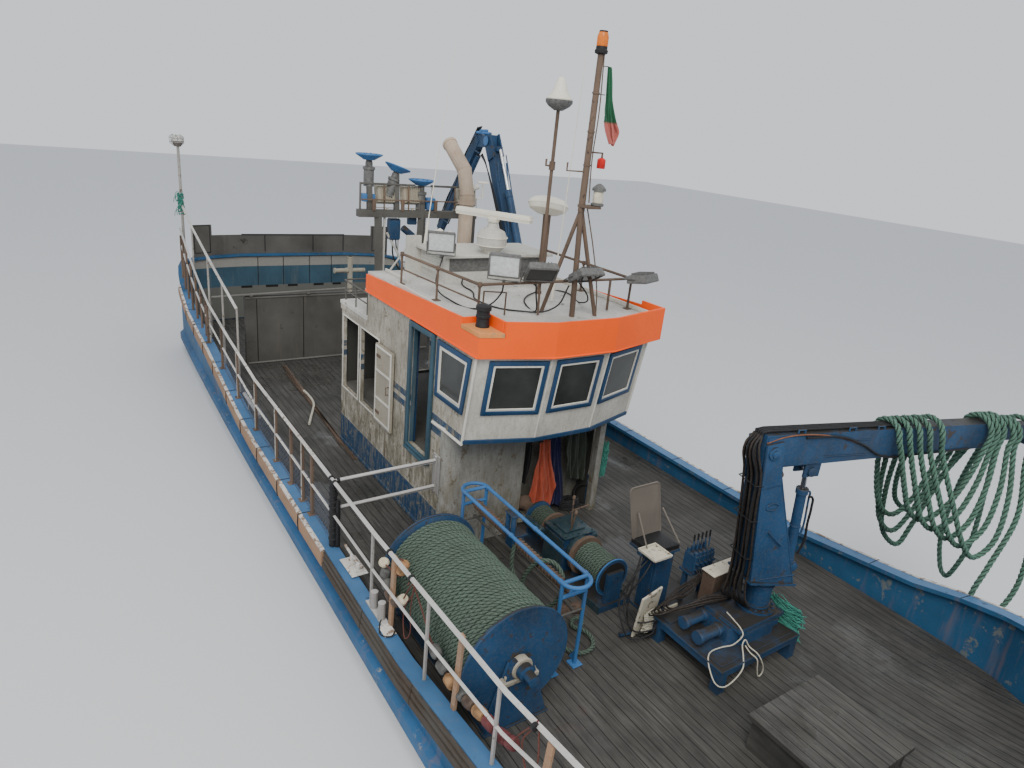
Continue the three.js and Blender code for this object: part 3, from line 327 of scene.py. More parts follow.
# %% A recipe for a material
class Recipe:
    """A new material, with short words for the nodes that it is mixed from."""

    def __init__(self, name):
        self.material = bpy.data.materials.new(name)
        self.material.use_nodes = True
        self.nodes, self.links = self.material.node_tree.nodes, self.material.node_tree.links
        self.shader = self.nodes["Principled BSDF"]
        self.shader.inputs["Specular IOR Level"].default_value = 0.25

    def feed(self, socket, value):
        """Gives a socket a number, a colour or what another node puts out."""
        if isinstance(value, bpy.types.NodeSocket):
            self.links.new(value, socket)
        else:
            socket.default_value = (*value, 1) if socket.type == "RGBA" else value

    def put(self, kind, **inputs):
        """A new node of a kind, with its inputs by name and _ for a space."""
        node = self.nodes.new("ShaderNode" + kind)
        for name, value in inputs.items():
            self.feed(node.inputs[name.replace("_", " ")], value)
        return node

    def axis(self, letter, kind="TexCoord", output="Object"):
        """One number of a place on the object, or of its normal or map."""
        source = self.nodes.new("ShaderNode" + kind).outputs[output]
        return self.put("SeparateXYZ", Vector=source).outputs[letter]

    def noise(self, scale, detail=4.0, rough=0.55, stretch=(1, 1, 1)):
        source = self.nodes.new("ShaderNodeTexCoord").outputs["Object"]
        place = self.put("Mapping", Scale=stretch, Vector=source).outputs["Vector"]
        return self.put("TexNoise", Scale=scale, Detail=detail, Roughness=rough, Vector=place).outputs["Fac"]

    def step(self, value, low, high):
        return self.put("MapRange", From_Min=low, From_Max=high, Value=value).outputs["Result"]

    def patches(self, low, high, *grain):
        """Noise that is cut off below a value and full above another."""
        return self.step(self.noise(*grain), low, high)

    def maths(self, operation, *values, clamp=False):
        node = self.nodes.new("ShaderNodeMath")
        node.operation, node.use_clamp = operation, clamp
        for socket, value in zip(node.inputs, values):
            self.feed(socket, value)
        return node.outputs["Value"]

    def times(self, first, second, operation="MULTIPLY"):
        return self.maths(operation, first, second, clamp=True)

    def blended(self, amount, first, second):
        node = self.nodes.new("ShaderNodeMix")
        node.data_type = "RGBA"
        for name, value in (("Factor", amount), ("A", first), ("B", second)):
            self.feed(node.inputs[name], value)
        return node.outputs["Result"]

    def over(self, tone, colour, mask, strength):
        """A colour laid over a tone where a mask says, at a strength."""
        return self.blended(self.times(mask, strength), tone, colour)

    def done(self, tone, rough, relief, strength, distance, **others):
        """The material, once its shader has a colour, a roughness and a bump."""
        bump = self.put("Bump", Strength=strength, Distance=distance, Height=relief).outputs["Normal"]
        for name, value in {"Base Color": tone, "Roughness": rough, "Normal": bump, **others}.items():
            self.feed(self.shader.inputs[name.replace("_", " ")], value)
        return self.material


# %% The worn paint
RUST = (0.17, 0.075, 0.035)
RUST_PALE = (0.3, 0.16, 0.09)
GRIME = (0.12, 0.115, 0.1)
OIL = (0.03, 0.026, 0.02)


def worn_paint(name, colour, tone=0.25, chips=0.3, under=RUST, chip_size=6.0, runs=0.3, run_colour=RUST_PALE,
        dirt=0.3, rough=0.5, bump=0.25, bands=(), grease=0.0, scratch=0.0, soil=None, underside_rust_and_shade=None,
        inside=False):
    """Paint with drifting tone, chips, runs of rust and dirt. bands are level stripes: low, high, colour.
    grease is how brown the faces that look up have become; scratch is how much is rubbed through upright.
    soil is two heights and a strength: dirt that thickens downwards. underside_rust_and_shade is the colour
    of faces that look down: painted shade tinted like rust. inside lays painted shade on the deckhouse's
    rooms."""
    mix = Recipe(name)
    height, up = mix.axis("Z"), mix.axis("Z", "NewGeometry", "Normal")
    dark = tuple(c * (1 - tone) for c in colour)
    light = tuple(min(1, c * (1 + tone * 0.7) + 0.02 * tone) for c in colour)
    paint = mix.blended(mix.patches(0.3, 0.7, 1.1, 3), dark, light)
    for low, high, band_colour in bands:
        within = mix.times(mix.times(height, low, "GREATER_THAN"), mix.times(height, high, "LESS_THAN"))
        paint = mix.blended(within, paint, band_colour)
    fine = mix.noise(28, 5, 0.7)
    paint = mix.over(paint, GRIME, mix.step(fine, 0.45, 0.75), dirt * 0.6)
    paint = mix.over(paint, run_colour, mix.patches(0.56, 0.78, 5, 4, 0.6, (1.6, 1.6, 0.16)), runs)
    edge = 0.74 - 0.3 * chips
    chip = mix.patches(edge, edge + 0.025, chip_size, 9, 0.72)
    paint = mix.blended(chip, paint, under)
    if scratch:
        paint = mix.over(paint, under, mix.patches(0.5, 0.6, 13, 6, 0.75, (1.5, 1.5, 0.3)), scratch)
    if soil:
        muck = mix.patches(0.4, 0.58, 4.5, 8, 0.72, (1.4, 1.4, 0.5))
        for low, high in ((soil[1], soil[0]), (soil[0] - 0.09, soil[0] - 0.04)):
            muck = mix.times(muck, mix.step(height, low, high))
        paint = mix.over(paint, (0.1, 0.085, 0.05), muck, soil[2])
    # painted shade with a rust tint: faces that look down are laid over with a dark brown
    if underside_rust_and_shade:
        paint = mix.over(paint, underside_rust_and_shade, mix.step(up, 0.3, -0.25), 0.85)
    # painted shade: inside the deckhouse's rooms the paint turns nearly black, standing for the dark rooms
    if inside:
        within = mix.times(mix.axis("X"), -1.495, "GREATER_THAN")
        for letter, limit, side in (("Y", -1.705, "GREATER_THAN"), ("Y", 1.025, "LESS_THAN"),
                ("X", 2.9, "LESS_THAN")):
            within = mix.times(within, mix.times(mix.axis(letter), limit, side))
        paint = mix.blended(within, paint, (0.05, 0.05, 0.045))
    if grease:
        lying = mix.times(mix.step(up, 0.35, 0.9), mix.patches(0.22, 0.52, 2.6, 7, 0.7))
        lower = mix.times(mix.patches(0.5, 0.68, 1.4, 6, 0.7, (1, 1, 0.5)), 0.55)
        paint = mix.over(paint, OIL, mix.times(lying, lower, "MAXIMUM"), grease)
    worn = mix.times(chip, mix.times(fine, 0.5), "ADD")
    shine = mix.put("MapRange", To_Min=rough, To_Max=min(1, rough + 0.35), Value=worn).outputs["Result"]
    relief = mix.times(mix.times(chip, 0.6), mix.times(fine, 0.4), "SUBTRACT")
    return mix.done(paint, shine, mix.times(0.7, relief, "SUBTRACT"), bump, 0.006)


BLUE = (0.012, 0.054, 0.128)
blue_trim = worn_paint("blue_trim", (0.011, 0.047, 0.112), chips=0.12, under=(0.35, 0.36, 0.36), runs=0.12,
    rough=0.4)
hull_blue = worn_paint("hull_blue", (0.02, 0.095, 0.215), chips=0.42, under=(0.25, 0.26, 0.26), runs=0.35,
    rough=0.5, bands=((-3.0, -0.02, (0.16, 0.035, 0.03)), (-0.02, 0.05, (0.55, 0.55, 0.52))))
bulwark_blue = worn_paint("bulwark_blue", (0.022, 0.095, 0.2), chips=0.5, under=(0.15, 0.17, 0.17),
    chip_size=4, runs=0.4)
gear_blue = worn_paint("gear_blue", BLUE, tone=0.35, chips=0.48, under=(0.055, 0.045, 0.04), chip_size=5,
    runs=0.5, run_colour=(0.07, 0.06, 0.052), dirt=0.6, rough=0.42, grease=0.95)
bright_blue = worn_paint("bright_blue", (0.04, 0.145, 0.34), chips=0.3, chip_size=9, runs=0.2, rough=0.35)
# wall_paint lays painted shade, nearly black, over the faces inside the deckhouse's rooms
wall_paint = worn_paint("wall_paint", (0.42, 0.39, 0.33), tone=0.35, chips=0.5, under=(0.2, 0.18, 0.135),
    chip_size=7, runs=0.55, run_colour=(0.28, 0.24, 0.17), dirt=0.8, rough=0.7, scratch=0.75,
    soil=(1.2, 3.3, 0.85), inside=True, bands=((0.2, 1.13, (0.012, 0.052, 0.12)),
    (2.27, 2.37, (0.012, 0.055, 0.125)), (2.44, 2.54, (0.012, 0.055, 0.125))))
front_paint = worn_paint("front_paint", (0.5, 0.485, 0.43), tone=0.3, chips=0.3, under=(0.26, 0.22, 0.165),
    chip_size=4, runs=0.45, run_colour=(0.35, 0.32, 0.26), dirt=0.5, rough=0.6, scratch=0.3)
lower_paint = worn_paint("lower_paint", (0.27, 0.27, 0.25), tone=0.4, chips=0.55, under=(0.15, 0.13, 0.1),
    chip_size=5, runs=0.6, run_colour=(0.17, 0.145, 0.105), dirt=0.7, rough=0.7, scratch=0.5,
    soil=(0.6, 2.6, 0.7))
orange_paint = worn_paint("orange_paint", (0.98, 0.105, 0.002), tone=0.08, chips=0.05, under=(0.7, 0.3, 0.18),
    chip_size=11, runs=0.05, dirt=0.12, rough=0.42, bump=0.12)
roof_paint = worn_paint("roof_paint", (0.53, 0.52, 0.485), tone=0.3, chips=0.42, under=(0.2, 0.19, 0.17),
    chip_size=3, runs=0, dirt=0.7, rough=0.55)
bare_steel = worn_paint("bare_steel", (0.088, 0.084, 0.075), tone=0.3, chips=0.35, under=(0.05, 0.045, 0.04),
    chip_size=2.5, runs=0.45, run_colour=(0.14, 0.125, 0.1), dirt=0.6, rough=0.6)
# the faces of these rails that look down get painted shade, tinted like rust
rail_white = worn_paint("rail_white", (0.55, 0.54, 0.5), tone=0.2, chips=0.55, under=(0.16, 0.11, 0.08),
    chip_size=14, runs=0.1, dirt=0.4, rough=0.5, underside_rust_and_shade=(0.1, 0.075, 0.06))
bare_bar = worn_paint("bare_bar", (0.46, 0.455, 0.44), tone=0.2, chips=0.35, under=(0.17, 0.15, 0.13),
    chip_size=10, runs=0.2, dirt=0.4, rough=0.32, underside_rust_and_shade=(0.075, 0.058, 0.05))
petrol_blue = worn_paint("petrol_blue", (0.028, 0.07, 0.1), tone=0.25, chips=0.35, under=(0.1, 0.11, 0.11),
    chip_size=5, runs=0.4, run_colour=(0.2, 0.19, 0.17), dirt=0.5, rough=0.55)
rusty_steel = worn_paint("rusty_steel", (0.13, 0.088, 0.062), tone=0.4, chips=0.5, under=(0.06, 0.045, 0.04),
    chip_size=9, runs=0.3, dirt=0.5, rough=0.75)
casing_white = worn_paint("casing_white", (0.55, 0.54, 0.49), tone=0.2, chips=0.3, under=(0.28, 0.26, 0.22),
    chip_size=6, runs=0.3, dirt=0.5, rough=0.6)
beige_paint = worn_paint("beige_paint", (0.34, 0.31, 0.245), tone=0.25, chips=0.35, under=(0.16, 0.13, 0.1),
    chip_size=8, runs=0.35, dirt=0.5, rough=0.6)
cream_plastic = worn_paint("cream_plastic", (0.74, 0.71, 0.6), tone=0.08, chips=0.0, under=(0.5, 0.48, 0.4),
    runs=0.15, run_colour=(0.45, 0.42, 0.33), dirt=0.2, rough=0.35, bump=0.05)
pipe_brown = worn_paint("pipe_brown", (0.42, 0.33, 0.25), tone=0.35, chips=0.3, under=(0.12, 0.085, 0.06),
    chip_size=5, runs=0.4, dirt=0.4, rough=0.7)
bronze = worn_paint("bronze", (0.45, 0.27, 0.12), chips=0.1, under=(0.2, 0.3, 0.22), runs=0.2, rough=0.35)
print("paints:", len(bpy.data.materials))


# %% [markdown]
# Deck planks, glass, rubber and bright steel need their own recipes: planks get seams along the boat and
# wet patches; the window glass is an opaque dark pane, painted shade for the dark cabin behind it.

# %% Planks, glass, rubber, bright steel
PLANK = 0.125  # the width of a plank, in metres


def planked_deck():
    mix = Recipe("deck_planks")
    seam = mix.times(mix.maths("FRACT", mix.maths("MULTIPLY", mix.axis("Y"), 1 / PLANK)), 0.09, "LESS_THAN")
    grain = mix.noise(9, 6, 0.65, (0.25, 3.0, 1))
    tone = mix.blended(mix.step(grain, 0.3, 0.7), (0.042, 0.041, 0.038), (0.098, 0.094, 0.085))
    tone = mix.over(tone, (0.026, 0.026, 0.024), mix.patches(0.42, 0.68, 1.3, 5, 0.6), 0.6)
    tone = mix.over(tone, (0.009, 0.009, 0.009), seam, 0.85)
    wet = mix.patches(0.52, 0.6, 0.9, 4, 0.6)
    shine = mix.put("MapRange", To_Min=0.75, To_Max=0.12, Value=wet).outputs["Result"]
    return mix.done(tone, shine, mix.times(mix.times(grain, 0.5), mix.times(seam, 0.5), "SUBTRACT"), 0.35,
        0.008)


def plain_finish(name, colour, rough=0.5, metal=0.0, grain_scale=30.0, grain=0.15, bump=0.08):
    """Moulded plastic, rubber, glass or metal: one colour that drifts a little, with a fine grain."""
    mix = Recipe(name)
    value = mix.noise(grain_scale, 4)
    dark, light = [tuple(min(1, c * k) for c in colour) for k in (1 - grain, 1 + grain)]
    return mix.done(mix.blended(mix.step(value, 0.3, 0.7), dark, light), rough, value, bump, 0.003,
        Metallic=metal)


deck_planks = planked_deck()
# painted shade: the window panes are opaque and nearly black, standing for the dark cabin behind the glass
dark_glass = plain_finish("dark_glass", (0.035, 0.038, 0.036), 0.08, grain_scale=1.5, grain=0.4, bump=0.01)
clear_lens = plain_finish("clear_lens", (0.55, 0.58, 0.58), 0.15, grain_scale=20, bump=0.05)
black_rubber = plain_finish("black_rubber", (0.018, 0.018, 0.019), 0.55, grain_scale=60, grain=0.4)
# painted shade: a near-black finish for flat plates put where there are holes and hollows
dark_cavity = plain_finish("dark_cavity", (0.015, 0.014, 0.013), 0.8)
bright_steel = plain_finish("bright_steel", (0.62, 0.62, 0.61), 0.2, 1.0, 80, 0.1, 0.02)
grey_metal = plain_finish("grey_metal", (0.2, 0.2, 0.19), 0.5, 0.4, 25, 0.3)
lamp_grey = plain_finish("lamp_grey", (0.13, 0.13, 0.125), 0.55, 0.2, 25, 0.3)
print("materials:", len(bpy.data.materials))

# %% [markdown]
# ## Paint on the CAD nodes
# The carried-over solids keep their shape and get their paint here, by name.

# %% Paint the nodes
NODE_PAINT = {
    "hull": hull_blue, "keel": hull_blue, "rudder": hull_blue, "propeller": bronze, "main_deck": deck_planks,
    "bulwark_starboard": bulwark_blue, "bulwark_port": bulwark_blue, "bow_bulwark": bulwark_blue,
    "stern_bulwark": bulwark_blue, "stern_guard": bare_steel, "pen_wall": bare_steel,
    "starboard_rail_aft": rail_white, "starboard_rail_fore": bare_bar, "starboard_upper_rail": rail_white,
    "port_upper_rail": rail_white, "house_wall_starboard": wall_paint, "house_wall_port": wall_paint,
    "house_wall_aft": wall_paint, "wheelhouse_wall_aft": front_paint, "house_front_lower": lower_paint,
    "house_floor": bare_steel, "wheelhouse_front": front_paint, "wheelhouse_roof": roof_paint,
    "aft_roof": roof_paint, "roof_fascia": orange_paint, "roof_casing": casing_white,
    "roof_rails": rusty_steel, "exhaust": pipe_brown, "gantry": bare_steel, "line_sheave_1": bright_blue,
    "line_sheave_2": bright_blue, "line_sheave_3": bright_blue, "mast": rusty_steel,
    "radar_scanner": cream_plastic, "radome": cream_plastic, "satellite_dome": cream_plastic,
    "aft_door": beige_paint, "starboard_sliding_door": blue_trim, "port_sliding_door": blue_trim,
    "rope_drum": gear_blue, "drum_stand": gear_blue, "rope_guide": bright_blue, "winch_frame": gear_blue,
    "winch_drum_aft": gear_blue, "winch_drum_fore": gear_blue, "crane_base": gear_blue,
    "crane_column": gear_blue, "crane_boom": gear_blue, "crane_extension": gear_blue,
    "lift_cylinder": gear_blue, "lift_rod": bright_steel, "crane_controls": grey_metal,
    "aft_crane_pedestal": gear_blue, "aft_crane_head": gear_blue, "aft_crane_boom": gear_blue,
    "aft_crane_arm": gear_blue, "power_block_sheave": rusty_steel,
}
for name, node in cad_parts.items():
    node.data.materials.clear()
    node.data.materials.append(NODE_PAINT[name])
print("painted", len(NODE_PAINT), "nodes")


# %% [markdown]
# ## Windows and doors
# A boat's window is a pane behind a screwed-on ring, and both rings here are painted: blue outside, white
# inside. The blue ring is one flat face whose middle is inset and deleted, then thickened outwards. The same
# helper serves the side windows and the raked front, because it only needs the corners of the opening.

# %% Window helper
DECK_Z, AFT_ROOF_Z, ROOF_Z = 0.582, 3.251, 3.992
SIDE_Y = {"starboard": -1.76, "port": 1.08}
OUTWARD = {"starboard": Vector((0, -1, 0)), "port": Vector((0, 1, 0))}


def grown(corners, by):
    """The same outline with every side moved outwards."""
    points = [Vector(c) for c in corners]
    result = []
    for i, point in enumerate(points):
        before, after = points[i - 1], points[(i + 1) % len(points)]
        result.append(point + by * ((point - before).normalized() + (point - after).normalized()))
    return result


def window(name, corners, out, ring=0.06, sash=0.035, proud=0.03):
    """A blue ring, a white sash inside it and a dark pane behind, around an opening with these corners."""
    out = Vector(out)
    edge = [p + out * 0.001 for p in grown(corners, ring + sash)]
    inner = [p + out * 0.002 for p in grown(corners, sash + 0.004)]
    pane = [p + out * 0.002 for p in grown(corners, 0.012)]
    finished(name + "_ring", [border(edge, ring, out * proud, 0.006)], blue_trim)
    finished(name + "_sash", [border(inner, sash, out * proud * 0.7, 0.004)], sash_white)
    # the pane is painted shade: an opaque dark plate for the dark cabin behind the glass
    return finished(name + "_pane", [cut_plate(pane, out * 0.008)], dark_glass)


sash_white = worn_paint("sash_white", (0.6, 0.58, 0.52), tone=0.15, chips=0.25, under=(0.3, 0.2, 0.12),
    chip_size=16, runs=0.2, dirt=0.4, rough=0.55)

# %% Side windows and doorways
SIDE_WINDOW = [(2.16, 2.94), (2.69, 2.94), (2.79, 3.5), (2.16, 3.5)]
DOORWAY = [(1.29, 1.79), (1.89, 1.79), (1.89, 3.57), (1.29, 3.57)]
AFT_OPENINGS = {"galley": [(-0.64, 1.7), (0.09, 1.7), (0.09, 3.0), (-0.64, 3.0)],
    "store": [(-1.45, 1.7), (-0.76, 1.7), (-0.76, 3.0), (-1.45, 3.0)]}
for side, y in SIDE_Y.items():
    out = OUTWARD[side]
    window(side + "_window", [(x, y, z) for x, z in SIDE_WINDOW], out, 0.07, 0.05)
    doorway = grown([(x, y, z) for x, z in DOORWAY], 0.085)
    ring = border([p + out * 0.001 for p in doorway], 0.08, out * 0.045, 0.008)
    sill = slab((1.24, y - 0.07, 1.7), (1.94, y + 0.07, 1.735), 0.006)
    jambs = [slab((x, min(y, y - out.y * 0.06), 1.8), (x + 0.018, max(y, y - out.y * 0.06), 3.56), 0.003)
        for x in (1.292, 1.87)]
    finished(side + "_doorway_frame", [ring, sill, *jambs], petrol_blue)
    for name, corners in AFT_OPENINGS.items():
        edge = [p + out * 0.001 for p in grown([(x, y, z) for x, z in corners], 0.03)]
        finished(side + "_" + name + "_edge", [border(edge, 0.028, out * 0.014, 0.004)], sash_white)
print("side openings framed")

# %% Front windows
FRONT_FACETS = [((2.81, -1.76), (3.09, -0.81)), ((3.09, -0.81), (3.09, 0.13)), ((3.09, 0.13), (2.81, 1.08))]
FRONT_PANES = [(-1.5, -0.93), (-0.63, -0.06), (0.25, 0.85)]
RAKE = 0.16
OVERHANG_Z = 2.43


def on_front(facet, y, z, out=0.0):
    (x0, y0), (x1, y1) = facet
    across = Vector((x1 - x0, y1 - y0, 0)).normalized()
    normal = across.cross(Vector((RAKE, 0, 1)).normalized()).normalized()
    foot = Vector((x0 + (x1 - x0) * (y - y0) / (y1 - y0) + RAKE * (z - OVERHANG_Z), y, z))
    return foot + normal * out, normal


for i, (facet, (y0, y1)) in enumerate(zip(FRONT_FACETS, FRONT_PANES)):
    corners = [on_front(facet, y, z)[0] for y, z in ((y0, 2.95), (y1, 2.95), (y1, 3.53), (y0, 3.53))]
    window(f"front_window_{i + 1}", corners, on_front(facet, y0, 3)[1], 0.062, 0.034)
print("front windows:", len(FRONT_PANES))

# %% [markdown]
# ## Trim of the deckhouse
# A blue band closes the lower edge of the overhanging front, with a white rounded lip where the side wall
# turns into it. Thin flat bars cover the vertical seams between the plates. They break up the large walls and
# give the rust something to start from.

# %% Bands, lip and seams
bands = []
for facet in FRONT_FACETS:
    (x0, y0), (x1, y1) = facet
    ends = [on_front(facet, y, z, 0.001)[0] for y, z in ((y0, 2.425), (y1, 2.425), (y1, 2.485), (y0, 2.485))]
    bands.append(cut_plate(ends, on_front(facet, y0, 2.4)[1] * 0.022, 0.004))
finished("front_lower_band", bands, blue_trim)
seams = []
for facet in FRONT_FACETS[1:]:
    low, high = on_front(facet, facet[0][1], 2.49, 0.004)[0], on_front(facet, facet[0][1], 3.68, 0.004)[0]
    seams.append(bar(low, high, 0.012, 6))
seams.append(bar(on_front(FRONT_FACETS[0], -1.755, 2.45, 0.004)[0],
    on_front(FRONT_FACETS[0], -1.755, 3.68, 0.004)[0], 0.02, 8))
seams.append(bar(on_front(FRONT_FACETS[2], 1.075, 2.45, 0.004)[0],
    on_front(FRONT_FACETS[2], 1.075, 3.68, 0.004)[0], 0.02, 8))
finished("front_seams", seams, sash_white)
lip_path = [(2.02, -1.775, 2.415), (2.26, -1.775, 2.43), (2.36, -1.755, 2.435), (2.44, -1.68, 2.435),
    (2.475, -1.58, 2.43), (2.478, -1.4, 2.42)]
finished("overhang_lip", [pipe(lip_path, 0.022, 8, smooth=True),
    pipe([(2.2, -1.775, 2.43), (2.84, -1.775, 2.43)], 0.02, 8)], sash_white)
SEAM_X = (-0.7, 0.42, 1.12, 2.02)
for side, y in SIDE_Y.items():
    out = OUTWARD[side].y
    strips = [slab((x - 0.012, min(y, y + out * 0.008), 0.62), (x + 0.012, max(y, y + out * 0.008), 1.66),
        0.002) for x in SEAM_X]
    strips.append(slab((-1.53, min(y, y + out * 0.02), 0.6), (2.24, max(y, y + out * 0.02), 0.66), 0.004))
    strips.append(slab((-1.57, min(y, y + out * 0.018), 3.1), (-0.43, max(y, y + out * 0.018), 3.18), 0.004))
    finished(side + "_wall_strips", strips, wall_paint)
print("deckhouse trim ready")

# %% Aft door hardware
DOOR_Y = -1.822
leaf = border([(0.122, DOOR_Y, 1.71), (0.718, DOOR_Y, 1.71), (0.718, DOOR_Y, 2.97), (0.122, DOOR_Y, 2.97)],
    0.035, (0, -0.014, 0), 0.003)
ribs = [slab((0.14, DOOR_Y - 0.012, z - 0.02), (0.69, DOOR_Y, z + 0.02), 0.004) for z in (2.1, 2.56)]
finished("aft_door_border", [leaf, *ribs], sash_white, "aft_door", "beige")
handle = pipe([(0.64, DOOR_Y - 0.002, 2.3), (0.64, DOOR_Y - 0.05, 2.3), (0.64, DOOR_Y - 0.05, 2.42),
    (0.64, DOOR_Y - 0.002, 2.42)], 0.009, 8)
straps = [slab((0.114, DOOR_Y - 0.01, z - 0.025), (0.3, DOOR_Y + 0.001, z + 0.025), 0.003)
    for z in (1.86, 2.8)]
knuckles = [bar((0.096, -1.802, z - 0.04), (0.096, -1.802, z + 0.04), 0.02, 12, 0.003) for z in (1.86, 2.8)]
finished("aft_door_hardware", [handle, *straps, *knuckles], rusty_steel, "aft_door")
for side, y in (("starboard", -1.7), ("port", 1.02)):
    sign = 1 if side == "starboard" else -1
    face = y + sign * 0.0504
    ring = pipe([(1.18, face, 2.5), (1.18, face + sign * 0.04, 2.5), (1.18, face + sign * 0.04, 2.7),
        (1.18, face, 2.7)], 0.008, 8)
    glazing = border([(0.74, face, 2.72), (1.12, face, 2.72), (1.12, face, 3.36), (0.74, face, 3.36)], 0.04,
        (0, sign * 0.012, 0), 0.003)
    finished(side + "_door_fittings", [ring, glazing], sash_white, side + "_sliding_door")
print("doors fitted")

# %% [markdown]
# ## Roof edge
# The orange board around the roof is the brightest thing on the boat. The CAD holds the board itself. Here it
# gets the lap along its lower edge, the faded patch at the corner, and the black vent that stands on the
# step.

# %% Roof edge details
lap = pipe([(-0.42, -1.8, 3.685), (3.07, -1.8, 3.685), (3.366, -0.84, 3.685), (3.366, 0.16, 3.685),
    (3.07, 1.25, 3.685), (-0.42, 1.25, 3.685)], 0.012, 6)
finished("fascia_lap", [lap], orange_paint)
ledge = cut_plate([(2.64, -1.794, 3.945), (3.055, -1.794, 3.945), (3.15, -1.485, 3.945),
    (2.64, -1.485, 3.945)], (0, 0, 0.012), 0.003)
finished("corner_ledge", [ledge], orange_paint)
vent = turned([(0.088, 0.0), (0.088, 0.03), (0.081, 0.04), (0.081, 0.12), (0.092, 0.13), (0.092, 0.15),
    (0.081, 0.16), (0.081, 0.21), (0.097, 0.22), (0.097, 0.27), (0.06, 0.285), (0, 0.285)],
    (2.83, -1.6, ROOF_Z), sides=24)
finished("corner_vent", [vent], black_rubber)
kerbs = [slab((0.55, -1.745, ROOF_Z), (2.6, -1.715, 4.05), 0.006),
    slab((0.62, 1.13, ROOF_Z), (3.02, 1.17, 4.05), 0.006),
    slab((-0.38, -1.5, ROOF_Z), (0.46, -1.47, 4.04), 0.006)]
finished("roof_kerbs", kerbs, sash_white)
print("roof edge ready")


# %% [markdown]
# ## Lamps on the roof
# Five floodlights stand on the roof rails. Each is a shallow black box with a pale lens, ribs for cooling on
# its back and a stirrup. One lamp is modelled facing +X and copied, so that all five share every detail.

# %% Floodlight
def floodlight(wide=0.4, high=0.3):
    """The parts of one lamp facing +X, its stirrup's foot at the origin."""
    body = turned([(0.62, 0), (0.66, 0.02), (0.72, 0.1)], sides=4)
    body.rotation_euler = (0, pi / 2, 0)
    with editing(settle(body)):
        bpy.ops.transform.rotate(value=pi / 4, orient_axis="X", center_override=(0, 0, 0))
        bpy.ops.transform.resize(value=(1, wide, high))
        bpy.ops.transform.translate(value=(-0.05, 0, high * 0.5 + 0.09))
    fins = [slab((-0.075, y - 0.004, 0.12), (-0.045, y + 0.004, high + 0.06), 0)
        for y in (-0.12, -0.08, -0.04, 0, 0.04, 0.08, 0.12)]
    rim_corners = [(0.052, s * wide * 0.51, high * 0.5 + 0.09 + t * high * 0.51)
        for s, t in ((-1, -1), (1, -1), (1, 1), (-1, 1))]
    rim = border(rim_corners, 0.022, (0.014, 0, 0), 0.004)
    stirrup = pipe([(0, wide * 0.53, 0.22), (0, wide * 0.53, 0.02), (0, -wide * 0.53, 0.02),
        (0, -wide * 0.53, 0.22)], 0.009, 6)
    foot = bar((0, 0, -0.03), (0, 0, 0.025), 0.022, 10, 0.003)
    lens = cut_plate([(0.048, s * wide * 0.49, high * 0.5 + 0.09 + t * high * 0.49)
        for s, t in ((-1, -1), (1, -1), (1, 1), (-1, 1))], (0.006, 0, 0), 0)
    return [body, *fins, rim, stirrup, foot], lens


# place, heading, tilt, lens
ROOF_LAMPS = [((0.62, -1.05, 4.42), -30, 12, "pale"), ((2.46, -1.1, 4.455), -38, 14, "pale"),
    ((2.5, -0.62, 4.455), -20, 46, "dark"), ((2.52, 0.02, 4.455), 0, 60, "dark"),
    ((2.5, 1.0, 4.455), 20, 80, "dark")]
lamp_bodies, pale_lenses, dark_lenses = [], [], []
for (at, heading, tilt, lens_kind) in ROOF_LAMPS:
    parts, lens = floodlight()
    place = (Matrix.Translation(at) @ Matrix.Rotation(radians(heading), 4,
        "Z") @ Matrix.Rotation(radians(tilt), 4, "Y"))
    for part in (*parts, lens):
        part.data.transform(place)
    lamp_bodies += parts
    (pale_lenses if lens_kind == "pale" else dark_lenses).append(lens)
finished("roof_floodlights", lamp_bodies, lamp_grey)
finished("roof_floodlight_lenses", pale_lenses, clear_lens)
finished("roof_floodlight_dark_lenses", dark_lenses, dark_glass)
print("roof lamps:", len(ROOF_LAMPS))

# %% [markdown]
# Behind the wheelhouse the deck lamps turn their ribbed backs to the camera. They hang on the gantry's rail.

# %% Gantry lamps and sheave motors
backs = []
for y, heading in ((-1.02, 180), (-0.55, 180), (0.52, 170)):
    parts, lens = floodlight(0.38, 0.3)
    place = Matrix.Translation((-1.46, y, 4.82)) @ Matrix.Rotation(radians(heading), 4,
        "Z") @ Matrix.Rotation(0.2, 4, "Y")
    for part in (*parts, lens):
        part.data.transform(place)
    backs += [*parts, lens]
finished("gantry_floodlights", backs, beige_paint)
rail_low = pipe([(-1.36, -1.52, 4.98), (-1.36, 0.64, 4.98)], 0.012, 6)
posts = [bar((-1.4, y, 4.81), (-1.43, y, 5.225), 0.013, 6) for y in (-1.1, -0.65, -0.2, 0.25)]
clips = [slab((-1.375, y - 0.03, 4.8), (-1.345, y + 0.03, 4.995), 0.003) for y in (-1.3, -0.78, -0.15, 0.45)]
finished("gantry_rails", [rail_low, *posts, *clips], rusty_steel)
motors = []
SHEAVES = [((-1.5, -1.35, 5.6), 0), ((-1.5, -0.86, 5.43), -18), ((-1.5, -0.38, 5.23), 0)]
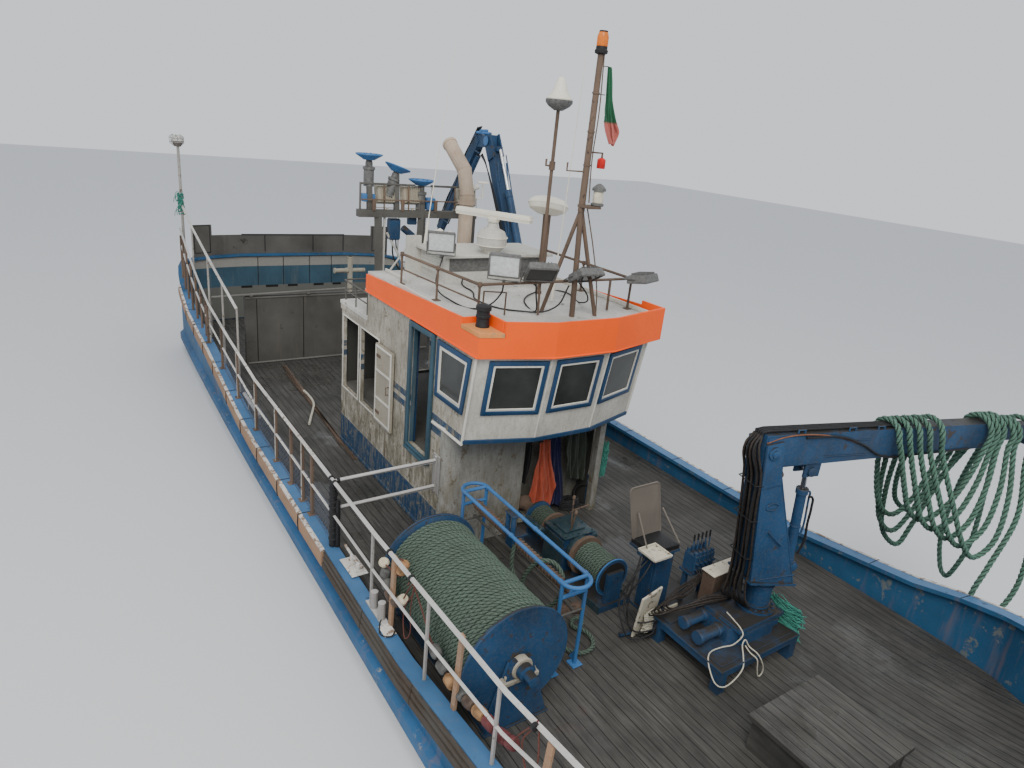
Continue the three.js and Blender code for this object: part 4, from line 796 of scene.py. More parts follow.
for i, (at, tilt) in enumerate(SHEAVES):
    lean = Matrix.Translation(at) @ Matrix.Rotation(radians(tilt), 4, "X")
    motor = turned([(0.085, -0.42), (0.085, -0.16), (0.1, -0.15), (0.1, -0.11), (0.06, -0.1), (0.06, -0.03)],
        sides=16)
    motor.data.transform(lean)
    motors.append(motor)
    hub = turned([(0.075, 0.058), (0.075, 0.085), (0.05, 0.1), (0, 0.1)], sides=16)
    spoke = bar((0.08, 0, 0.062), (0.185, 0, 0.088), 0.011, 6)
    spokes = copied(spoke, *[Matrix.Rotation(k * pi / 3, 4, "Z") for k in range(1, 6)])
    bolts = [bar((0.05 * cos(a), 0.05 * sin(a), 0.095), (0.05 * cos(a), 0.05 * sin(a), 0.112), 0.009, 6)
        for a in (0.3, 2.4, 4.5)]
    rim = pipe([(0.215 * cos(a), 0.215 * sin(a), 0.088) for a in angles(24)], 0.012, 6, closed=True)
    for part in (hub, spoke, *spokes, *bolts, rim):
        part.data.transform(lean)
    finished(f"sheave_{i + 1}_fittings", [hub, spoke, *spokes, *bolts, rim], bright_blue,
        f"line_sheave_{i + 1}")
finished("sheave_motors", motors, lamp_grey)
boxes = [slab((-1.6, -1.46, 4.93), (-1.44, -1.24, 5.06), 0.02, 2),
    slab((-1.56, -0.3, 4.82), (-1.38, -0.14, 5.03), 0.02, 2)]
finished("gantry_valve_boxes", boxes, bright_blue)
print("gantry dressed")

# %% [markdown]
# ## Radar, domes and mast
# The radar bar is a thin box with rounded ends on a bulb-shaped gearbox. The satellite dome is a white cone
# with a dark skirt. Both are turned or extruded shapes, so a profile describes each of them fully.

# %% Radar and domes
turn_bar = Matrix.Translation((0.43, -0.06, 4.965)) @ Matrix.Rotation(radians(32), 4, "Z")
cover = slab((-0.645, -0.066, 0.004), (0.645, 0.066, 0.11), 0.03, 3)
lip = border([(-0.65, -0.07, 0.045), (0.65, -0.07, 0.045), (0.65, 0.07, 0.045), (-0.65, 0.07, 0.045)], 0.012,
    (0, 0, 0.012), 0.003)
boss = turned([(0.085, -0.06), (0.1, -0.03), (0.1, 0.0), (0.07, 0.01)], sides=20)
for part in (cover, lip, boss):
    part.data.transform(turn_bar)
finished("radar_cover", [cover, lip, boss], cream_plastic, "radar_scanner")
pedestal_rings = [pipe([(0.43 + r * cos(a), -0.06 + r * sin(a), z) for a in angles(24)], 0.008, 6,
    closed=True) for r, z in ((0.246, 4.68), (0.236, 4.55))]
pedestal_feet = [bar((0.43 + 0.13 * cos(a), -0.06 + 0.13 * sin(a), 4.418),
    (0.43 + 0.13 * cos(a), -0.06 + 0.13 * sin(a), 4.45), 0.02, 8, 0.004) for a in (0.8, 2.4, 4.0, 5.6)]
finished("radar_pedestal_rings", [*pedestal_rings, *pedestal_feet], cream_plastic)

DISC = Matrix.Translation((0.9, 0.62, 5.2)) @ Matrix.Rotation(radians(-14), 4, (0.8, 0.6, 0))
disc = turned([(0.1, -0.1), (0.16, -0.09), (0.285, -0.03), (0.315, 0.03), (0.317, 0.06), (0.3, 0.09),
    (0.24, 0.14), (0.12, 0.17), (0, 0.175)], sides=32)
disc.data.transform(DISC)
disc_seam = pipe([(0.319 * cos(a), 0.319 * sin(a), 0.045) for a in angles(32)], 0.006, 6, closed=True)
disc_seam.data.transform(DISC)
pole_sleeve = bar((0.694, 0.786, 4.02), (0.895, 0.625, 5.12), 0.062, 14)
finished("radome_pole", [pole_sleeve, bar((0.69, 0.79, 3.995), (0.695, 0.786, 4.05), 0.11, 14, 0.006)],
    rusty_steel)
finished("radome_disc", [disc, disc_seam], cream_plastic)
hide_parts("radome")

STEM = (1.42, 0.23)
stem = turned([(0.05, 3.995), (0.05, 4.03), (0.026, 4.05), (0.026, 6.62)], (*STEM, 0), sides=12)
arm = pipe([(*STEM, 5.86), (1.42, 0.12, 5.86), (1.42, 0.12, 5.95)], 0.016, 8)
finished("satellite_stem", [stem, arm, bar((*STEM, 5.8), (*STEM, 5.92), 0.045, 12, 0.004)], rusty_steel)
cone = turned([(0.03, 6.63), (0.12, 6.67), (0.178, 6.72), (0.185, 6.755), (0.14, 6.8), (0.105, 6.86),
    (0.075, 6.95), (0.045, 7.02), (0, 7.045)], (*STEM, 0), sides=28)
finished("satellite_cone", [cone], cream_plastic)
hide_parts("satellite_dome")
skirt = turned([(0.06, 6.6), (0.15, 6.655), (0.188, 6.7), (0.192, 6.74), (0.17, 6.745)], (*STEM, 0), sides=28)
finished("satellite_skirt", [skirt], lamp_grey)
print("radar and domes ready")

# %% Mast top, lantern and red lamp
TOP = (2.62, -0.11)
amber = plain_finish("amber_lens", (0.62, 0.16, 0.02), 0.25, grain_scale=9, grain=0.3)
red_lens = plain_finish("red_lens", (0.5, 0.02, 0.015), 0.25, grain_scale=9, grain=0.3)
lantern_lens = plain_finish("lantern_lens", (0.62, 0.58, 0.46), 0.3, grain_scale=12, grain=0.25)
ribs = [bar((TOP[0] + 0.064 * cos(a), TOP[1] + 0.064 * sin(a), 7.335),
    (TOP[0] + 0.064 * cos(a), TOP[1] + 0.064 * sin(a), 7.44), 0.006, 5) for a in angles(16)]
beacon = turned([(0.063, 7.325), (0.066, 7.33), (0.066, 7.45), (0.058, 7.475), (0.05, 7.49), (0, 7.492)],
    (*TOP, 0), sides=24)
finished("beacon_lens", [beacon, *ribs], amber, slot="orange")
base = turned([(0.045, 7.24), (0.078, 7.255), (0.082, 7.285), (0.07, 7.3), (0.07, 7.33), (0.05, 7.332)],
    (*TOP, 0), sides=24)
cap = turned([(0.05, 7.478), (0.055, 7.49), (0.05, 7.503), (0, 7.505)], (*TOP, 0), sides=20)
finished("beacon_base", [base, cap], black_rubber, slot="rusty")
LAMP = (2.72, 0.06)
lantern = [turned([(0.075, 5.47), (0.085, 5.48), (0.085, 5.5), (0.06, 5.51), (0.06, 5.515)], (*LAMP, 0),
    sides=20), turned([(0.06, 5.655), (0.09, 5.66), (0.09, 5.69), (0.05, 5.73), (0.02, 5.75), (0, 5.752)],
    (*LAMP, 0), sides=20)]
finished("mast_lantern_body", lantern, lamp_grey, slot="rusty")
finished("mast_lantern_lens", [turned([(0.062, 5.512), (0.068, 5.53), (0.068, 5.64), (0.062, 5.657)],
    (*LAMP, 0), sides=20)], lantern_lens)
steps = [bar((2.62, -0.11, z), (2.62, -0.11, z + 0.02), 0.05, 12) for z in (5.95, 6.35, 6.8)]
brackets = [pipe([(2.62, -0.11, 6.12), (2.62, 0.12, 6.12), (2.62, 0.12, 6.06)], 0.014, 6),
    pipe([(2.62, -0.11, 5.88), (2.62, -0.42, 5.88), (2.62, -0.42, 5.98)], 0.012, 6)]
wires = [pipe([(2.65, -0.08, 7.24), (2.665, -0.06, 6.6), (2.66, -0.07, 6.0), (2.67, -0.04, 5.5)], 0.008, 5,
    smooth=True), pipe([(2.67, -0.06, 5.45), (2.72, 0.1, 4.9), (2.75, 0.22, 4.4), (2.76, 0.26, 4.05)], 0.009,
    5, smooth=True)]
finished("mast_bands", [*steps, *brackets, *wires], rusty_steel)
finished("mast_red_lamp", [turned([(0.05, 5.93), (0.055, 5.94), (0.055, 6.04), (0.03, 6.06), (0, 6.06)],
    (2.62, 0.12, 0), sides=16)], red_lens)
print("mast dressed")

# %% Whip aerials, small antennas and guy wires
whips = []
for foot, top in (((-0.35, -0.84, 4.42), (-0.3, -0.52, 7.42)), ((1.92, 0.12, 4.01), (1.9, 0.24, 7.42))):
    foot, top = Vector(foot), Vector(top)
    whips += [bar(foot, foot.lerp(top, 0.12), 0.02, 8),
        bar(foot.lerp(top, 0.11), top, 0.009, 6, radius_end=0.004),
        bar(foot.lerp(top, 0.45), foot.lerp(top, 0.46), 0.013, 6)]
finished("whip_aerials", whips, cream_plastic)
mushrooms = []
for x, y, z, r in ((-0.3, -0.6, 4.42, 0.06), (-0.18, -0.72, 4.42, 0.075), (-0.05, -0.55, 4.42, 0.06),
        (0.15, -0.75, 4.42, 0.05)):
    mushrooms.append(turned([(0.012, 0), (0.012, 0.16), (r * 0.8, 0.17), (r, 0.2), (r * 0.9, 0.24),
        (0, 0.27)], (x, y, z), sides=14))
finished("gps_antennas", mushrooms, cream_plastic)
tags = [pipe([(-1.46, 0.84, 5.05), (-1.46, 0.84, 5.32)], 0.014, 6),
    pipe([(-1.46 + 0.1 * cos(a), 0.84 + 0.1 * sin(a), 5.33) for a in angles(16)], 0.014, 6, closed=True),
    pipe([(-1.46, 0.64, 5.05), (-1.46, 0.84, 5.05)], 0.012, 6)]
finished("gantry_aerial", tags, cream_plastic)

# %% [markdown]
# ## Casing, exhaust and rails
# The casing's thick lid overhangs a dark recess, and its forward side carries a recessed panel. The exhaust
# gets the welded rings of its bends. Cables run along the rails as thin bent tubes.

# %% Casing and exhaust details
panel = [slab((0.52, -0.84, 4.16), (0.532, 0.05, 4.375), 0.003),
    slab((0.52, 0.12, 4.05), (0.545, 0.86, 4.34), 0.006)]
finished("casing_panel", panel, lamp_grey)
lid_edge = border([(-0.415, -0.995, 4.382), (0.615, -0.995, 4.382), (0.615, 1.045, 4.382),
    (-0.415, 1.045, 4.382)], 0.02, (0, 0, 0.042), 0.004)
louvre_frame = slab((-0.3, -0.912, 4.06), (0.42, -0.9, 4.34), 0.003)
louvres = [slab((-0.27, -0.925, z), (0.39, -0.905, z + 0.02), 0.003, turn_x=0.5)
    for z in (4.09, 4.14, 4.19, 4.24, 4.29)]
finished("casing_edges", [lid_edge, louvre_frame, *louvres], casing_white)
flanges = [turned([(0.127, -0.03), (0.15, -0.03), (0.15, 0.0), (0.15, 0.03), (0.127, 0.03)], (-1.0, 0.26, z),
    sides=22) for z in (3.31, 5.02)]
bend = [turned([(0.127, -0.012), (0.134, 0.0), (0.127, 0.012)], at, way, 22)
    for at, way in (((-1.0, 0.26, 5.15), (-0.18, 0, 0.98)), ((-1.15, 0.26, 5.55), (-0.6, 0, 0.8)))]
mouth = turned([(0.126, -0.05), (0.134, -0.05), (0.134, 0.004), (0.115, 0.004), (0.108, -0.05)],
    (-1.75, 0.26, 5.95), (-0.83, 0, 0.55), 22)
# painted shade: a near-black disc just inside the exhaust's mouth stands for the dark inside of the pipe
hole = turned([(0.114, -0.004), (0.114, 0.002), (0, 0.002)], (-1.75, 0.26, 5.95), (-0.83, 0, 0.55), 22)
finished("exhaust_rings", [*flanges, *bend, mouth], pipe_brown)
finished("exhaust_mouth", [hole], dark_cavity, slot="rusty")

# %% Roof rail fittings and cables
clamps = [bar((x, y, 4.41), (x, y, 4.47), 0.032, 8, 0.004)
    for x, y in ((0.5, -1.62), (1.5, -1.55), (2.5, -1.48), (2.52, 1.06), (1.4, 1.07))]
feet = [slab((x - 0.05, y - 0.05, 3.991), (x + 0.05, y + 0.05, 4.003), 0.003)
    for x, y in ((0.5, -1.62), (1.5, -1.55), (2.5, -1.48), (2.52, 1.06), (1.4, 1.07), (0.3, 1.08))]
stays = [bar((2.5, -0.55, 4.44), (2.52, -0.55, 4.0), 0.016, 6),
    bar((2.52, 0.66, 4.44), (2.53, 0.66, 4.0), 0.018, 6),
    pipe([(2.0, -1.1, 4.0), (2.0, -1.1, 4.22), (2.42, -1.02, 4.3), (2.42, -1.02, 4.0)], 0.013, 6)]
low_rail = pipe([(0.5, -1.62, 4.22), (2.5, -1.48, 4.22)], 0.012, 6)
finished("roof_rail_fittings", [*clamps, *feet, *stays, low_rail], rusty_steel)
cables = []
for points in (((0.6, -1.0, 4.42), (1.1, -1.35, 4.1), (1.6, -1.4, 4.02), (2.1, -1.25, 4.015),
        (2.45, -1.12, 4.3), (2.46, -1.1, 4.46)), ((1.42, 0.2, 4.02), (1.6, -0.1, 4.01), (2.0, -0.4, 4.01),
        (2.4, -0.5, 4.02), (2.5, -0.6, 4.3), (2.5, -0.62, 4.46)),
        ((2.6, -0.14, 4.4), (2.56, -0.3, 4.1), (2.3, -0.75, 4.01), (1.7, -1.0, 4.01), (1.2, -0.8, 4.01),
        (0.7, -0.7, 4.01), (0.54, -0.6, 4.05)), ((0.7, 0.78, 4.4), (0.9, 0.5, 4.02), (1.5, 0.7, 4.01),
        (2.1, 0.5, 4.01), (2.5, 0.3, 4.2), (2.52, 0.05, 4.46))):
    cables.append(pipe(points, 0.011, 6, smooth=True))
finished("roof_cables", cables, black_rubber)

# %% Rails on the aft roof
AFT_RAIL = [(-0.5, -1.72, 3.6), (-1.53, -1.72, 3.6), (-1.56, -1.66, 3.6), (-1.56, -0.2, 3.6)]
low = [(x, y, 3.43) for x, y, _ in AFT_RAIL]
uprights = [bar((x, y, AFT_ROOF_Z), (x, y, 3.6), 0.013, 6)
    for x, y in ((-0.52, -1.72), (-1.02, -1.72), (-1.54, -1.7), (-1.56, -1.0), (-1.56, -0.25))]
finished("aft_roof_rails", [pipe(AFT_RAIL, 0.015, 6), pipe(low, 0.011, 6), *uprights], bare_steel,
    slot="bare_grey")
vents = [turned([(0.07, 0), (0.07, 0.16), (0.1, 0.17), (0.11, 0.24), (0.06, 0.28), (0, 0.285)],
    (-1.25, -1.35, AFT_ROOF_Z), sides=18), turned([(0.05, 0), (0.05, 0.12), (0.08, 0.13), (0.08, 0.19),
    (0, 0.21)], (-0.8, -1.2, AFT_ROOF_Z), sides=16)]
finished("aft_roof_vents", vents, casing_white)
print("roof finished")


# %% [markdown]
# ## Laid rope
# Three strands twisted together give rope its slanted grooves. A curve that sweeps a three-lobed outline and
# turns it steadily along its length makes the same grooves, so the rope catches light like the real one. The
# same helper winds the big drum, fills the winches and makes the loose rope.

# %% Rope helper
def flowing(points, per=10):
    """A smooth line through points, with per steps between each pair."""
    points = [Vector(p) for p in points]
    ends = [points[0] * 2 - points[1], *points, points[-1] * 2 - points[-2]]
    line = []
    for a, b, c, d in zip(ends, ends[1:], ends[2:], ends[3:]):
        for i in range(per):
            t = i / per
            line.append(0.5 * (2 * b + (c - a) * t + (2 * a - 5 * b + 4 * c - d) * t * t +
                (3 * b - a - 3 * c + d) * t ** 3))
    return [*line, points[-1]]


def evenly(points, pace):
    """The same line with its points the same distance apart."""
    line, left = [points[0].copy()], pace
    for a, b in zip(points, points[1:]):
        length, done = (b - a).length, 0.0
        while length - done >= left:
            done += left
            line.append(a.lerp(b, done / length))
            left = pace
        left -= length - done
    return line


def run_length(points):
    return sum((b - a).length for a, b in zip(points, points[1:]))


def laid_rope(points, diameter, lay=3.2, sides=9):
    """Three-strand rope along a line: a lobed outline carried along it and turned once for each lay."""
    route = evenly(points, diameter * 0.38)
    rope = curve_through(route)
    turn, before = 0.0, route[0]
    for knot, at in zip(rope.data.splines[0].points, route):
        turn += (at - before).length / (diameter * lay) * tau
        knot.tilt, before = turn % tau, at
    lobes = [(diameter / 2 * (0.93, 1.0, 0.76)[k % 3], tau * k / sides) for k in range(sides)]
    return carried([(reach * cos(a), reach * sin(a)) for reach, a in lobes], rope)


def rope_finish(name, light, dark, groove=(0.02, 0.03, 0.025), grime=0.4):
    """Strands with grooves darkened by painted shade and dirt, from the rope's own map: V goes round it,
    three strands to a turn.
    """
    mix = Recipe(name)
    strand = mix.maths("FRACT", mix.maths("MULTIPLY", mix.axis("Y", output="UV"), 3))
    between = mix.maths("COMPARE", strand, 0.667, 0.11)
    fibre = mix.noise(55, 5, 0.7)
    tone = mix.blended(mix.step(fibre, 0.3, 0.7), dark, light)
    tone = mix.over(tone, (0.05, 0.055, 0.045), mix.patches(0.45, 0.75, 2.3, 5, 0.65), grime)
    # painted shade and dirt: a near-black green is laid in the grooves where the strands meet
    return mix.done(mix.blended(between, tone, groove), 0.85, fibre, 0.5, 0.004)


green_rope = rope_finish("green_rope", (0.12, 0.165, 0.128), (0.05, 0.078, 0.06))
dark_rope = rope_finish("dark_rope", (0.075, 0.1, 0.075), (0.03, 0.045, 0.035))
print("rope finishes ready")

# %% [markdown]
# ## Rope drum
# The drum holds more than a hundred metres of rope in one visible layer. One helix gives the whole winding:
# its angle grows steadily, its place along the drum grows with it, and a slow wave keeps the turns uneven.

# %% Wound rope
def winding(x0, x1, y, z, reach, diameter, wander=0.004):
    turns = (x1 - x0) / diameter
    count = max(24, round(tau * reach / (diameter * 0.38)))
    line = []
    for i in range(int(turns * count)):
        angle = tau * i / count
        far = reach + wander * sin(angle * 0.37) + wander * sin(angle * 0.11 + 1)
        line.append(Vector((x0 + diameter * angle / tau, y - far * cos(angle), z + far * sin(angle))))
    return line


DRUM_Y, DRUM_Z = -2.48, 1.29
DRUM_ENDS, BEARINGS_X = ((3.49, -1), (5.42, 1)), (3.42, 5.49)
drum_rope = laid_rope(winding(3.578, 5.335, DRUM_Y, DRUM_Z, 0.562, 0.0555), 0.057)
finished("drum_rope", [drum_rope], green_rope, "rope_drum", "rope_green", 60)
print("rope on the drum:", round(32 * tau * 0.562), "m")

# %% Drum flanges and bearings
def on_drum(x, reach, angle):
    """A place beside the drum's axle."""
    return x, DRUM_Y + reach * cos(angle), DRUM_Z + reach * sin(angle)


rims = [pipe([on_drum(x + inner * 0.012, 0.63, a) for a in angles(56)], 0.013, 6, closed=True)
    for x, inner in ((3.488, 1), (5.422, -1))]
ribs = [bar(on_drum(3.484, 0.13, a), on_drum(3.484, 0.58, a), 0.01, 4)
    for a in (0.5, 1.547, 2.594, 3.642, 4.689, 5.736)]
plates = [turned([(0.125, 0), (0.125, 0.012), (0, 0.012)], (x, DRUM_Y, DRUM_Z), (s, 0, 0), 24)
    for x, s in DRUM_ENDS]
bolts = [bar(on_drum(x, 0.1, a), on_drum(x + s * 0.026, 0.1, a), 0.009, 6) for x, s in DRUM_ENDS
    for a in angles(8)]
finished("drum_flange_edges", [*rims, *ribs, *plates, *bolts], gear_blue, "rope_drum")
blocks, caps = [], []
for x in BEARINGS_X:
    blocks += [turned([(0.066, -0.045), (0.115, -0.045), (0.125, -0.03), (0.125, 0.03), (0.115, 0.045),
        (0.066, 0.045)], (x, DRUM_Y, DRUM_Z), (1, 0, 0), 24),
        slab((x - 0.05, DRUM_Y - 0.21, DRUM_Z - 0.155), (x + 0.05, DRUM_Y + 0.21, DRUM_Z - 0.1), 0.008)]
    caps += [bar((x, DRUM_Y + dy, DRUM_Z - 0.11), (x, DRUM_Y + dy, DRUM_Z - 0.06), 0.018, 6, 0.003)
        for dy in (-0.17, 0.17)]
finished("drum_bearings", [*blocks, *caps], beige_paint, slot="steel")
struts = []
for x in BEARINGS_X:
    for dy in (-0.35, 0.35):
        struts.append(bar((x - 0.045, DRUM_Y + dy, 0.6), (x - 0.045, DRUM_Y + dy * 0.32, 1.36), 0.022, 8))
    struts.append(slab((x - 0.05, DRUM_Y - 0.4, DECK_Z), (x + 0.05, DRUM_Y + 0.4, 0.602), 0.004))
motor = turned([(0.09, 0.05), (0.09, 0.12), (0.06, 0.13), (0.06, 0.24), (0, 0.245)], (5.49, DRUM_Y, DRUM_Z),
    (1, 0, 0), 20)
finished("drum_stand_struts", [*struts, motor], gear_blue)
print("drum finished")

# %% [markdown]
# ## Rope guide and lead screw
# A guide spreads the rope evenly over the drum: a carriage with two upright rollers runs on a coarse screw.
# The screw's thread is one thin tube on a helix around the CAD's shaft.

# %% Guide
GUIDE_X0, GUIDE_X1, GUIDE_Y0, GUIDE_Y1 = 2.96, 5.12, -1.75, -1.4
SCREW_Y, SCREW_Z = -1.575, 1.61
GUIDE_Z = 1.8
thread = [(3.02 + 0.062 * i / 12, SCREW_Y + 0.05 * cos(tau * i / 12), SCREW_Z + 0.05 * sin(tau * i / 12))
    for i in range(int(12 * 2.02 / 0.062))]
finished("lead_screw_thread", [pipe(thread, 0.0155, 6),
    bar((2.99, SCREW_Y, SCREW_Z), (5.09, SCREW_Y, SCREW_Z), 0.047, 14)], rusty_steel)
bends = []
for x, s in ((GUIDE_X0, -1), (GUIDE_X1, 1)):
    arc = [(x + s * 0.16 * sin(a), SCREW_Y + 0.175 * cos(a), GUIDE_Z)
        for a in [k * pi / 12 for k in range(13)]]
    bends.append(pipe([(x - s * 0.02, GUIDE_Y1, GUIDE_Z), *arc, (x - s * 0.02, GUIDE_Y0, GUIDE_Z)], 0.025,
        10))
sleeves = [bar((x - 0.02, y, GUIDE_Z), (x + 0.02, y, GUIDE_Z), 0.031, 12, 0.004) for x in (3.0, 4.1, 5.08)
    for y in (GUIDE_Y0, GUIDE_Y1)]
feet = [slab((x - 0.07, y - 0.07, DECK_Z), (x + 0.07, y + 0.07, 0.598), 0.004) for x in (GUIDE_X0, GUIDE_X1)
    for y in (GUIDE_Y0, GUIDE_Y1)]
gussets = [cut_plate([(x, y, 0.6), (x + s * 0.12, y, 0.6), (x, y, 0.8)], (0, 0.01, 0), 0.002)
    for x, s in ((GUIDE_X0, 1), (GUIDE_X1, -1)) for y in (GUIDE_Y0, GUIDE_Y1)]
finished("guide_bends", [*bends, *sleeves, *feet, *gussets], bright_blue)
carriage = [slab((3.86, -1.66, 1.53), (4.02, -1.49, 1.69), 0.012, 2),
    slab((3.84, -1.7, 1.69), (4.04, -1.45, 1.71), 0.004),
    bar((3.88, -1.66, 1.71), (3.88, -1.66, 1.98), 0.032, 14, 0.006),
    bar((4.0, -1.66, 1.71), (4.0, -1.66, 1.98), 0.032, 14, 0.006),
    slab((3.84, -1.7, 1.98), (4.04, -1.62, 1.995), 0.004)]
finished("guide_carriage", carriage, gear_blue)
rods = [bar((2.9, -1.52, 1.36), (5.1, -1.52, 1.36), 0.017, 8)]
rods += [bar((x, GUIDE_Y0, 1.36), (x, GUIDE_Y1, 1.36), 0.015, 8) for x in (GUIDE_X0, GUIDE_X1)]
finished("guide_lower_rod", rods, bare_steel, slot="steel")
roller = [turned([(0.05, -0.14), (0.075, -0.13), (0.06, -0.04), (0.06, 0.04), (0.075, 0.13), (0.05, 0.14)],
    (5.0, -1.5, 1.3), (0.25, 0.95, 0), 18)]
finished("guide_end_roller", roller, rusty_steel)
print("guide ready")

# %% [markdown]
# ## Winch
# Two drums turn on one shaft beside a closed gearbox. Brake bands, levers and bolt heads stand on it in the
# photograph, all under one coat of dark, oily blue.

# %% Winch
WINCH_Y, WINCH_Z = -0.33, 1.0
fore_rope = laid_rope(winding(3.945, 4.395, WINCH_Y, WINCH_Z, 0.205, 0.046, 0.002), 0.048)
finished("winch_fore_rope", [fore_rope], green_rope, "winch_drum_fore", "rope_green", 60)
aft_rope = laid_rope(winding(2.835, 3.13, WINCH_Y, WINCH_Z, 0.172, 0.04, 0.003), 0.042)
finished("winch_aft_rope", [aft_rope], dark_rope, "winch_drum_aft", "rope_green", 60)
oily_blue = worn_paint("oily_blue", (0.017, 0.045, 0.058), tone=0.35, chips=0.35, under=(0.06, 0.055, 0.045),
    chip_size=8, runs=0.35, dirt=0.7, rough=0.35)
lid = slab((3.24, -0.58, 1.19), (3.74, -0.06, 1.215), 0.008, 2)
cover = slab((3.34, -0.5, 1.215), (3.64, -0.16, 1.245), 0.012, 2)
heads = [bar((x, y, 1.21), (x, y, 1.232), 0.012, 6) for x in (3.27, 3.49, 3.71)
    for y in (-0.55, -0.32, -0.09)]
side_plate = slab((3.28, -0.575, 0.68), (3.7, -0.56, 1.15), 0.01)
housing = [turned([(0.2, 0), (0.21, 0.02), (0.21, 0.07), (0.19, 0.09)], (3.725, WINCH_Y, WINCH_Z), (1, 0, 0),
    28), turned([(0.09, 0), (0.09, 0.1), (0.07, 0.12), (0.07, 0.3), (0.04, 0.31), (0, 0.31)],
    (3.45, -0.09, 0.93), (0, 1, 0), 20), turned([(0.07, 0), (0.07, 0.36), (0.05, 0.38), (0, 0.38)],
    (3.02, -0.72, 1.16), (1, 0, 0), 16)]
finished("winch_gearbox_details", [lid, cover, *heads, side_plate, *housing], oily_blue)
levers = [bar((3.5, -0.3, 1.24), (3.46, -0.28, 1.62), 0.012, 8),
    bar((3.62, -0.4, 1.24), (3.7, -0.42, 1.55), 0.012, 8),
    pipe([(3.36, -0.18, 1.24), (3.36, -0.18, 1.36), (3.36, 0.1, 1.38)], 0.012, 8)]
knobs = [turned([(0.012, 0), (0.022, 0.01), (0.024, 0.04), (0.012, 0.06), (0, 0.062)], at, (0, 0, 1), 12)
    for at in ((3.46, -0.28, 1.61), (3.7, -0.42, 1.54))]
finished("winch_levers", [*levers, *knobs], rusty_steel)
bands = [turned([(0.262, -0.03), (0.275, -0.03), (0.275, 0.03), (0.262, 0.03)], (3.895, WINCH_Y, WINCH_Z),
    (1, 0, 0), 36), turned([(0.232, -0.02), (0.243, -0.02), (0.243, 0.02), (0.232, 0.02)],
    (3.175, WINCH_Y, WINCH_Z), (1, 0, 0), 32)]
finished("winch_brake_bands", bands, rusty_steel)
rim = pipe([(4.452, WINCH_Y + 0.258 * cos(a), WINCH_Z + 0.258 * sin(a)) for a in angles(36)], 0.01, 6,
    closed=True)
# painted shade: a near-black disc inside the drum's open end stands for its dark hollow
mouth = turned([(0.215, 0.0), (0.215, 0.004), (0, 0.004)], (4.462, WINCH_Y, WINCH_Z), (1, 0, 0), 28)
finished("winch_drum_rims", [rim], bright_blue, "winch_drum_fore")
finished("winch_drum_hollow", [mouth], dark_cavity, "winch_drum_fore")
warping = turned([(0.05, 0), (0.05, 0.05), (0.12, 0.06), (0.085, 0.13), (0.085, 0.22), (0.13, 0.29),
    (0.13, 0.31), (0, 0.31)], (2.7, WINCH_Y, WINCH_Z), (-1, 0, 0), 24)
finished("winch_warping_head", [warping], rusty_steel, "winch_drum_aft")
skirt = [slab((2.68, y, 0.585), (4.58, y + 0.012, 0.7), 0.003) for y in (-0.6, -0.072)]
anchor_bolts = [bar((x, y, 0.638), (x, y, 0.67), 0.016, 6) for x in (2.78, 3.2, 3.8, 4.4)
    for y in (-0.56, -0.1)]
finished("winch_bed_details", [*skirt, *anchor_bolts], oily_blue)
print("winch dressed")


# %% [markdown]
# ## The aft crane's cylinders and hoses
# The folded crane behind the wheelhouse is mostly hidden, but its outline against the sky is broken by a ram
# on the boom, bundles of hose over the knuckle and thin braces. Each rides on the part that carries it.

# %% Aft crane fittings
AFT_Y = 1.82


def beside_line(a, b, t, out, y):
    """A place along a line in the crane's own upright plane, moved out to one side of it."""
    a, b = Vector(a), Vector(b)
    way = (b - a).normalized()
    return a.lerp(b, t) + Vector((way.z, 0, -way.x)) * out + Vector((0, y, 0))


BOOM_FOOT, BOOM_HEAD = (-1.03, AFT_Y, 2.63), (-2.77, AFT_Y, 5.87)
ARM_HEAD, ARM_FOOT = (-3.33, AFT_Y, 6.08), (-4.85, AFT_Y, 3.95)


def on_boom(t, out, y=0.0):
    return beside_line(BOOM_FOOT, BOOM_HEAD, t, out, y)


def on_arm(t, out, y=0.0):
    return beside_line(ARM_HEAD, ARM_FOOT, t, out, y)


rams = [bar(on_boom(0.3, 0.25), on_boom(0.72, 0.25), 0.065, 18, 0.006),
    bar(on_boom(0.7, 0.25), on_boom(0.74, 0.25), 0.075, 18, 0.004)]
rams += [slab(Vector((-0.05, -0.06, -0.05)) + on_boom(t, 0.19), Vector((0.05, 0.06, 0.05)) + on_boom(t, 0.19),
    0.01) for t in (0.3, 0.98)]
rams += [bar(on_boom(t, 0.14, y), on_boom(t + 0.1, 0.22, y), 0.016, 8) for t in (0.15, 0.5, 0.8)
    for y in (-0.1, 0.1)]
rams += [pipe([on_boom(0.05, 0.12, y), on_boom(0.4, 0.16, y), on_boom(0.75, 0.15, y), on_boom(0.95, 0.18, y)],
    0.012, 6) for y in (-0.15, 0.15)]
finished("aft_boom_ram", rams, gear_blue, "aft_crane_boom")
finished("aft_boom_rod", [bar(on_boom(0.73, 0.25), on_boom(0.97, 0.23), 0.032, 14)], bright_steel,
    "aft_crane_boom")
finished("aft_arm_ram", [bar(on_arm(0.12, -0.2), on_arm(0.58, -0.19), 0.055, 16, 0.005),
    bar(on_arm(0.56, -0.19), on_arm(0.6, -0.19), 0.065, 16),
    *[bar(on_arm(t, -0.1, y), on_arm(t, -0.2, 0), 0.02, 8) for t in (0.1, 0.86) for y in (-0.08, 0.08)],
    *[slab(Vector((-0.03, -0.16, -0.03)) + on_arm(t, 0), Vector((0.03, 0.16, 0.03)) + on_arm(t, 0), 0.006)
    for t in (0.3, 0.55, 0.8)]], gear_blue, "aft_crane_arm")
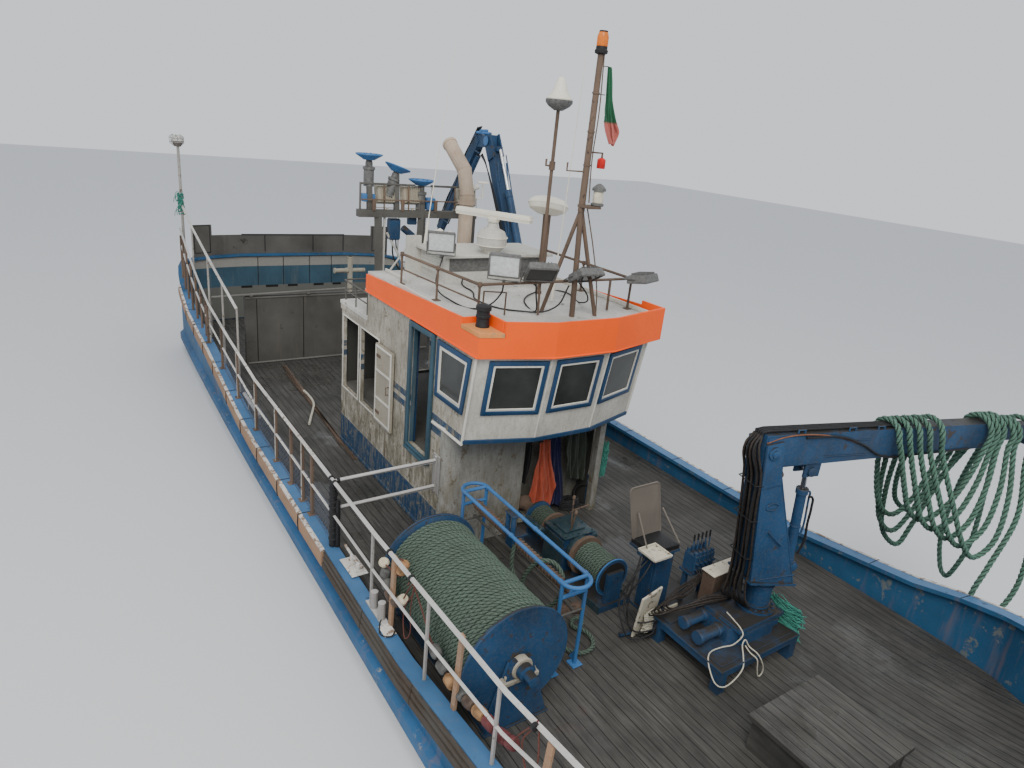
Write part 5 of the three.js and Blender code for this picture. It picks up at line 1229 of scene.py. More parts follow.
finished("aft_arm_rod", [bar(on_arm(0.59, -0.19), on_arm(0.86, -0.19), 0.026, 14)], bright_steel,
    "aft_crane_arm")
boom_run = [pipe(flowing([on_boom(0.03, 0.0, y * 1.1), on_boom(0.25, 0.02 * k, y),
    on_boom(0.6, -0.05 + 0.025 * k, y), on_boom(0.9, -0.12, y), on_boom(1.0, -0.22 - 0.02 * k, y * 0.9)], 6),
    0.013, 6) for y in (-0.155, 0.155) for k in range(4)]
finished("aft_boom_hoses", boom_run, black_rubber, "aft_crane_boom")
arm_run = [pipe(flowing([on_arm(-0.05, 0.13 + 0.015 * k, y), on_arm(0.12, 0.15 + 0.02 * k, y),
    on_arm(0.45, 0.12, y), on_arm(0.7, 0.15 + 0.02 * k, y), on_arm(0.95, 0.09, y)], 6), 0.013, 6)
    for k, y in enumerate((-0.06, -0.02, 0.02, 0.06))]
arm_run += [pipe(flowing([on_arm(0.0, 0.0, s * 0.13), on_arm(0.2, 0.05, s * 0.15),
    on_arm(0.5, -0.05, s * 0.14), on_arm(0.9, 0.0, s * 0.12)], 6), 0.012, 6) for s in (-1, 1)]
finished("aft_arm_hoses", arm_run, black_rubber, "aft_crane_arm")
caps = [turned([(0.09, -0.16), (0.09, -0.15), (0.05, -0.145)], (-2.85, AFT_Y, 6.02), (0, s, 0), 16)
    for s in (-1, 1)]
caps += [slab((-3.34, AFT_Y - 0.12, 6.13), (-3.06, AFT_Y + 0.12, 6.19), 0.02),
    bar((-3.12, AFT_Y - 0.13, 6.2), (-3.24, AFT_Y + 0.1, 6.21), 0.03, 10)]
finished("aft_knuckle_caps", caps, bright_blue, "aft_crane_arm")
print("aft crane dressed")

# %% Clutter under the gantry
braces = [bar((-1.44, -0.95, 3.75), (-1.44, -0.42, 4.45), 0.018, 8),
    bar((-1.44, -1.02, 4.42), (-1.44, -0.55, 3.65), 0.022, 8),
    bar((-1.42, -1.08, 3.3), (-1.42, -1.08, 4.7), 0.022, 8)]
finished("gantry_braces", braces, casing_white)
hauler = [slab((-1.56, -0.98, 4.3), (-1.4, -0.78, 4.66), 0.02),
    bar((-1.5, -0.7, 4.5), (-1.5, -0.5, 4.35), 0.06, 14, 0.006),
    slab((-1.52, -0.62, 4.56), (-1.44, -0.46, 4.68), 0.01)]
finished("gantry_hauler", hauler, gear_blue)
loops = [pipe(flowing([(-1.47, -0.9, 4.32), (-1.5, -0.86, 4.0), (-1.46, -0.72, 3.75), (-1.44, -0.6, 3.95),
    (-1.46, -0.52, 4.3)], 6), 0.014, 8), pipe(flowing([(-1.47, -0.84, 4.31), (-1.52, -0.78, 4.1),
    (-1.46, -0.66, 3.9), (-1.44, -0.5, 4.1), (-1.46, -0.45, 4.4)], 6), 0.012, 8)]
finished("gantry_hoses", loops, black_rubber)
lump = [turned([(0.0, -0.1), (0.07, -0.08), (0.1, -0.02), (0.09, 0.06), (0.04, 0.1), (0, 0.105)],
    (-1.45, 0.55, 5.22), (0.3, 0.6, 1), 14), bar((-1.45, 0.5, 5.1), (-1.42, 0.38, 5.05), 0.05, 12, 0.01),
    bar((-1.44, 0.6, 5.2), (-1.4, 0.72, 5.27), 0.045, 12, 0.01)]
finished("gantry_lump", lump, casing_white)
print("gantry clutter hung")


# %% [markdown]
# ## Roof corner and helm
# The fascia steps down at the starboard front corner. Its inner sides are orange too, and the low ledge there
# is faded to sand. Behind the dark panes stands a plain helm, because the cab is hollow and its door is open.

# %% Roof corner
notch = [slab((2.615, -1.757, ROOF_Z), (2.64, -1.45, 4.075), 0.003),
    slab((2.62, -1.482, ROOF_Z), (3.12, -1.452, 4.135), 0.003)]
finished("fascia_corner_sides", notch, orange_paint)
sandy_orange = worn_paint("sandy_orange", (0.62, 0.25, 0.075), tone=0.2, chips=0.45, under=(0.3, 0.24, 0.15),
    chip_size=9, runs=0.3, run_colour=(0.32, 0.26, 0.17), dirt=0.4, rough=0.6)
ledge = [cut_plate([(2.645, -1.797, 3.942), (3.096, -1.797, 3.942), (3.183, -1.487, 3.942),
    (2.645, -1.487, 3.942)], (0, 0, 0.058), 0.004)]
finished("fascia_corner_ledge", ledge, sandy_orange)

# %% Helm
helm = [slab((1.5, -1.35, 1.72), (1.8, 0.65, 2.62), 0.02, 2),
    slab((1.45, -1.4, 2.62), (2.5, 0.7, 2.67), 0.015, 2),
    slab((1.75, -1.15, 2.67), (2.0, -0.75, 2.93), 0.015, 2),
    slab((1.75, 0.05, 2.67), (1.95, 0.35, 2.88), 0.015, 2)]
finished("helm_console", helm, beige_paint)
hub = (1.36, -0.35, 2.42)
wheel = [pipe([(hub[0], hub[1] + 0.27 * cos(a), hub[2] + 0.27 * sin(a))
    for a in [k * tau / 32 for k in range(32)]], 0.018, 8, closed=True),
    bar((1.49, hub[1], hub[2]), (1.33, hub[1], hub[2]), 0.035, 14, 0.005)]
wheel += [bar(hub, (hub[0], hub[1] + 0.26 * cos(a), hub[2] + 0.26 * sin(a)), 0.012, 8)
    for a in [k * tau / 6 for k in range(6)]]
finished("helm_wheel", wheel, black_rubber)
stool = [slab((0.45, -0.6, 2.2), (0.9, -0.12, 2.3), 0.03, 3),
    slab((0.4, -0.6, 2.32), (0.5, -0.12, 2.85), 0.03, 3, turn_y=-0.1),
    bar((0.67, -0.36, 1.72), (0.67, -0.36, 2.2), 0.04, 14),
    bar((0.67, -0.36, 1.705), (0.67, -0.36, 1.73), 0.2, 20, 0.005)]
finished("helm_chair", stool, black_rubber)
levers = [bar((1.6, y, 2.67), (1.56, y, 2.85), 0.008, 8) for y in (-0.25, -0.17)]
levers += [bar((1.56, y, 2.84), (1.555, y, 2.88), 0.02, 12, 0.004) for y in (-0.25, -0.17)]
finished("helm_levers", levers, bright_steel)
print("helm placed")


# %% [markdown]
# ## Along the hull
# A timber fender is lashed under the bulwark's cap on each side. It follows the deck's curve, so the same
# two small tables that shape the hull are kept here, and a flat outline is swept along the line they give.

# %% Lines of the hull
CAP_HEIGHTS = [(-10.2, 2.4), (-9.75, 2.3), (-9.26, 1.765), (-8.0, 1.45), (-5.5, 1.33), (-4.0, 1.18),
    (-2.5, 1.0), (-1.5, 0.94), (4.5, 0.9), (6.5, 1.15), (8.5, 1.7), (10.2, 2.35)]


def half_breadth(x):
    """Half the boat's width at the deck's edge."""
    if x < -9.5:
        return 3.15 * max(0.0, 1 - ((-9.5 - x) / 0.7) ** 2.4) ** (1 / 2.4)
    if x < 0:
        return 3.33 - 0.18 * (x / 9.5) ** 2
    return 3.33 if x < 6.6 else 3.33 * (1 - ((x - 6.6) / 3.6) ** 2.2) ** 0.8


def along(table, x):
    for (x0, z0), (x1, z1) in zip(table, table[1:]):
        if x <= x1:
            return z0 + (z1 - z0) * (x - x0) / (x1 - x0)
    return table[-1][1]


def edge_point(x, side, out, z):
    """A point beside the deck's edge: out is measured square to the edge."""
    slope = (half_breadth(x + 0.02) - half_breadth(x - 0.02)) / 0.04
    square = Vector((-slope, 1, 0)).normalized()
    return Vector((x + square.x * out, side * (half_breadth(x) + square.y * out), z))


def swept(points, outline):
    """A closed outline swept along a line and kept upright: first number to the right, second upwards."""
    line = curve_through(points)
    line.data.twist_mode = "Z_UP"
    moulding = carried(outline, line)
    with editing(moulding):
        bpy.ops.mesh.remove_doubles(threshold=1e-4)
        face_outwards()
    return moulding


def spread(start, end, reach):
    """Numbers from start to end, no further apart than a step."""
    count = max(1, ceil(abs(end - start) / reach))
    return [start + (end - start) * i / count for i in range(count + 1)]


print("half breadth amidships", half_breadth(0), "and at the bow", round(half_breadth(9), 2))

# %% Timber and cloth finishes
def timber(name, light, dark, grey, amount):
    """Weathered wood: long grain, dark cracks, and grey where the surface has died."""
    mix = Recipe(name)
    grain = mix.noise(7, 7, 0.7, (0.35, 6, 9))
    tone = mix.blended(mix.step(grain, 0.3, 0.7), dark, light)
    tone = mix.over(tone, grey, mix.patches(0.42, 0.62, 1.9, 6, 0.7, (0.5, 2, 2)), amount)
    crack = mix.patches(0.6, 0.66, 9, 6, 0.75, (0.22, 5, 8))
    tone = mix.over(tone, (0.035, 0.027, 0.022), crack, 0.8)
    return mix.done(tone, 0.85, mix.times(grain, mix.times(crack, 0.7), "SUBTRACT"), 0.5, 0.006)


peach_wood = timber("peach_wood", (0.4, 0.25, 0.15), (0.24, 0.14, 0.085), (0.22, 0.175, 0.14), 0.5)
old_wood = timber("old_wood", (0.085, 0.065, 0.05), (0.035, 0.027, 0.02), (0.08, 0.08, 0.075), 0.6)
chipped_white = worn_paint("chipped_white", (0.6, 0.58, 0.54), tone=0.2, chips=0.75, under=(0.24, 0.17, 0.12),
    chip_size=9, runs=0.1, dirt=0.4, rough=0.6)
cap_blue = worn_paint("cap_blue", (0.055, 0.15, 0.3), tone=0.25, chips=0.4, under=(0.03, 0.07, 0.13),
    chip_size=7, runs=0.12, run_colour=(0.3, 0.24, 0.2), dirt=0.35, rough=0.35)
wire_blue = plain_finish("wire_blue", (0.11, 0.135, 0.19), 0.6, 0.3)
print("timber and bar finishes ready")

# %% Fender planks and lashings
FENDER_JOINTS = {-1: [-9.3, -8.0, -6.9, -5.7, -4.6, -3.3, -2.15, -1.0, 0.2, 1.25, 2.22],
    1: [-9.3, -8.1, -6.8, -5.6, -4.2, -3.0, -1.7, -0.5, 0.8, 2.1, 3.3, 4.6, 5.9, 7.1, 8.2]}
for side, joints in FENDER_JOINTS.items():
    flank = "starboard" if side < 0 else "port"
    random.seed(31 + side)
    planks, edges, lashings = [], [], []
    for x0, x1 in zip(joints, joints[1:]):
        drop = random.uniform(-0.008, 0.008)
        xs = spread(x0 + 0.006, x1 - 0.006, 0.4)
        line = [edge_point(x, side, 0.032, along(CAP_HEIGHTS, x) - 0.262 + drop) for x in xs]
        r = -side
        planks.append(swept(line, [(r * out, up) for out, up in ((-0.031, 0), (0.045, 0.012), (0.052, 0.1),
            (0.046, 0.2), (0.046, 0.245), (0, 0.245), (0, 0.205), (-0.031, 0.205))]))
        edges.append(swept(line, [(0, 0.243), (r * 0.048, 0.237), (r * 0.05, 0.262), (r * -0.002, 0.268)]))
    for x in joints[1:-1]:
        z = along(CAP_HEIGHTS, x)
        lashings.append(pipe([edge_point(x, side, o, z + dz)
            for o, dz in ((-0.15, 0.004), (0.03, 0.006), (0.086, 0.002), (0.092, -0.12), (0.084, -0.255),
            (0.03, -0.268))], 0.007, 6))
    finished(flank + "_fender_planks", planks, peach_wood)
    finished(flank + "_fender_edges", edges, chipped_white, slot="wall_white")
    finished(flank + "_fender_lashings", lashings, black_rubber)
fore_boards = []
for x0, x1 in ((2.24, 3.55), (3.57, 4.9), (4.92, 6.3), (6.32, 7.6)):
    xs = spread(x0, x1, 0.4)
    for drop, height, out in ((-0.075, 0.06, 0.02), (-0.15, 0.062, 0.032), (-0.262, 0.095, 0.04)):
        line = [edge_point(x, -1, 0.002, along(CAP_HEIGHTS, x) + drop) for x in xs]
        fore_boards.append(swept(line, [(0, 0), (0.03 + out, 0.004), (0.03 + out, height - 0.006),
            (0, height)]))
finished("fore_fender_boards", fore_boards, old_wood)
print("fenders lashed on")

# %% Blue paint on the caps
for side in (-1, 1):
    xs = sorted({*spread(-8.9, 8.1, 0.5), *[x for x, z in CAP_HEIGHTS if -8.9 < x < 8.1]})
    line = [edge_point(x, side, 0.0, along(CAP_HEIGHTS, x) + 0.001) for x in xs]
    face = swept(line, [(-side * out, up) for out, up in ((0.032, 0), (0.032, 0.004), (-0.151, 0.004),
        (-0.151, 0))])
    finished(("starboard" if side < 0 else "port") + "_cap_face", [face], cap_blue)
print("caps painted")


# %% [markdown]
# ## Fittings on the starboard rail
# The rail carries most of the deck's clutter: flat posts, clamps, a wire mesh lashed between rail and cap, a
# horn cleat, and a line of old net floats that was hung up to dry.

# %% Posts, clamps and crossbars
RAIL_Y = -3.24


def rail_height(x):
    return 1.89 + (-1.7 - x) / 4 * 0.3 if x < -1.7 else 1.89 + max(0.0, (x - 3.5) / 3.5) * 0.13


posts = []
for x in (-5.65, -4.3, -3.0, -1.7, -0.45, 0.35, 0.9, 1.32):
    foot = along(CAP_HEIGHTS, x)
    posts.append(slab((x - 0.03, RAIL_Y - 0.012, foot), (x + 0.03, RAIL_Y + 0.026, rail_height(x) - 0.02),
        0.004))
    posts.append(slab((x - 0.06, RAIL_Y - 0.05, foot), (x + 0.06, RAIL_Y + 0.06, foot + 0.012), 0.003))
finished("rail_posts_aft", posts, rusty_steel)
wrapped = [bar((2.19, RAIL_Y, 0.93), (2.19, RAIL_Y, 1.9), 0.05, 12, 0.006),
    bar((2.23, RAIL_Y + 0.05, 0.93), (2.23, RAIL_Y + 0.05, 1.62), 0.035, 10)]
wrapped += [turned([(0.045, 0), (0.062, 0.012), (0.062, 0.03), (0.045, 0.04)], (2.19, RAIL_Y, z),
    (0.1, 0.1, 1), 12) for z in (1.02, 1.12, 1.2, 1.33, 1.41, 1.5, 1.58, 1.68, 1.77)]
finished("rail_wrapped_post", wrapped, black_rubber)
stakes = []
for x, lean, foot in ((5.45, 0.06, 0.98), (6.84, 0.07, 1.24)):
    stakes.append(slab((x - 0.035, RAIL_Y + 0.03, foot), (x + 0.035, RAIL_Y + 0.07, rail_height(x) - 0.02),
        0.008, 1, turn_y=lean))
stakes.append(slab((3.93, RAIL_Y + 0.03, 0.9), (4.0, RAIL_Y + 0.075, 1.86), 0.008, 1, turn_y=0.04))
finished("rail_wood_stakes", stakes, peach_wood)
clamps = []
for x in (2.12, 2.25, 3.96, 4.5, 6.7):
    clamps.append(turned([(0.027, -0.016), (0.037, -0.016), (0.037, 0.016), (0.027, 0.016)],
        (x, RAIL_Y, rail_height(x)), (1, 0, 0.02), 14))
clamps += [turned([(0.021, -0.02), (0.034, -0.02), (0.034, 0.02), (0.021, 0.02)], (2.2, RAIL_Y + 0.06, z),
    (0, 1, 0), 12) for z in (1.89, 1.49)]
finished("rail_clamps", clamps, black_rubber)
cross = [bar((2.2, RAIL_Y + 0.03, z), (2.2, -1.765, z + 0.02), 0.026, 12) for z in (1.89, 1.49)]
cross += [slab((2.17, -1.795, 1.42), (2.225, -1.765, 1.97), 0.004),
    slab((2.1, -1.772, 1.4), (2.3, -1.762, 1.99), 0.003)]
finished("rail_crossbars", cross, bare_bar)
lone_bar = [bar((-2.8, -3.17, 1.21), (-1.77, -3.17, 1.19), 0.034, 12, 0.004),
    bar((-1.76, -3.17, 1.19), (-1.7, -3.17, 1.188), 0.042, 12, 0.004)]
lone_bar += [bar((x, -3.17, 1.0), (x, -3.17, 1.19), 0.014, 8) for x in (-2.5, -1.95)]
finished("deck_pipe_stub", lone_bar, bare_bar)
print("rail dressed")

# %% Horn cleat and roller on the cap
plate = slab((2.55, -3.275, 0.955 - 0.02), (2.97, -3.06, 0.947), 0.004, 1, turn_z=0.02)
stubs = [bar((x, -3.15, 0.94), (x, -3.15, 1.03), 0.032, 12, 0.004) for x in (2.66, 2.86)]
horn = pipe([(2.42, -3.155, 1.05), (2.55, -3.15, 1.035), (2.76, -3.15, 1.035), (2.97, -3.145, 1.05)], 0.018,
    10, smooth=True)
collars = [slab((x - 0.05, -3.2, 0.945), (x + 0.05, -3.1, 0.965), 0.006) for x in (2.66, 2.86)]
finished("cap_cleat", [plate, *stubs, horn, *collars], chipped_white)
patch = slab((3.92, -3.33, 0.922), (4.12, -3.19, 0.932), 0.003)
tie = pipe(flowing([(3.78, -3.2, 0.935), (3.9, -3.3, 0.94), (4.05, -3.35, 0.92), (4.15, -3.26, 0.945),
    (4.02, -3.16, 0.96), (3.85, -3.12, 0.94)], 5), 0.008, 6)
finished("cap_patch", [patch], chipped_white)
finished("cap_tie", [tie], black_rubber)
print("cleat in place")

# %% [markdown]
# The mesh is hexagonal: upright wires run in pairs that meet and part again. Each wire is one zigzag line.

# %% Wire mesh
MESH_CELL = 0.05
wires = []
for i in range(int((2.16 + 4.25) / MESH_CELL)):
    x = -4.25 + i * MESH_CELL
    low, high = along(CAP_HEIGHTS, x) + 0.005, (rail_height(x) + along(CAP_HEIGHTS, x)) / 2
    line, z, k = [], low, 0
    while z < high:
        lean = 0.5 if k % 2 == 0 else -0.5
        if i % 2:
            lean = -lean
        line += [(x + lean * MESH_CELL * 0.94, RAIL_Y + 0.03, z),
            (x + lean * MESH_CELL * 0.94, RAIL_Y + 0.03, min(high, z + 0.02))]
        z += 0.045
        k += 1
    wires.append(pipe(line, 0.0022, 4))
frame_wire = [pipe([(x, RAIL_Y + 0.03, along(CAP_HEIGHTS, x) + dz(x)) for x in spread(-4.25, 2.16, 0.5)],
    0.005, 6) for dz in (lambda x: 0.01, lambda x: (rail_height(x) - along(CAP_HEIGHTS, x)) / 2)]
finished("rail_wire_mesh", [*wires, *frame_wire], wire_blue, smooth=0)
print("mesh wires:", len(wires))

# %% [markdown]
# ## Net floats
# A float is a barrel with a hole along its axis. A string of them hangs on a line inside the rail, each one a
# little turned from the last; the colours are the sun-bleached browns, greys and dull reds of old plastic.

# %% Floats
float_tan = plain_finish("float_tan", (0.3, 0.17, 0.08), 0.6, grain_scale=14, grain=0.45, bump=0.2)
float_brown = plain_finish("float_brown", (0.085, 0.06, 0.045), 0.6, grain_scale=14, grain=0.45, bump=0.2)
float_grey = plain_finish("float_grey", (0.1, 0.1, 0.095), 0.6, grain_scale=14, grain=0.4, bump=0.2)
float_maroon = plain_finish("float_maroon", (0.13, 0.035, 0.035), 0.55, grain_scale=14, grain=0.35, bump=0.2)
float_cream = plain_finish("float_cream", (0.62, 0.55, 0.4), 0.5, grain_scale=14, grain=0.2, bump=0.15)


def net_float(at, way, length=0.16, radius=0.062, sides=20):
    half = length / 2
    return turned([(0.014, -half + 0.012), (0.02, -half), (radius * 0.62, -half),
        (radius * 0.93, -half + 0.018), (radius, -half + 0.045), (radius, half - 0.045),
        (radius * 0.93, half - 0.018), (radius * 0.62, half), (0.02, half), (0.014, half - 0.012)], at, way,
        sides)


FLOAT_RUNS = {
    float_grey: [((3.7, -3.16, 1.45), (0.2, 0.1, 1), 0.15), ((3.74, -3.16, 1.33), (0.6, 0, -1), 0.14),
        ((4.94, -3.15, 1.31), (1, 0, -0.4), 0.14), ((5.1, -3.15, 1.245), (1, 0.1, -0.3), 0.14),
        ((5.45, -3.14, 1.215), (1, -0.1, 0.1), 0.15)],
    float_brown: [((3.86, -3.16, 1.25), (1, 0, -0.3), 0.16), ((4.02, -3.16, 1.28), (1, 0, 0.5), 0.15),
        ((5.62, -3.14, 1.245), (1, 0, 0.25), 0.15)],
    float_cream: [((4.14, -3.15, 1.38), (0.6, 0.2, 0.8), 0.11), ((3.67, -3.17, 1.575), (0.5, 0, 1), 0.07)],
    float_tan: [((4.05, -3.12, 1.73), (0.3, 0.2, 1), 0.17), ((5.27, -3.15, 1.205), (1, 0, -0.1), 0.15),
        ((5.8, -3.14, 1.29), (1, 0, 0.3), 0.16)],
    float_maroon: [((5.98, -3.14, 1.325), (1, 0, 0.15), 0.17), ((6.17, -3.14, 1.36), (1, 0.1, 0.35), 0.17),
        ((6.33, -3.15, 1.44), (1, 0, 0.55), 0.12)],
}
for n, (finish, run) in enumerate(FLOAT_RUNS.items()):
    finished(f"net_floats_{n + 1}", [net_float(at, way, length) for at, way, length in run], finish,
        slot="plastic_white")
float_line = flowing([(4.02, -3.22, 1.85), (4.05, -3.12, 1.82), (4.04, -3.13, 1.62), (3.85, -3.17, 1.6),
    (3.68, -3.17, 1.55), (3.7, -3.16, 1.42), (3.76, -3.16, 1.3), (3.88, -3.16, 1.245), (4.02, -3.16, 1.28),
    (4.14, -3.15, 1.38), (4.3, -3.17, 1.62), (4.5, -3.21, 1.87)], 6)
second_line = flowing([(4.5, -3.22, 1.86), (4.62, -3.17, 1.62), (4.78, -3.15, 1.4), (4.94, -3.15, 1.31),
    (5.1, -3.15, 1.245), (5.27, -3.15, 1.205), (5.45, -3.14, 1.215), (5.62, -3.14, 1.245), (5.8, -3.14, 1.29),
    (5.98, -3.14, 1.325), (6.17, -3.14, 1.36), (6.33, -3.15, 1.44), (6.45, -3.18, 1.66), (6.66, -3.22, 1.98)],
    6)
float_cord = plain_finish("float_cord", (0.12, 0.045, 0.035), 0.9, grain_scale=120, grain=0.4, bump=0.4)
loops = [pipe(flowing([(4.5, -3.28, 1.86), (4.49, -3.22, 1.9), (4.5, -3.19, 1.86), (4.42, -3.17, 1.66),
    (4.28, -3.18, 1.42), (4.24, -3.18, 1.2), (4.32, -3.19, 1.02), (4.4, -3.17, 1.15), (4.36, -3.16, 1.4),
    (4.47, -3.19, 1.8)], 6), 0.007, 6), pipe(flowing([(6.7, -3.27, 2.0), (6.68, -3.2, 2.03),
    (6.6, -3.18, 1.86), (6.5, -3.18, 1.62), (6.62, -3.18, 1.4), (6.72, -3.18, 1.62), (6.71, -3.2, 1.95)], 6),
    0.008, 6)]
finished("float_lines", [pipe(float_line, 0.008, 6), pipe(second_line, 0.008, 6), *loops], float_cord)
print("floats hung:", sum(len(run) for run in FLOAT_RUNS.values()))


# %% [markdown]
# ## The stern
# Behind the pen the bulwark is lined with sheets painted in two bands, with slots that let the water out.
# The lining is a grid one face high whose points are set along the curve of the hull, then thickened.

# %% Lining, slots and seams
stern_grey = worn_paint("stern_grey", (0.165, 0.16, 0.145), tone=0.25, chips=0.3, under=(0.075, 0.07, 0.06),
    chip_size=3, runs=0.45, run_colour=(0.14, 0.12, 0.1), dirt=0.6, rough=0.65)
lining_paint = worn_paint("lining_paint", (0.035, 0.085, 0.125), tone=0.25, chips=0.3,
    under=(0.09, 0.1, 0.095), chip_size=5, runs=0.4, run_colour=(0.17, 0.17, 0.155), dirt=0.5, rough=0.6,
    bands=((2.04, 3.0, (0.27, 0.26, 0.235)), (0.0, 1.5, (0.13, 0.13, 0.12))))
HULL_STATIONS = (-8.6, -9.26, -9.5, -9.64, -9.75, -9.92, -10.05)
lining_line = [edge_point(x, -1, -0.075, 0) for x in HULL_STATIONS] + [Vector((-10.078, y, 0))
    for y in (-1.45, 1.45)]
lining_line += [edge_point(x, 1, -0.075, 0) for x in reversed(HULL_STATIONS)]


def curtain(line, low, high, thickness):
    """A thin upright sheet along a line: a grid two points high, set in place and thickened."""
    bpy.ops.mesh.primitive_grid_add(x_subdivisions=len(line) - 1, y_subdivisions=1)
    sheet = bpy.context.object
    for k, vertex in enumerate(sheet.data.vertices):
        at = line[k % len(line)]
        vertex.co = (at.x, at.y, (low if k < len(line) else high)(at.x))
    skin = sheet.modifiers.new("thickness", "SOLIDIFY")
    skin.thickness, skin.offset = thickness, 0
    alone(sheet)
    bpy.ops.object.modifier_apply(modifier="thickness")
    return sheet


lining = curtain(lining_line, lambda x: 0.6, lambda x: along(CAP_HEIGHTS, x) - 0.065, 0.006)
finished("stern_lining", [lining], lining_paint)
# painted shade: the slots are thin near-black plates, not holes
slots = [slab((-10.074, y - w / 2, 1.44), (-10.066, y + w / 2, 1.5), 0.002)
    for y, w in ((-1.37, 0.3), (-0.68, 0.34), (-0.09, 0.28), (0.67, 0.3), (1.22, 0.26))]
finished("stern_slots", slots, dark_cavity)
seams = [slab((-10.124, y - 0.01, 2.44), (-10.112, y + 0.01, 2.88), 0.002) for y in (-0.83, 0.52, 1.42)]
seams += [slab((-10.074, y - 0.008, 1.5), (-10.066, y + 0.008, 2.3), 0.002)
    for y in (-1.05, -0.35, 0.4, 1.05)]
seams.append(bar((-10.125, -1.45, 2.905), (-10.125, 1.45, 2.905), 0.018, 8))
for side in (-1, 1):
    corners = [edge_point(x, side, -0.036, z) for x, z in ((-10.04, 2.45), (-10.04, 3.16), (-9.93, 3.16),
        (-9.93, 2.45))]
    seams.append(pipe([*corners, corners[0]], 0.014, 6))
finished("stern_guard_seams", seams, black_rubber)
print("stern lined")

# %% Pen wall
pen = [slab((-6.181, y - 0.008, 0.62), (-6.172, y + 0.008, 2.12), 0.002) for y in (-2.07, -1.0, 0.25, 1.4)]
finished("pen_seams", pen, black_rubber)
trims = [bar((-6.14, -2.3, 0.605), (-6.14, 2.28, 0.605), 0.022, 8),
    slab((-6.17, -2.32, 2.14), (-6.155, 2.26, 2.17), 0.003),
    bar((-6.12, -3.05, 2.22), (-6.12, 0.06, 2.3), 0.026, 10),
    bar((-6.12, -3.05, 1.4), (-6.12, -3.05, 2.22), 0.018, 8)]
trims += [slab((-6.15, y - 0.03, 2.2), (-6.09, y + 0.03, 2.26), 0.004) for y in (-2.2, -0.9)]
finished("pen_trims", trims, stern_grey)
tee = [bar((-6.2, 0.15, 2.2), (-6.2, 0.15, 3.06), 0.062, 16, 0.004),
    bar((-6.2, -0.24, 2.72), (-6.2, 0.52, 2.72), 0.052, 16, 0.004)]
tee += [turned([(0.055, -0.02), (0.066, -0.02), (0.066, 0.02), (0.055, 0.02)], at, way, 16)
    for at, way in (((-6.2, -0.23, 2.72), (0, 1, 0)), ((-6.2, 0.06, 2.72), (0, 1, 0)),
    ((-6.2, 0.15, 3.04), (0, 0, 1)))]
finished("pen_pipe_tee", tee, beige_paint)
print("pen wall dressed")

# %% [markdown]
# Two more rails run down from the lamp pole, on rusty posts of uneven height. The lamp sits in a cage of bent
# rod, and an old piece of net is wound round the pole below it: loops of twine with loose ends.

# %% Stern rails, lamp cage and net wrap
def pole_side(x):
    return -(half_breadth(x) - 0.075)


low_rails = [pipe([(x, pole_side(x), z) for x, z in run], radius, 8, smooth=True)
    for run, radius in ((((-9.63, 3.14), (-8.66, 2.93), (-7.55, 2.6), (-6.67, 2.39), (-5.72, 2.19)), 0.024),
    (((-9.6, 2.8), (-8.41, 2.4), (-7.25, 2.06), (-5.72, 1.78)), 0.02))]
finished("stern_low_rails", low_rails, bare_bar)
low_posts = [bar((x, pole_side(x), along(CAP_HEIGHTS, x + 0.04) - 0.01), (x, pole_side(x), top), 0.026, 8)
    for x, top in ((-9.42, 3.0), (-9.05, 2.98), (-8.55, 2.87), (-7.95, 2.6), (-7.3, 2.5), (-6.65, 2.34),
    (-6.1, 2.2))]
finished("stern_low_posts", low_posts, rusty_steel)
POLE_X, POLE_Y = -9.63, -2.99
lamp = [pipe([(POLE_X + r * cos(a), POLE_Y + r * sin(a), z)
    for r, z in ((0.05, 5.12), (0.16, 5.2), (0.165, 5.34), (0.09, 5.4))], 0.006, 4) for a in angles(8)]
lamp += [pipe([(POLE_X + r * cos(tau * k / 16), POLE_Y + r * sin(tau * k / 16), z) for k in range(16)], 0.006,
    4, True) for r, z in ((0.163, 5.22), (0.168, 5.32))]
finished("stern_lamp_cage", lamp, bare_bar)
net_twine = plain_finish("net_twine", (0.05, 0.21, 0.165), 0.9, grain_scale=90, grain=0.45, bump=0.4)
pale_twine = plain_finish("pale_twine", (0.46, 0.44, 0.36), 0.9, grain_scale=90, grain=0.3, bump=0.4)


def tangle(middle, reach, count, radius, seed, knots=7):
    """A bundle of old net: short wandering loops of twine around a middle."""
    rng = random.Random(seed)
    loops = []
    for k in range(count):
        start, lean = rng.uniform(0, tau), rng.uniform(0.6, 1.0)
        line = [(middle[0] + reach[0] * lean * cos(start + n * 0.9) * rng.uniform(0.7, 1.05),
            middle[1] + reach[1] * lean * sin(start + n * 0.9) * rng.uniform(0.7, 1.05),
            middle[2] + reach[2] * (2 * k / count - 1) * rng.uniform(0.8, 1) + rng.uniform(-0.25,
            0.25) * reach[2]) for n in range(knots)]
        loops.append(pipe(flowing(line, 4), radius, 5))
    return loops


wrap = tangle((POLE_X, POLE_Y, 3.78), (0.085, 0.085, 0.26), 26, 0.012, 5)
wrap += [pipe(flowing([(-9.6, -3.05, z), (-9.6 + dx, -3.12, z - 0.06), (-9.6 + 2 * dx, -3.13, z - 0.18)], 4),
    0.008, 5) for z, dx in ((4.02, 0.12), (3.95, -0.09), (3.7, 0.13), (3.62, -0.07), (4.06, 0.06))]
finished("stern_net_wrap", wrap, net_twine)
print("stern pole dressed")

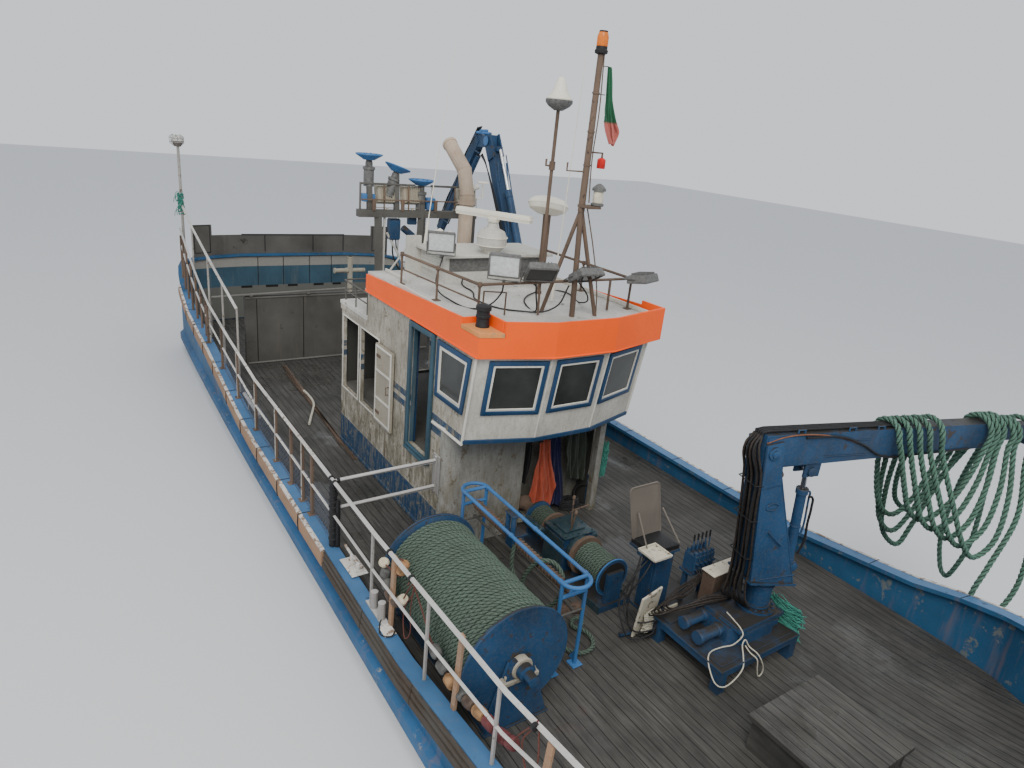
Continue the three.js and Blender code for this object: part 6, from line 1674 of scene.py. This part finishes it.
# %% Deck rails and scupper hose
angle_bars = []
for (x0, y0), (x1, y1) in (((-5.8, -1.62), (-1.3, -1.86)), ((-5.27, -1.7), (-0.66, -1.86))):
    for dy, high in ((0, 0.045), (0.05, 0.012)):
        angle_bars.append(cut_plate([(x0, y0 + dy, DECK_Z), (x1, y1 + dy, DECK_Z),
            (x1, y1 + dy + 0.012 + 0.02 * (high < 0.02), DECK_Z),
            (x0, y0 + dy + 0.012 + 0.02 * (high < 0.02), DECK_Z)], (0, 0, high), 0.002))
finished("deck_angle_bars", angle_bars, rusty_steel)
stub = pipe(flowing([(-3.95, -1.15 - 0.55, 0.66), (-3.75, -1.66, 0.62), (-3.29, -1.7, 0.61),
    (-2.69, -1.95, 0.61), (-2.34, -2.1, 0.61)], 6), 0.024, 8)
finished("deck_pipe_pale", [stub], pale_twine)
print("aft deck dressed")


# %% [markdown]
# ## The bow crane
# The crane is described in its own directions: u along the boom, v across it, z up. One helper turns such a
# place into metres on the boat, so that every fitting is placed by the part that carries it.

# %% Crane directions and a hanging lead
CRANE_HEADING = radians(76)


def in_crane(u, v, z):
    c, s = cos(CRANE_HEADING), sin(CRANE_HEADING)
    return Vector((5.8 + u * c - v * s, 0.8 + u * s + v * c, z))


def crane_line(points, radius, sides=8, smooth=False):
    return pipe([in_crane(*p) for p in points], radius, sides, smooth=smooth)


def lead(name, points, diameter, finish, slot, body="boat", rope=False, per=8, **facts):
    """A free hose or rope along a route; the length of its route is printed."""
    line = evenly(flowing(points, per), diameter * 0.7)
    tube = laid_rope(line, diameter) if rope else pipe(line, diameter / 2, 10)
    piece = finished(name, [tube], finish, body, slot)
    tuple(line[0])
    run_length(line)
    [tuple(p) for p in line]
    print(name, round(run_length(line), 2), "m")
    return piece


hose_brown = plain_finish("hose_brown", (0.032, 0.026, 0.022), 0.6, grain_scale=40, grain=0.5, bump=0.15)
copper_line = plain_finish("copper_line", (0.3, 0.13, 0.07), 0.4, 0.8, 40, 0.3)
seat_brown = worn_paint("seat_brown", (0.155, 0.135, 0.115), tone=0.2, chips=0.2, under=(0.09, 0.08, 0.07),
    chip_size=9, runs=0.25, run_colour=(0.09, 0.08, 0.07), dirt=0.4, rough=0.7)
stained_cream = worn_paint("stained_cream", (0.6, 0.56, 0.45), tone=0.2, chips=0.55, under=(0.15, 0.11, 0.08),
    chip_size=12, runs=0.2, dirt=0.5, rough=0.6)
print("crane directions ready")

# %% Plates and pins of the crane
face = [crane_line([(-0.27 + 0.085 * cos(a), -0.164, 2.62 + 0.045 * sin(a))
    for a in [tau * k / 16 for k in range(17)]], 0.008, 6),
    crane_line([(-0.24, -0.165, 2.3), (-0.24, -0.205, 2.29), (-0.05, -0.215, 2.12), (-0.05, -0.175, 2.12)],
    0.012)]
for z, (u0, u1) in ((3.03, (-0.49, -0.25)), (1.66, (-0.34, 0.29))):
    face.append(crane_line([(u0, -0.15 - 0.04 * (z < 2), z), (u1, -0.15 - 0.04 * (z < 2), z)], 0.009, 6))
for u, v in ((-0.33, -0.19), (0.3, -0.19)):
    face.append(crane_line([(u, v, 1.64 - 0.11 * (u > 0)), (u - 0.16 if u < 0 else -0.25, -0.146, 3.03)],
        0.008, 6))
foot = [turned([(0.018, 0), (0.018, 0.022), (0.01, 0.026)], in_crane(0.2 * cos(a), 0.2 * sin(a), 1.175),
    (0, 0, 1), 6) for a in angles(14)]
foot += [turned([(0.152, 0), (0.166, 0.004), (0.166, 0.03), (0.152, 0.034)], (5.8, 0.8, z), (0, 0, 1), 28)
    for z in (1.18, 1.46)]
across = in_crane(0, 1, 0) - in_crane(0, 0, 0)


def bosses(profile, u, z, sides):
    """The same turned boss on both sides of the crane."""
    return [turned(profile, in_crane(u, 0, z), way, sides) for way in (across, -across)]


eyes = bosses([(0.075, 0.165), (0.075, 0.187), (0.045, 0.19), (0.045, 0.205), (0.03, 0.21)], -0.43, 3.3, 20)
eyes += bosses([(0.055, 0.095), (0.055, 0.112), (0.03, 0.118)], 0.335, 1.7, 16)
finished("crane_column_fittings", [*face, *foot, *eyes], gear_blue, "crane_column")
boom_bits = bosses([(0.062, 0.112), (0.062, 0.125), (0.03, 0.13)], -0.43, 3.3, 18)
boom_bits += bosses([(0.06, 0.088), (0.06, 0.105), (0.03, 0.11)], 0.24, 2.985, 16)
boom_bits += [crane_line([(u, -0.09, 3.468 - 0.014 * u), (u, -0.09, 3.52 - 0.014 * u),
    (u + 0.09, -0.09, 3.52 - 0.014 * u), (u + 0.09, -0.09, 3.465 - 0.014 * u)], 0.011, 6)
    for u in (-0.1, 0.62, 1.05)]
boom_bits += [crane_line([(0.05, -0.113, 3.19), (0.95, -0.111, 3.17)], 0.008, 6),
    crane_line([(0.6, -0.113, 3.37), (0.95, -0.112, 3.36)], 0.006, 6)]
boom_bits.append(cut_plate([in_crane(u, -0.111, z)
    for u, z in ((-0.5, 3.14), (-0.1, 3.1), (0.25, 3.11), (0.34, 3.17), (0.12, 3.33), (-0.2, 3.46),
    (-0.5, 3.46))], across * -0.01, 0.002))
finished("crane_boom_fittings", boom_bits, gear_blue, "crane_boom")
hook = crane_line([(-0.22, -0.06, 3.09), (-0.21, -0.06, 3.02), (-0.25, -0.06, 2.96), (-0.2, -0.06, 2.92),
    (-0.14, -0.06, 2.95), (-0.16, -0.06, 3.0)], 0.012, 8, smooth=True)
finished("crane_small_hook", [hook], rusty_steel, "crane_boom")


def on_cylinder(t, v=0.0, out=0.0):
    return in_crane(0.335 - 0.095 * t + out, v, 1.7 + 1.285 * t)


gland = [bar(on_cylinder(t0), on_cylinder(t1), r, 24, 0.004)
    for t0, t1, r in ((0.745, 0.8, 0.072), (0.02, 0.07, 0.066), (0.4, 0.42, 0.064))]
gland.append(pipe([on_cylinder(t, -0.02, 0.072 + o)
    for t, o in ((0.77, 0), (0.76, 0.03), (0.7, 0.03), (0.35, 0.025), (0.3, 0.0))], 0.012, 8, smooth=True))
finished("lift_cylinder_rings", gland, gear_blue, "lift_cylinder")
feed = [pipe([on_cylinder(t, -0.06, 0.06 + o) for t, o in ((0.73, 0), (0.72, 0.05), (0.62, 0.07),
    (0.45, 0.06), (0.24, 0.06), (0.12, 0.0))], 0.014, 8, smooth=True)]
finished("lift_cylinder_hose", feed, black_rubber, "lift_cylinder")
print("crane plates and pins placed")

# %% Hoses along the boom and down the column
boom_hoses = [crane_line([(-0.56, v, 3.44), (-0.54, v, 3.5), (-0.46, v, 3.512), (0.4, v, 3.503),
    (1.3, v, 3.49), (1.5, v, 3.484)], 0.013, 8) for v in (-0.05, -0.015, 0.02, 0.055)]
boom_hoses.append(crane_line([(0.0, -0.125, 3.44), (0.5, -0.127, 3.42), (0.85, -0.127, 3.3),
    (1.2, -0.127, 3.13), (1.6, -0.125, 3.12), (2.6, -0.12, 3.14)], 0.013, 8, smooth=True))
finished("boom_hoses", boom_hoses, black_rubber, "crane_boom")
finished("boom_copper_line", [crane_line([(-0.52, -0.118, 3.4), (-0.3, -0.12, 3.46), (0.1, -0.122, 3.47),
    (0.5, -0.122, 3.41), (0.9, -0.12, 3.28)], 0.009, 6, smooth=True)], copper_line, "crane_boom")


def column_side(z):
    """The column leans, so its hose side is further out the higher up."""
    return -0.335 - 0.113 * (z - 1.64)


column_hoses = []
for k in range(12):
    v, out = -0.14 + 0.023 * k, 0.018 + 0.027 * (k * 2 % 3)
    run = [(-0.565, v * 0.5, 3.47), (-0.575 - out, v * 0.7, 3.34),
        *[(column_side(z) - out - 0.012 * sin(3 * z + k), v, z) for z in (3.0, 2.6, 2.2, 1.8)],
        (column_side(1.5) - out * 1.5, v, 1.5), (-0.29 - 0.014 * k, v * 1.1, 1.31), (-0.19, v * 0.9, 1.21)]
    column_hoses.append(crane_line(run, 0.0135, 8, smooth=True))
finished("column_hoses", column_hoses[::2], hose_brown, "crane_column")
ties = [crane_line([(column_side(z) + 0.01, -0.165, z), (column_side(z) - 0.09, -0.155, z),
    (column_side(z) - 0.09, 0.14, z), (column_side(z) + 0.01, 0.165, z)], 0.007, 6)
    for z in (1.95, 2.45, 2.9)]
finished("column_hoses_dark", [*column_hoses[1::2], *ties], black_rubber, "crane_column")
print("hoses clipped on")

# %% [markdown]
# ## Seat and valve bank
# The operator sits beside the crane on a bent steel plate, behind a tray and a row of levers. The plain CAD
# block of these controls is replaced: the seat is a thin plate with rounded corners and a rolled rim, and
# each of the five valves has its own section, cap and lever.

# %% Seat, tray and valve bank
seat_foot, seat_head = Vector((4.49, 0.125, 1.53)), Vector((4.44, -0.02, 2.28))
rise = seat_head - seat_foot
back_edge = []
for cx, cz, a0 in ((1, 1, 0), (-1, 1, 90), (-1, 0, 180), (1, 0, 270)):
    for k in range(6):
        a = radians(a0 + 18 * k)
        back_edge.append(seat_foot + Vector((0, cx * 0.19 + 0.06 * cos(a),
            0)) + rise * (0.08 + cz * 0.84 + 0.08 * sin(a)))
seat_plate = cut_plate(back_edge, (0.012, 0, 0), 0.003)
seat_rim = pipe([p + Vector((0.012, 0, 0)) for p in back_edge], 0.011, 8, closed=True)
rods = [bar((4.5, -0.1, 1.93), (4.76, -0.12, 1.56), 0.011, 8),
    bar((4.5, 0.33, 1.9), (4.84, 0.37, 1.56), 0.011, 8)]
stand = [slab((4.52, -0.04, DECK_Z), (5.02, 1.1, 0.62), 0.008),
    slab((4.6, 0.0, 0.61), (4.86, 0.3, 1.45), 0.01), slab((4.46, -0.13, 1.45), (4.87, 0.38, 1.492), 0.006),
    slab((4.72, -0.25, 1.5), (4.8, 0.0, 1.55), 0.006)]
stand += [slab((4.66 + 0.12 * k, -0.012, 0.66), (4.7 + 0.12 * k, 0.0, 1.4), 0.003) for k in range(2)]
seat_back = finished("seat_back", [seat_plate, seat_rim, *rods], seat_brown)
controls_stand = finished("controls_stand", stand, gear_blue)
bpy.ops.mesh.primitive_cube_add(size=1, location=(4.665, 0.125, 1.525))
pad = bpy.context.object
pad.scale = (0.39, 0.48, 0.062)
with editing(settle(pad)):
    bpy.ops.mesh.subdivide(number_cuts=9)
for vertex in pad.data.vertices:
    s, t = (vertex.co.x - 4.665) / 0.195, (vertex.co.y - 0.125) / 0.24
    crown = (1 - s * s) * (1 - t * t)
    vertex.co.x -= 0.012 * s * (1 - t * t) * (abs(s) > 0.99)
    vertex.co.y -= 0.012 * t * (1 - s * s) * (abs(t) > 0.99)
    vertex.co.z += (0.016 * crown - 0.006) if vertex.co.z > 1.53 else 0
soft = pad.modifiers.new("round", "BEVEL")
soft.width, soft.segments, soft.limit_method = 0.012, 3, "ANGLE"
alone(pad)
bpy.ops.object.modifier_apply(modifier="round")
seat_pad = finished("seat_pad", [pad], black_rubber)
tray = [slab((4.73, -0.24, 1.548), (5.03, 0.05, 1.562), 0.004)]
tray += [pipe([(4.735, -0.235, 1.575), (5.025, -0.235, 1.575), (5.025, 0.045, 1.575), (4.735, 0.045, 1.575)],
    0.015, 8, closed=True)]
controls_tray = finished("controls_tray", tray, stained_cream)
bank = [slab((4.76, 0.565, 1.06), (4.97, 1.055, 1.1), 0.006),
    slab((4.8, 0.6, 0.6), (4.86, 0.66, 1.08), 0.006), slab((4.8, 0.96, 0.6), (4.86, 1.02, 1.08), 0.006)]
knobs = []
for i in range(5):
    y = 0.64 + 0.075 * i
    bank += [slab((4.765, y - 0.032, 1.09), (4.965, y + 0.032, 1.34), 0.008),
        bar((4.8, y, 1.33), (4.8, y, 1.4), 0.026, 14, 0.004),
        bar((4.93, y, 1.33), (4.93, y, 1.385), 0.03, 14, 0.004),
        bar((4.96, y, 1.24), (5.0, y, 1.24), 0.022, 12, 0.003),
        bar((4.96, y, 1.15), (4.99, y, 1.15), 0.018, 12, 0.003),
        bar((4.87, y, 1.37), (4.845, y + 0.012, 1.53), 0.008, 8)]
    knobs.append(bar((4.846, y + 0.011, 1.51), (4.835, y + 0.016, 1.6), 0.013, 10, 0.003))
valve_bank = finished("valve_bank", bank, gear_blue)
finished("lever_grips", knobs, black_rubber)
for piece in (seat_back, controls_stand, seat_pad, controls_tray, valve_bank):
    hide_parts("crane_controls")
print("seat and valve bank built")

# %% Crane platform: cabinet, ribs, casings and canister
rim_line = [(5.2, -0.26), (6.26, -0.26), (6.26, 1.12), (5.2, 1.12)]
ribs = [pipe([(x, y, 0.895) for x, y in rim_line], 0.016, 8, closed=True)]
ribs += [slab((6.062, y, 1.01), (6.085, y + 0.09, 1.085), 0.004) for y in (0.22, 0.34, 0.46, 0.58, 0.7, 0.82)]
ribs += [slab((6.0, -0.2, 0.9), (6.2, 1.06, 0.912), 0.004), slab((5.25, -0.2, 0.9), (5.4, 0.4, 0.912), 0.004)]
ribs += [turned([(0.078, 0), (0.084, 0.01), (0.084, 0.05), (0.078, 0.06)], (x, y, 1.03), (0, 1, 0), 24)
    for x, y0 in ((5.55, -0.17), (5.82, -0.22)) for y in (y0 - 0.005, y0 + 0.3)]
ribs += [pipe([(5.43, 0.22, 1.142), (6.06, 0.22, 1.142), (6.06, 1.0, 1.142), (5.43, 1.0, 1.142)], 0.008, 6,
    closed=True)]
ribs += [slab((5.12, y, 0.6), (5.16, y + 0.05, 0.89), 0.005) for y in (-0.2, 0.95)]
ribs += [pipe([(5.02, -0.62, 0.62), (5.08, -0.3, 0.63), (5.14, 0.1, 0.62), (5.13, 0.6, 0.62)], 0.03, 8)]
finished("platform_ribs", ribs, gear_blue)
finished("platform_cabinet", [slab((5.215, 0.46, 0.903), (5.405, 1.0, 1.37), 0.006)], rusty_steel)
finished("cabinet_lid", [slab((5.2, 0.44, 1.37), (5.41, 1.02, 1.388), 0.005)], stained_cream)
casings = [slab((5.075, -0.5, 0.6), (5.105, -0.08, 1.2), 0.008, 1, turn_y=0.1, turn_z=0.2),
    slab((5.09, 0.02, 0.6), (5.115, 0.24, 0.86), 0.006)]
finished("crane_casings", casings, stained_cream)
can = turned([(0.02, 0), (0.045, 0.012), (0.055, 0.035), (0.055, 0.2), (0.045, 0.225), (0.02, 0.235)],
    (5.6, 0.92, 1.2), (0.35, 0.9, 0.12), 20)
finished("crane_canister", [can], grey_metal)
finished("crane_net_bundle", tangle((6.0, 1.15, 0.98), (0.3, 0.06, 0.2), 64, 0.006, 11, 9), net_twine)
finished("casing_net_bundle", tangle((5.15, -0.25, 0.8), (0.035, 0.16, 0.16), 40, 0.007, 12, 8), pale_twine)
print("platform dressed")

# %% [markdown]
# Hoses hang from the valve bank to the crane's foot. Each is a free hose with its own route: it leaves the
# bank, drops, swings out and comes back up on the lid. Neighbours follow the same curve a little apart.

# %% Hanging hoses
for k in range(9):
    far, side = k * 0.021, 0.05 * sin(2.4 * k)
    lead(f"valve_hose_{k + 1}", [(4.985, 0.64 + 0.042 * k, 1.15), (5.05, 0.6 + 0.03 * k, 1.12),
        (5.1 + side, 0.44 - far, 1.02 - side), (5.12 + side, 0.16 - far, 0.98 + side),
        (5.2 + side, -0.08 - far * 1.6, 0.99 + side * 1.4), (5.34 + side, -0.12 - far * 1.5, 1.06 + side),
        (5.44, 0.06 - far, 1.13 + side * 0.6), (5.47 + far * 0.6, 0.26 - far * 0.4, 1.21 + side * 0.6),
        (5.52 + far * 0.5, 0.44, 1.19 + side * 0.4), (5.58, 0.56 + 0.01 * k, 1.154)], 0.019, hose_brown,
        "bare_grey", far_end="object", stiffness="medium", lay="hanging")
for k, (drop, out) in enumerate(((0.62, 0.0), (0.72, 0.08), (0.66, 0.16), (0.84, 0.05))):
    lead(f"tray_hose_{k + 1}", [(4.76 + 0.06 * k, -0.2, 1.49), (4.82 + 0.05 * k, -0.3 - out, 1.34),
        (4.92, -0.46 - out, 1.05), (5.0 + out * 0.5, -0.5 - out, drop + 0.14),
        (5.12 + out * 0.4, -0.42 - out, drop), (5.26, -0.28 - out * 0.3, drop + 0.05),
        (5.24, -0.28, 0.86 - 0.02 * k)], 0.02, black_rubber, "bare_grey", far_end="object",
        stiffness="medium", lay="hanging")


# %% [markdown]
# ## Rope over the boom
# A long rope is hung over the crane's boom in big loops: down in front, up and over, down behind, and back.
# Every swing has its own low point, and each lies a rope's width outside the last, so that none cuts another.

# %% Hanks on the boom
HANK = 0.074
hank_green = rope_finish("hank_green", (0.12, 0.235, 0.175), (0.05, 0.11, 0.082), grime=0.3)


def boom_top(u):
    return 3.485 - 0.0109 * (u + 0.52) if u < 3.15 else 3.385


def over_boom(u, front):
    """The half turn of rope over the boom, starting in front of it or behind it."""
    reach = [(-0.2, -0.12), (-0.155, 0.0), (-0.06, 0.068), (0.06, 0.068), (0.155, 0.0), (0.2, -0.12)]
    return [(u, v if front else -v, boom_top(u) + up) for v, up in reach]


def swing(u0, u1, low, out):
    """A hanging loop between two places on the boom."""
    (lu, lz), side = low, 1 if out > 0 else -1
    top = 3.33
    return [(u0 + 0.1 * (lu - u0), side * 0.21, top - 0.14 * (top - lz)),
        (u0 + 0.36 * (lu - u0), 0.6 * out + side * 0.09, top - 0.55 * (top - lz)),
        (u0 + 0.62 * (lu - u0), out, top - 0.86 * (top - lz)), (lu, out, lz),
        (u1 + 0.55 * (lu - u1), out, top - 0.84 * (top - lz)),
        (u1 + 0.26 * (lu - u1), 0.6 * out + side * 0.09, top - 0.5 * (top - lz)),
        (u1 + 0.07 * (lu - u1), side * 0.21, top - 0.14 * (top - lz))]


SWINGS = [  # from, to, lowest point, distance from the boom (in front is negative)
    (1.30, 2.80, (2.08, 2.24), -0.23), (2.80, 1.46, (2.12, 2.04), 0.23), (1.46, 2.91, (2.22, 2.14), -0.31),
    (2.91, 1.62, (2.32, 1.72), 0.31), (1.62, 3.02, (2.38, 2.04), -0.39), (3.02, 1.78, (2.60, 1.42), 0.39),
    (1.78, 3.22, (2.55, 1.96), -0.47), (3.22, 1.98, (2.78, 1.88), 0.48), (1.98, 3.33, (2.75, 1.82), -0.55)]
hank_line = [(1.3, 0.13, 3.33), (1.3, 0.17, 3.42)] + over_boom(1.3, False)[1:]
for n, (u0, u1, low, out) in enumerate(SWINGS):
    hank_line += swing(u0, u1, low, out) + over_boom(u1, out < 0)
hank_line += [(3.36, 0.24, 3.0), (3.44, 0.4, 2.3), (3.52, 0.46, 1.5), (3.6, 0.4, 1.02), (3.54, 0.24, 0.9),
    (3.46, 0.1, 1.05), (3.5, 0.02, 1.6), (3.53, 0.1, 2.4), (3.54, 0.17, 3.0), *over_boom(3.55, False),
    (3.5, -0.28, 2.9), (3.35, -0.5, 2.3), (2.96, -0.62, 1.7), (2.8, -0.64, 1.32), (2.92, -0.64, 0.98),
    (3.18, -0.64, 0.86), (3.48, -0.64, 0.98), (3.64, -0.64, 1.35), (3.6, -0.62, 1.9), (3.44, -0.6, 2.35)]
lead("boom_rope", [in_crane(*p) for p in hank_line], HANK, hank_green, "rope_green", "crane_boom", True, 7,
    far_end="knot", stiffness="limp", lay="hanging")

# %% Loose rope at the guide
lead("guide_rope", [(4.045, -1.645, 1.605), (4.07, -1.68, 1.48), (4.1, -1.69, 1.33), (4.2, -1.67, 1.2),
    (4.38, -1.65, 1.11), (4.6, -1.62, 1.1), (4.76, -1.55, 1.2), (4.82, -1.48, 1.4), (4.77, -1.46, 1.58),
    (4.68, -1.5, 1.69), (4.6, -1.58, 1.715), (4.52, -1.66, 1.66), (4.42, -1.7, 1.48), (4.36, -1.71, 1.28),
    (4.38, -1.7, 1.02), (4.5, -1.66, 0.84), (4.7, -1.56, 0.74), (4.92, -1.42, 0.66), (5.05, -1.24, 0.612),
    (5.02, -1.04, 0.611), (4.84, -0.95, 0.611), (4.66, -1.0, 0.611)], 0.057, green_rope, "rope_green",
    rope=True, far_end="knot", stiffness="limp", lay="loose")
finished("guide_rope_knot", [laid_rope(flowing([(4.7, -1.02, 0.612), (4.62, -1.06, 0.64), (4.58, -1.0, 0.68),
    (4.64, -0.93, 0.69), (4.7, -0.98, 0.66), (4.65, -1.05, 0.62), (4.56, -1.03, 0.612)], 8), 0.05)],
    green_rope)

# %% Pale cord on the crane platform
lead("platform_cord", [(5.76, 0.33, 1.152), (5.9, 0.29, 1.153), (6.03, 0.245, 1.155), (6.095, 0.225, 1.1),
    (6.06, 0.14, 0.98), (5.99, 0.05, 0.925), (5.97, -0.1, 0.913), (6.02, -0.22, 0.915), (6.12, -0.295, 0.86),
    (6.24, -0.31, 0.76), (6.3, -0.22, 0.72), (6.305, -0.06, 0.76), (6.295, 0.06, 0.86), (6.22, 0.14, 0.93),
    (6.13, 0.21, 1.0), (6.115, 0.27, 1.04), (6.16, 0.31, 0.96), (6.25, 0.345, 0.925), (6.298, 0.39, 0.84),
    (6.305, 0.46, 0.7), (6.305, 0.45, 0.62), (6.305, 0.39, 0.62), (6.3, 0.345, 0.74), (6.29, 0.31, 0.88),
    (6.21, 0.265, 0.935), (6.15, 0.235, 1.0)], 0.016, pale_twine, "beige", far_end="knot", stiffness="limp",
    lay="hanging")
print("ropes hung")

# %% [markdown]
# ## Oilskins and flag
# The oilskins hang on hooks under the wheelhouse front. Each is a sheet between two edges that were measured
# from the photograph: a grid is laid in folds between them, pinned along its top, and let fall under gravity
# by the Cloth modifier, which rounds the folds; then the cloth gets its thickness.

# %% Hanging cloth
def oilskin(name, colour, rough=0.5, low=None):
    """Wet coated cloth: fine creases with painted shade darkening their folds; low is a second colour below a
    height.
    """
    mix = Recipe(name)
    crease = mix.noise(9, 6, 0.65, (1, 1, 0.35))
    # painted shade: the colour falls to 55 percent in the folds, where the crease noise is low
    tone = mix.blended(mix.step(crease, 0.3, 0.7), tuple(c * 0.55 for c in colour), colour)
    if low:
        tone = mix.blended(mix.step(mix.axis("Z"), low[0], low[0] + 0.03), low[1], tone)
    return mix.done(tone, rough, crease, 0.5, 0.012, Sheen_Weight=0.15)


def hung_cloth(name, at_x, left, right, folds, depth, finish, phase=0.0, frames=16, columns=40,
        rows=44):
    """A cloth between two edges of (y, z) points, set in folds and let fall, then given its thickness."""
    bpy.ops.mesh.primitive_grid_add(x_subdivisions=columns, y_subdivisions=rows)
    cloth = bpy.context.object
    edges = [flowing([Vector((at_x, *p)) for p in edge], 12) for edge in (left, right)]
    for k, vertex in enumerate(cloth.data.vertices):
        s, t = k % (columns + 1) / columns, k // (columns + 1) / rows
        a, b = [edge[round(t * (len(edge) - 1))] for edge in edges]
        wave = sin(tau * folds * s + phase + 0.9 * sin(4.5 * t + phase)) + 0.35 * sin(tau * folds * 2.3 * s +
            3 * t)
        vertex.co = a.lerp(b, s) + Vector((depth * (0.35 + 0.65 * t) * wave, 0, 0))
    pins = cloth.vertex_groups.new(name="pins")
    for k in range(len(cloth.data.vertices)):
        pins.add([k], 1.0 if k < 2 * (columns + 1) else 0.12, "REPLACE")
    fall = cloth.modifiers.new("fall", "CLOTH")
    fall.settings.vertex_group_mass, fall.settings.mass, fall.settings.quality = "pins", 0.25, 6
    fall.settings.bending_stiffness, fall.settings.tension_stiffness = 1.5, 30
    for moment in range(1, frames + 1):
        bpy.context.scene.frame_set(moment)
    alone(cloth)
    bpy.ops.object.modifier_apply(modifier="fall")
    bpy.context.scene.frame_set(1)
    cloth.vertex_groups.clear()
    tall = run_length(edges[0])
    skin = cloth.modifiers.new("thickness", "SOLIDIFY")
    skin.thickness = 0.004
    alone(cloth)
    bpy.ops.object.modifier_apply(modifier="thickness")
    with editing(cloth):
        face_outwards()
    piece = finished(name, [cloth], finish, slot="orange", smooth=60)
    return piece


coral = oilskin("coral_oilskin", (0.52, 0.105, 0.055), 0.55)
navy = oilskin("navy_oilskin", (0.018, 0.02, 0.075), 0.5)
dark_green = oilskin("green_oilskin", (0.035, 0.045, 0.032), 0.6)
black_cloth = oilskin("black_cloth", (0.014, 0.014, 0.015), 0.7)
hooks = [bar((2.3, -0.36, 1.972), (2.3, 0.96, 1.972), 0.011, 10)]
hooks += [pipe([(2.3, y, 1.975), (2.335, y, 1.96), (2.335, y, 1.93), (2.3, y, 1.925)], 0.005, 6)
    for y in (-0.24, -0.07, 0.08, 0.3, 0.64, 0.85)]
hooks += [bar((2.3, y, 1.972), (2.3, y, 2.005), 0.01, 8) for y in (-0.34, 0.3, 0.94)]
finished("oilskin_hooks", hooks, rusty_steel)
hung_cloth("coral_jacket", 2.34, [(-0.12, 1.94), (-0.09, 1.71), (-0.15, 1.49), (-0.2, 1.19), (-0.29, 0.9)],
    [(-0.02, 1.94), (-0.02, 1.72), (0.2, 1.3), (0.15, 1.03), (0.11, 0.74)], 1.5, 0.035, coral, 0.4)
hung_cloth("coral_trousers", 2.27, [(0.0, 1.94), (0.04, 1.66), (0.15, 1.38), (0.18, 1.1), (0.17, 0.82)],
    [(0.16, 1.92), (0.15, 1.65), (0.41, 1.28), (0.39, 1.04), (0.36, 0.75)], 1.2, 0.03, coral, 2.0)
hung_cloth("navy_overall", 2.2, [(0.19, 1.96), (0.17, 1.7), (0.32, 1.43), (0.42, 1.09), (0.42, 0.74)],
    [(0.38, 1.95), (0.42, 1.65), (0.51, 1.33), (0.64, 0.92), (0.7, 0.62)], 2.0, 0.03, navy, 1.0)
hung_cloth("green_coat", 2.28, [(0.47, 1.95), (0.45, 1.71), (0.52, 1.51), (0.54, 1.36), (0.58, 1.2)],
    [(0.84, 1.95), (0.93, 1.72), (0.93, 1.49), (0.95, 1.28), (0.95, 1.08)], 2.6, 0.04, dark_green,
    0.2)
hung_cloth("black_smock", 2.22, [(-0.33, 1.94), (-0.33, 1.73), (-0.32, 1.49), (-0.31, 1.25)],
    [(-0.15, 1.93), (-0.14, 1.69), (-0.16, 1.46), (-0.21, 1.23)], 1.4, 0.03, black_cloth, 2.2)
flag_cloth = oilskin("flag_cloth", (0.02, 0.12, 0.055), 0.8, (6.47, (0.42, 0.12, 0.1)))
hung_cloth("limp_flag", 2.66, [(-0.02, 7.12), (0.01, 6.98), (0.03, 6.76), (0.04, 6.58), (0.12, 6.43),
    (0.27, 6.28)], [(0.04, 7.12), (0.09, 7.02), (0.12, 6.77), (0.25, 6.56), (0.36, 6.44), (0.28, 6.27)], 2.2,
    0.03, flag_cloth, 0.5)
finished("flag_ties", [pipe([(2.6, -0.06, z), (2.63, -0.04, z), (2.665, 0.0, z)], 0.005, 5)
    for z in (7.12, 6.8)], black_rubber)
print("cloth hung")

# %% Net on the pillar and the pot
finished("pillar_net", tangle((2.42, 1.16, 1.47), (0.07, 0.06, 0.28), 60, 0.006, 21, 8), net_twine)
pot_axis = Vector((0.75, -0.55, 0.35)).normalized()
pot_turn = pot_axis.to_track_quat("Z", "Y").to_matrix()


def on_pot(angle, depth):
    """A place on the pot's round wall, below its mouth."""
    return Vector((2.3, 0.96, 0.8)) + pot_turn @ Vector((0.17 * cos(angle), 0.17 * sin(angle), -depth))


pot = [pipe([on_pot(a, depth) for a in angles(24)], 0.011, 8, closed=True) for depth in (0.0, 0.13, 0.26)]
for k in range(24):
    a, b = tau * k / 24, tau * (k + 3) / 24
    for p, q in ((a, b), (b, a)):
        pot.append(pipe([on_pot(p, 0.0), on_pot(q, 0.26)], 0.0035, 4))
finished("net_pot", pot, black_rubber)
finished("pot_net", tangle((2.22, 0.72, 0.66), (0.14, 0.22, 0.08), 56, 0.008, 23, 8), black_cloth)
finished("alcove_net", tangle((2.24, -0.12, 0.64), (0.12, 0.24, 0.06), 50, 0.008, 24, 8), pale_twine)
print("alcove filled")
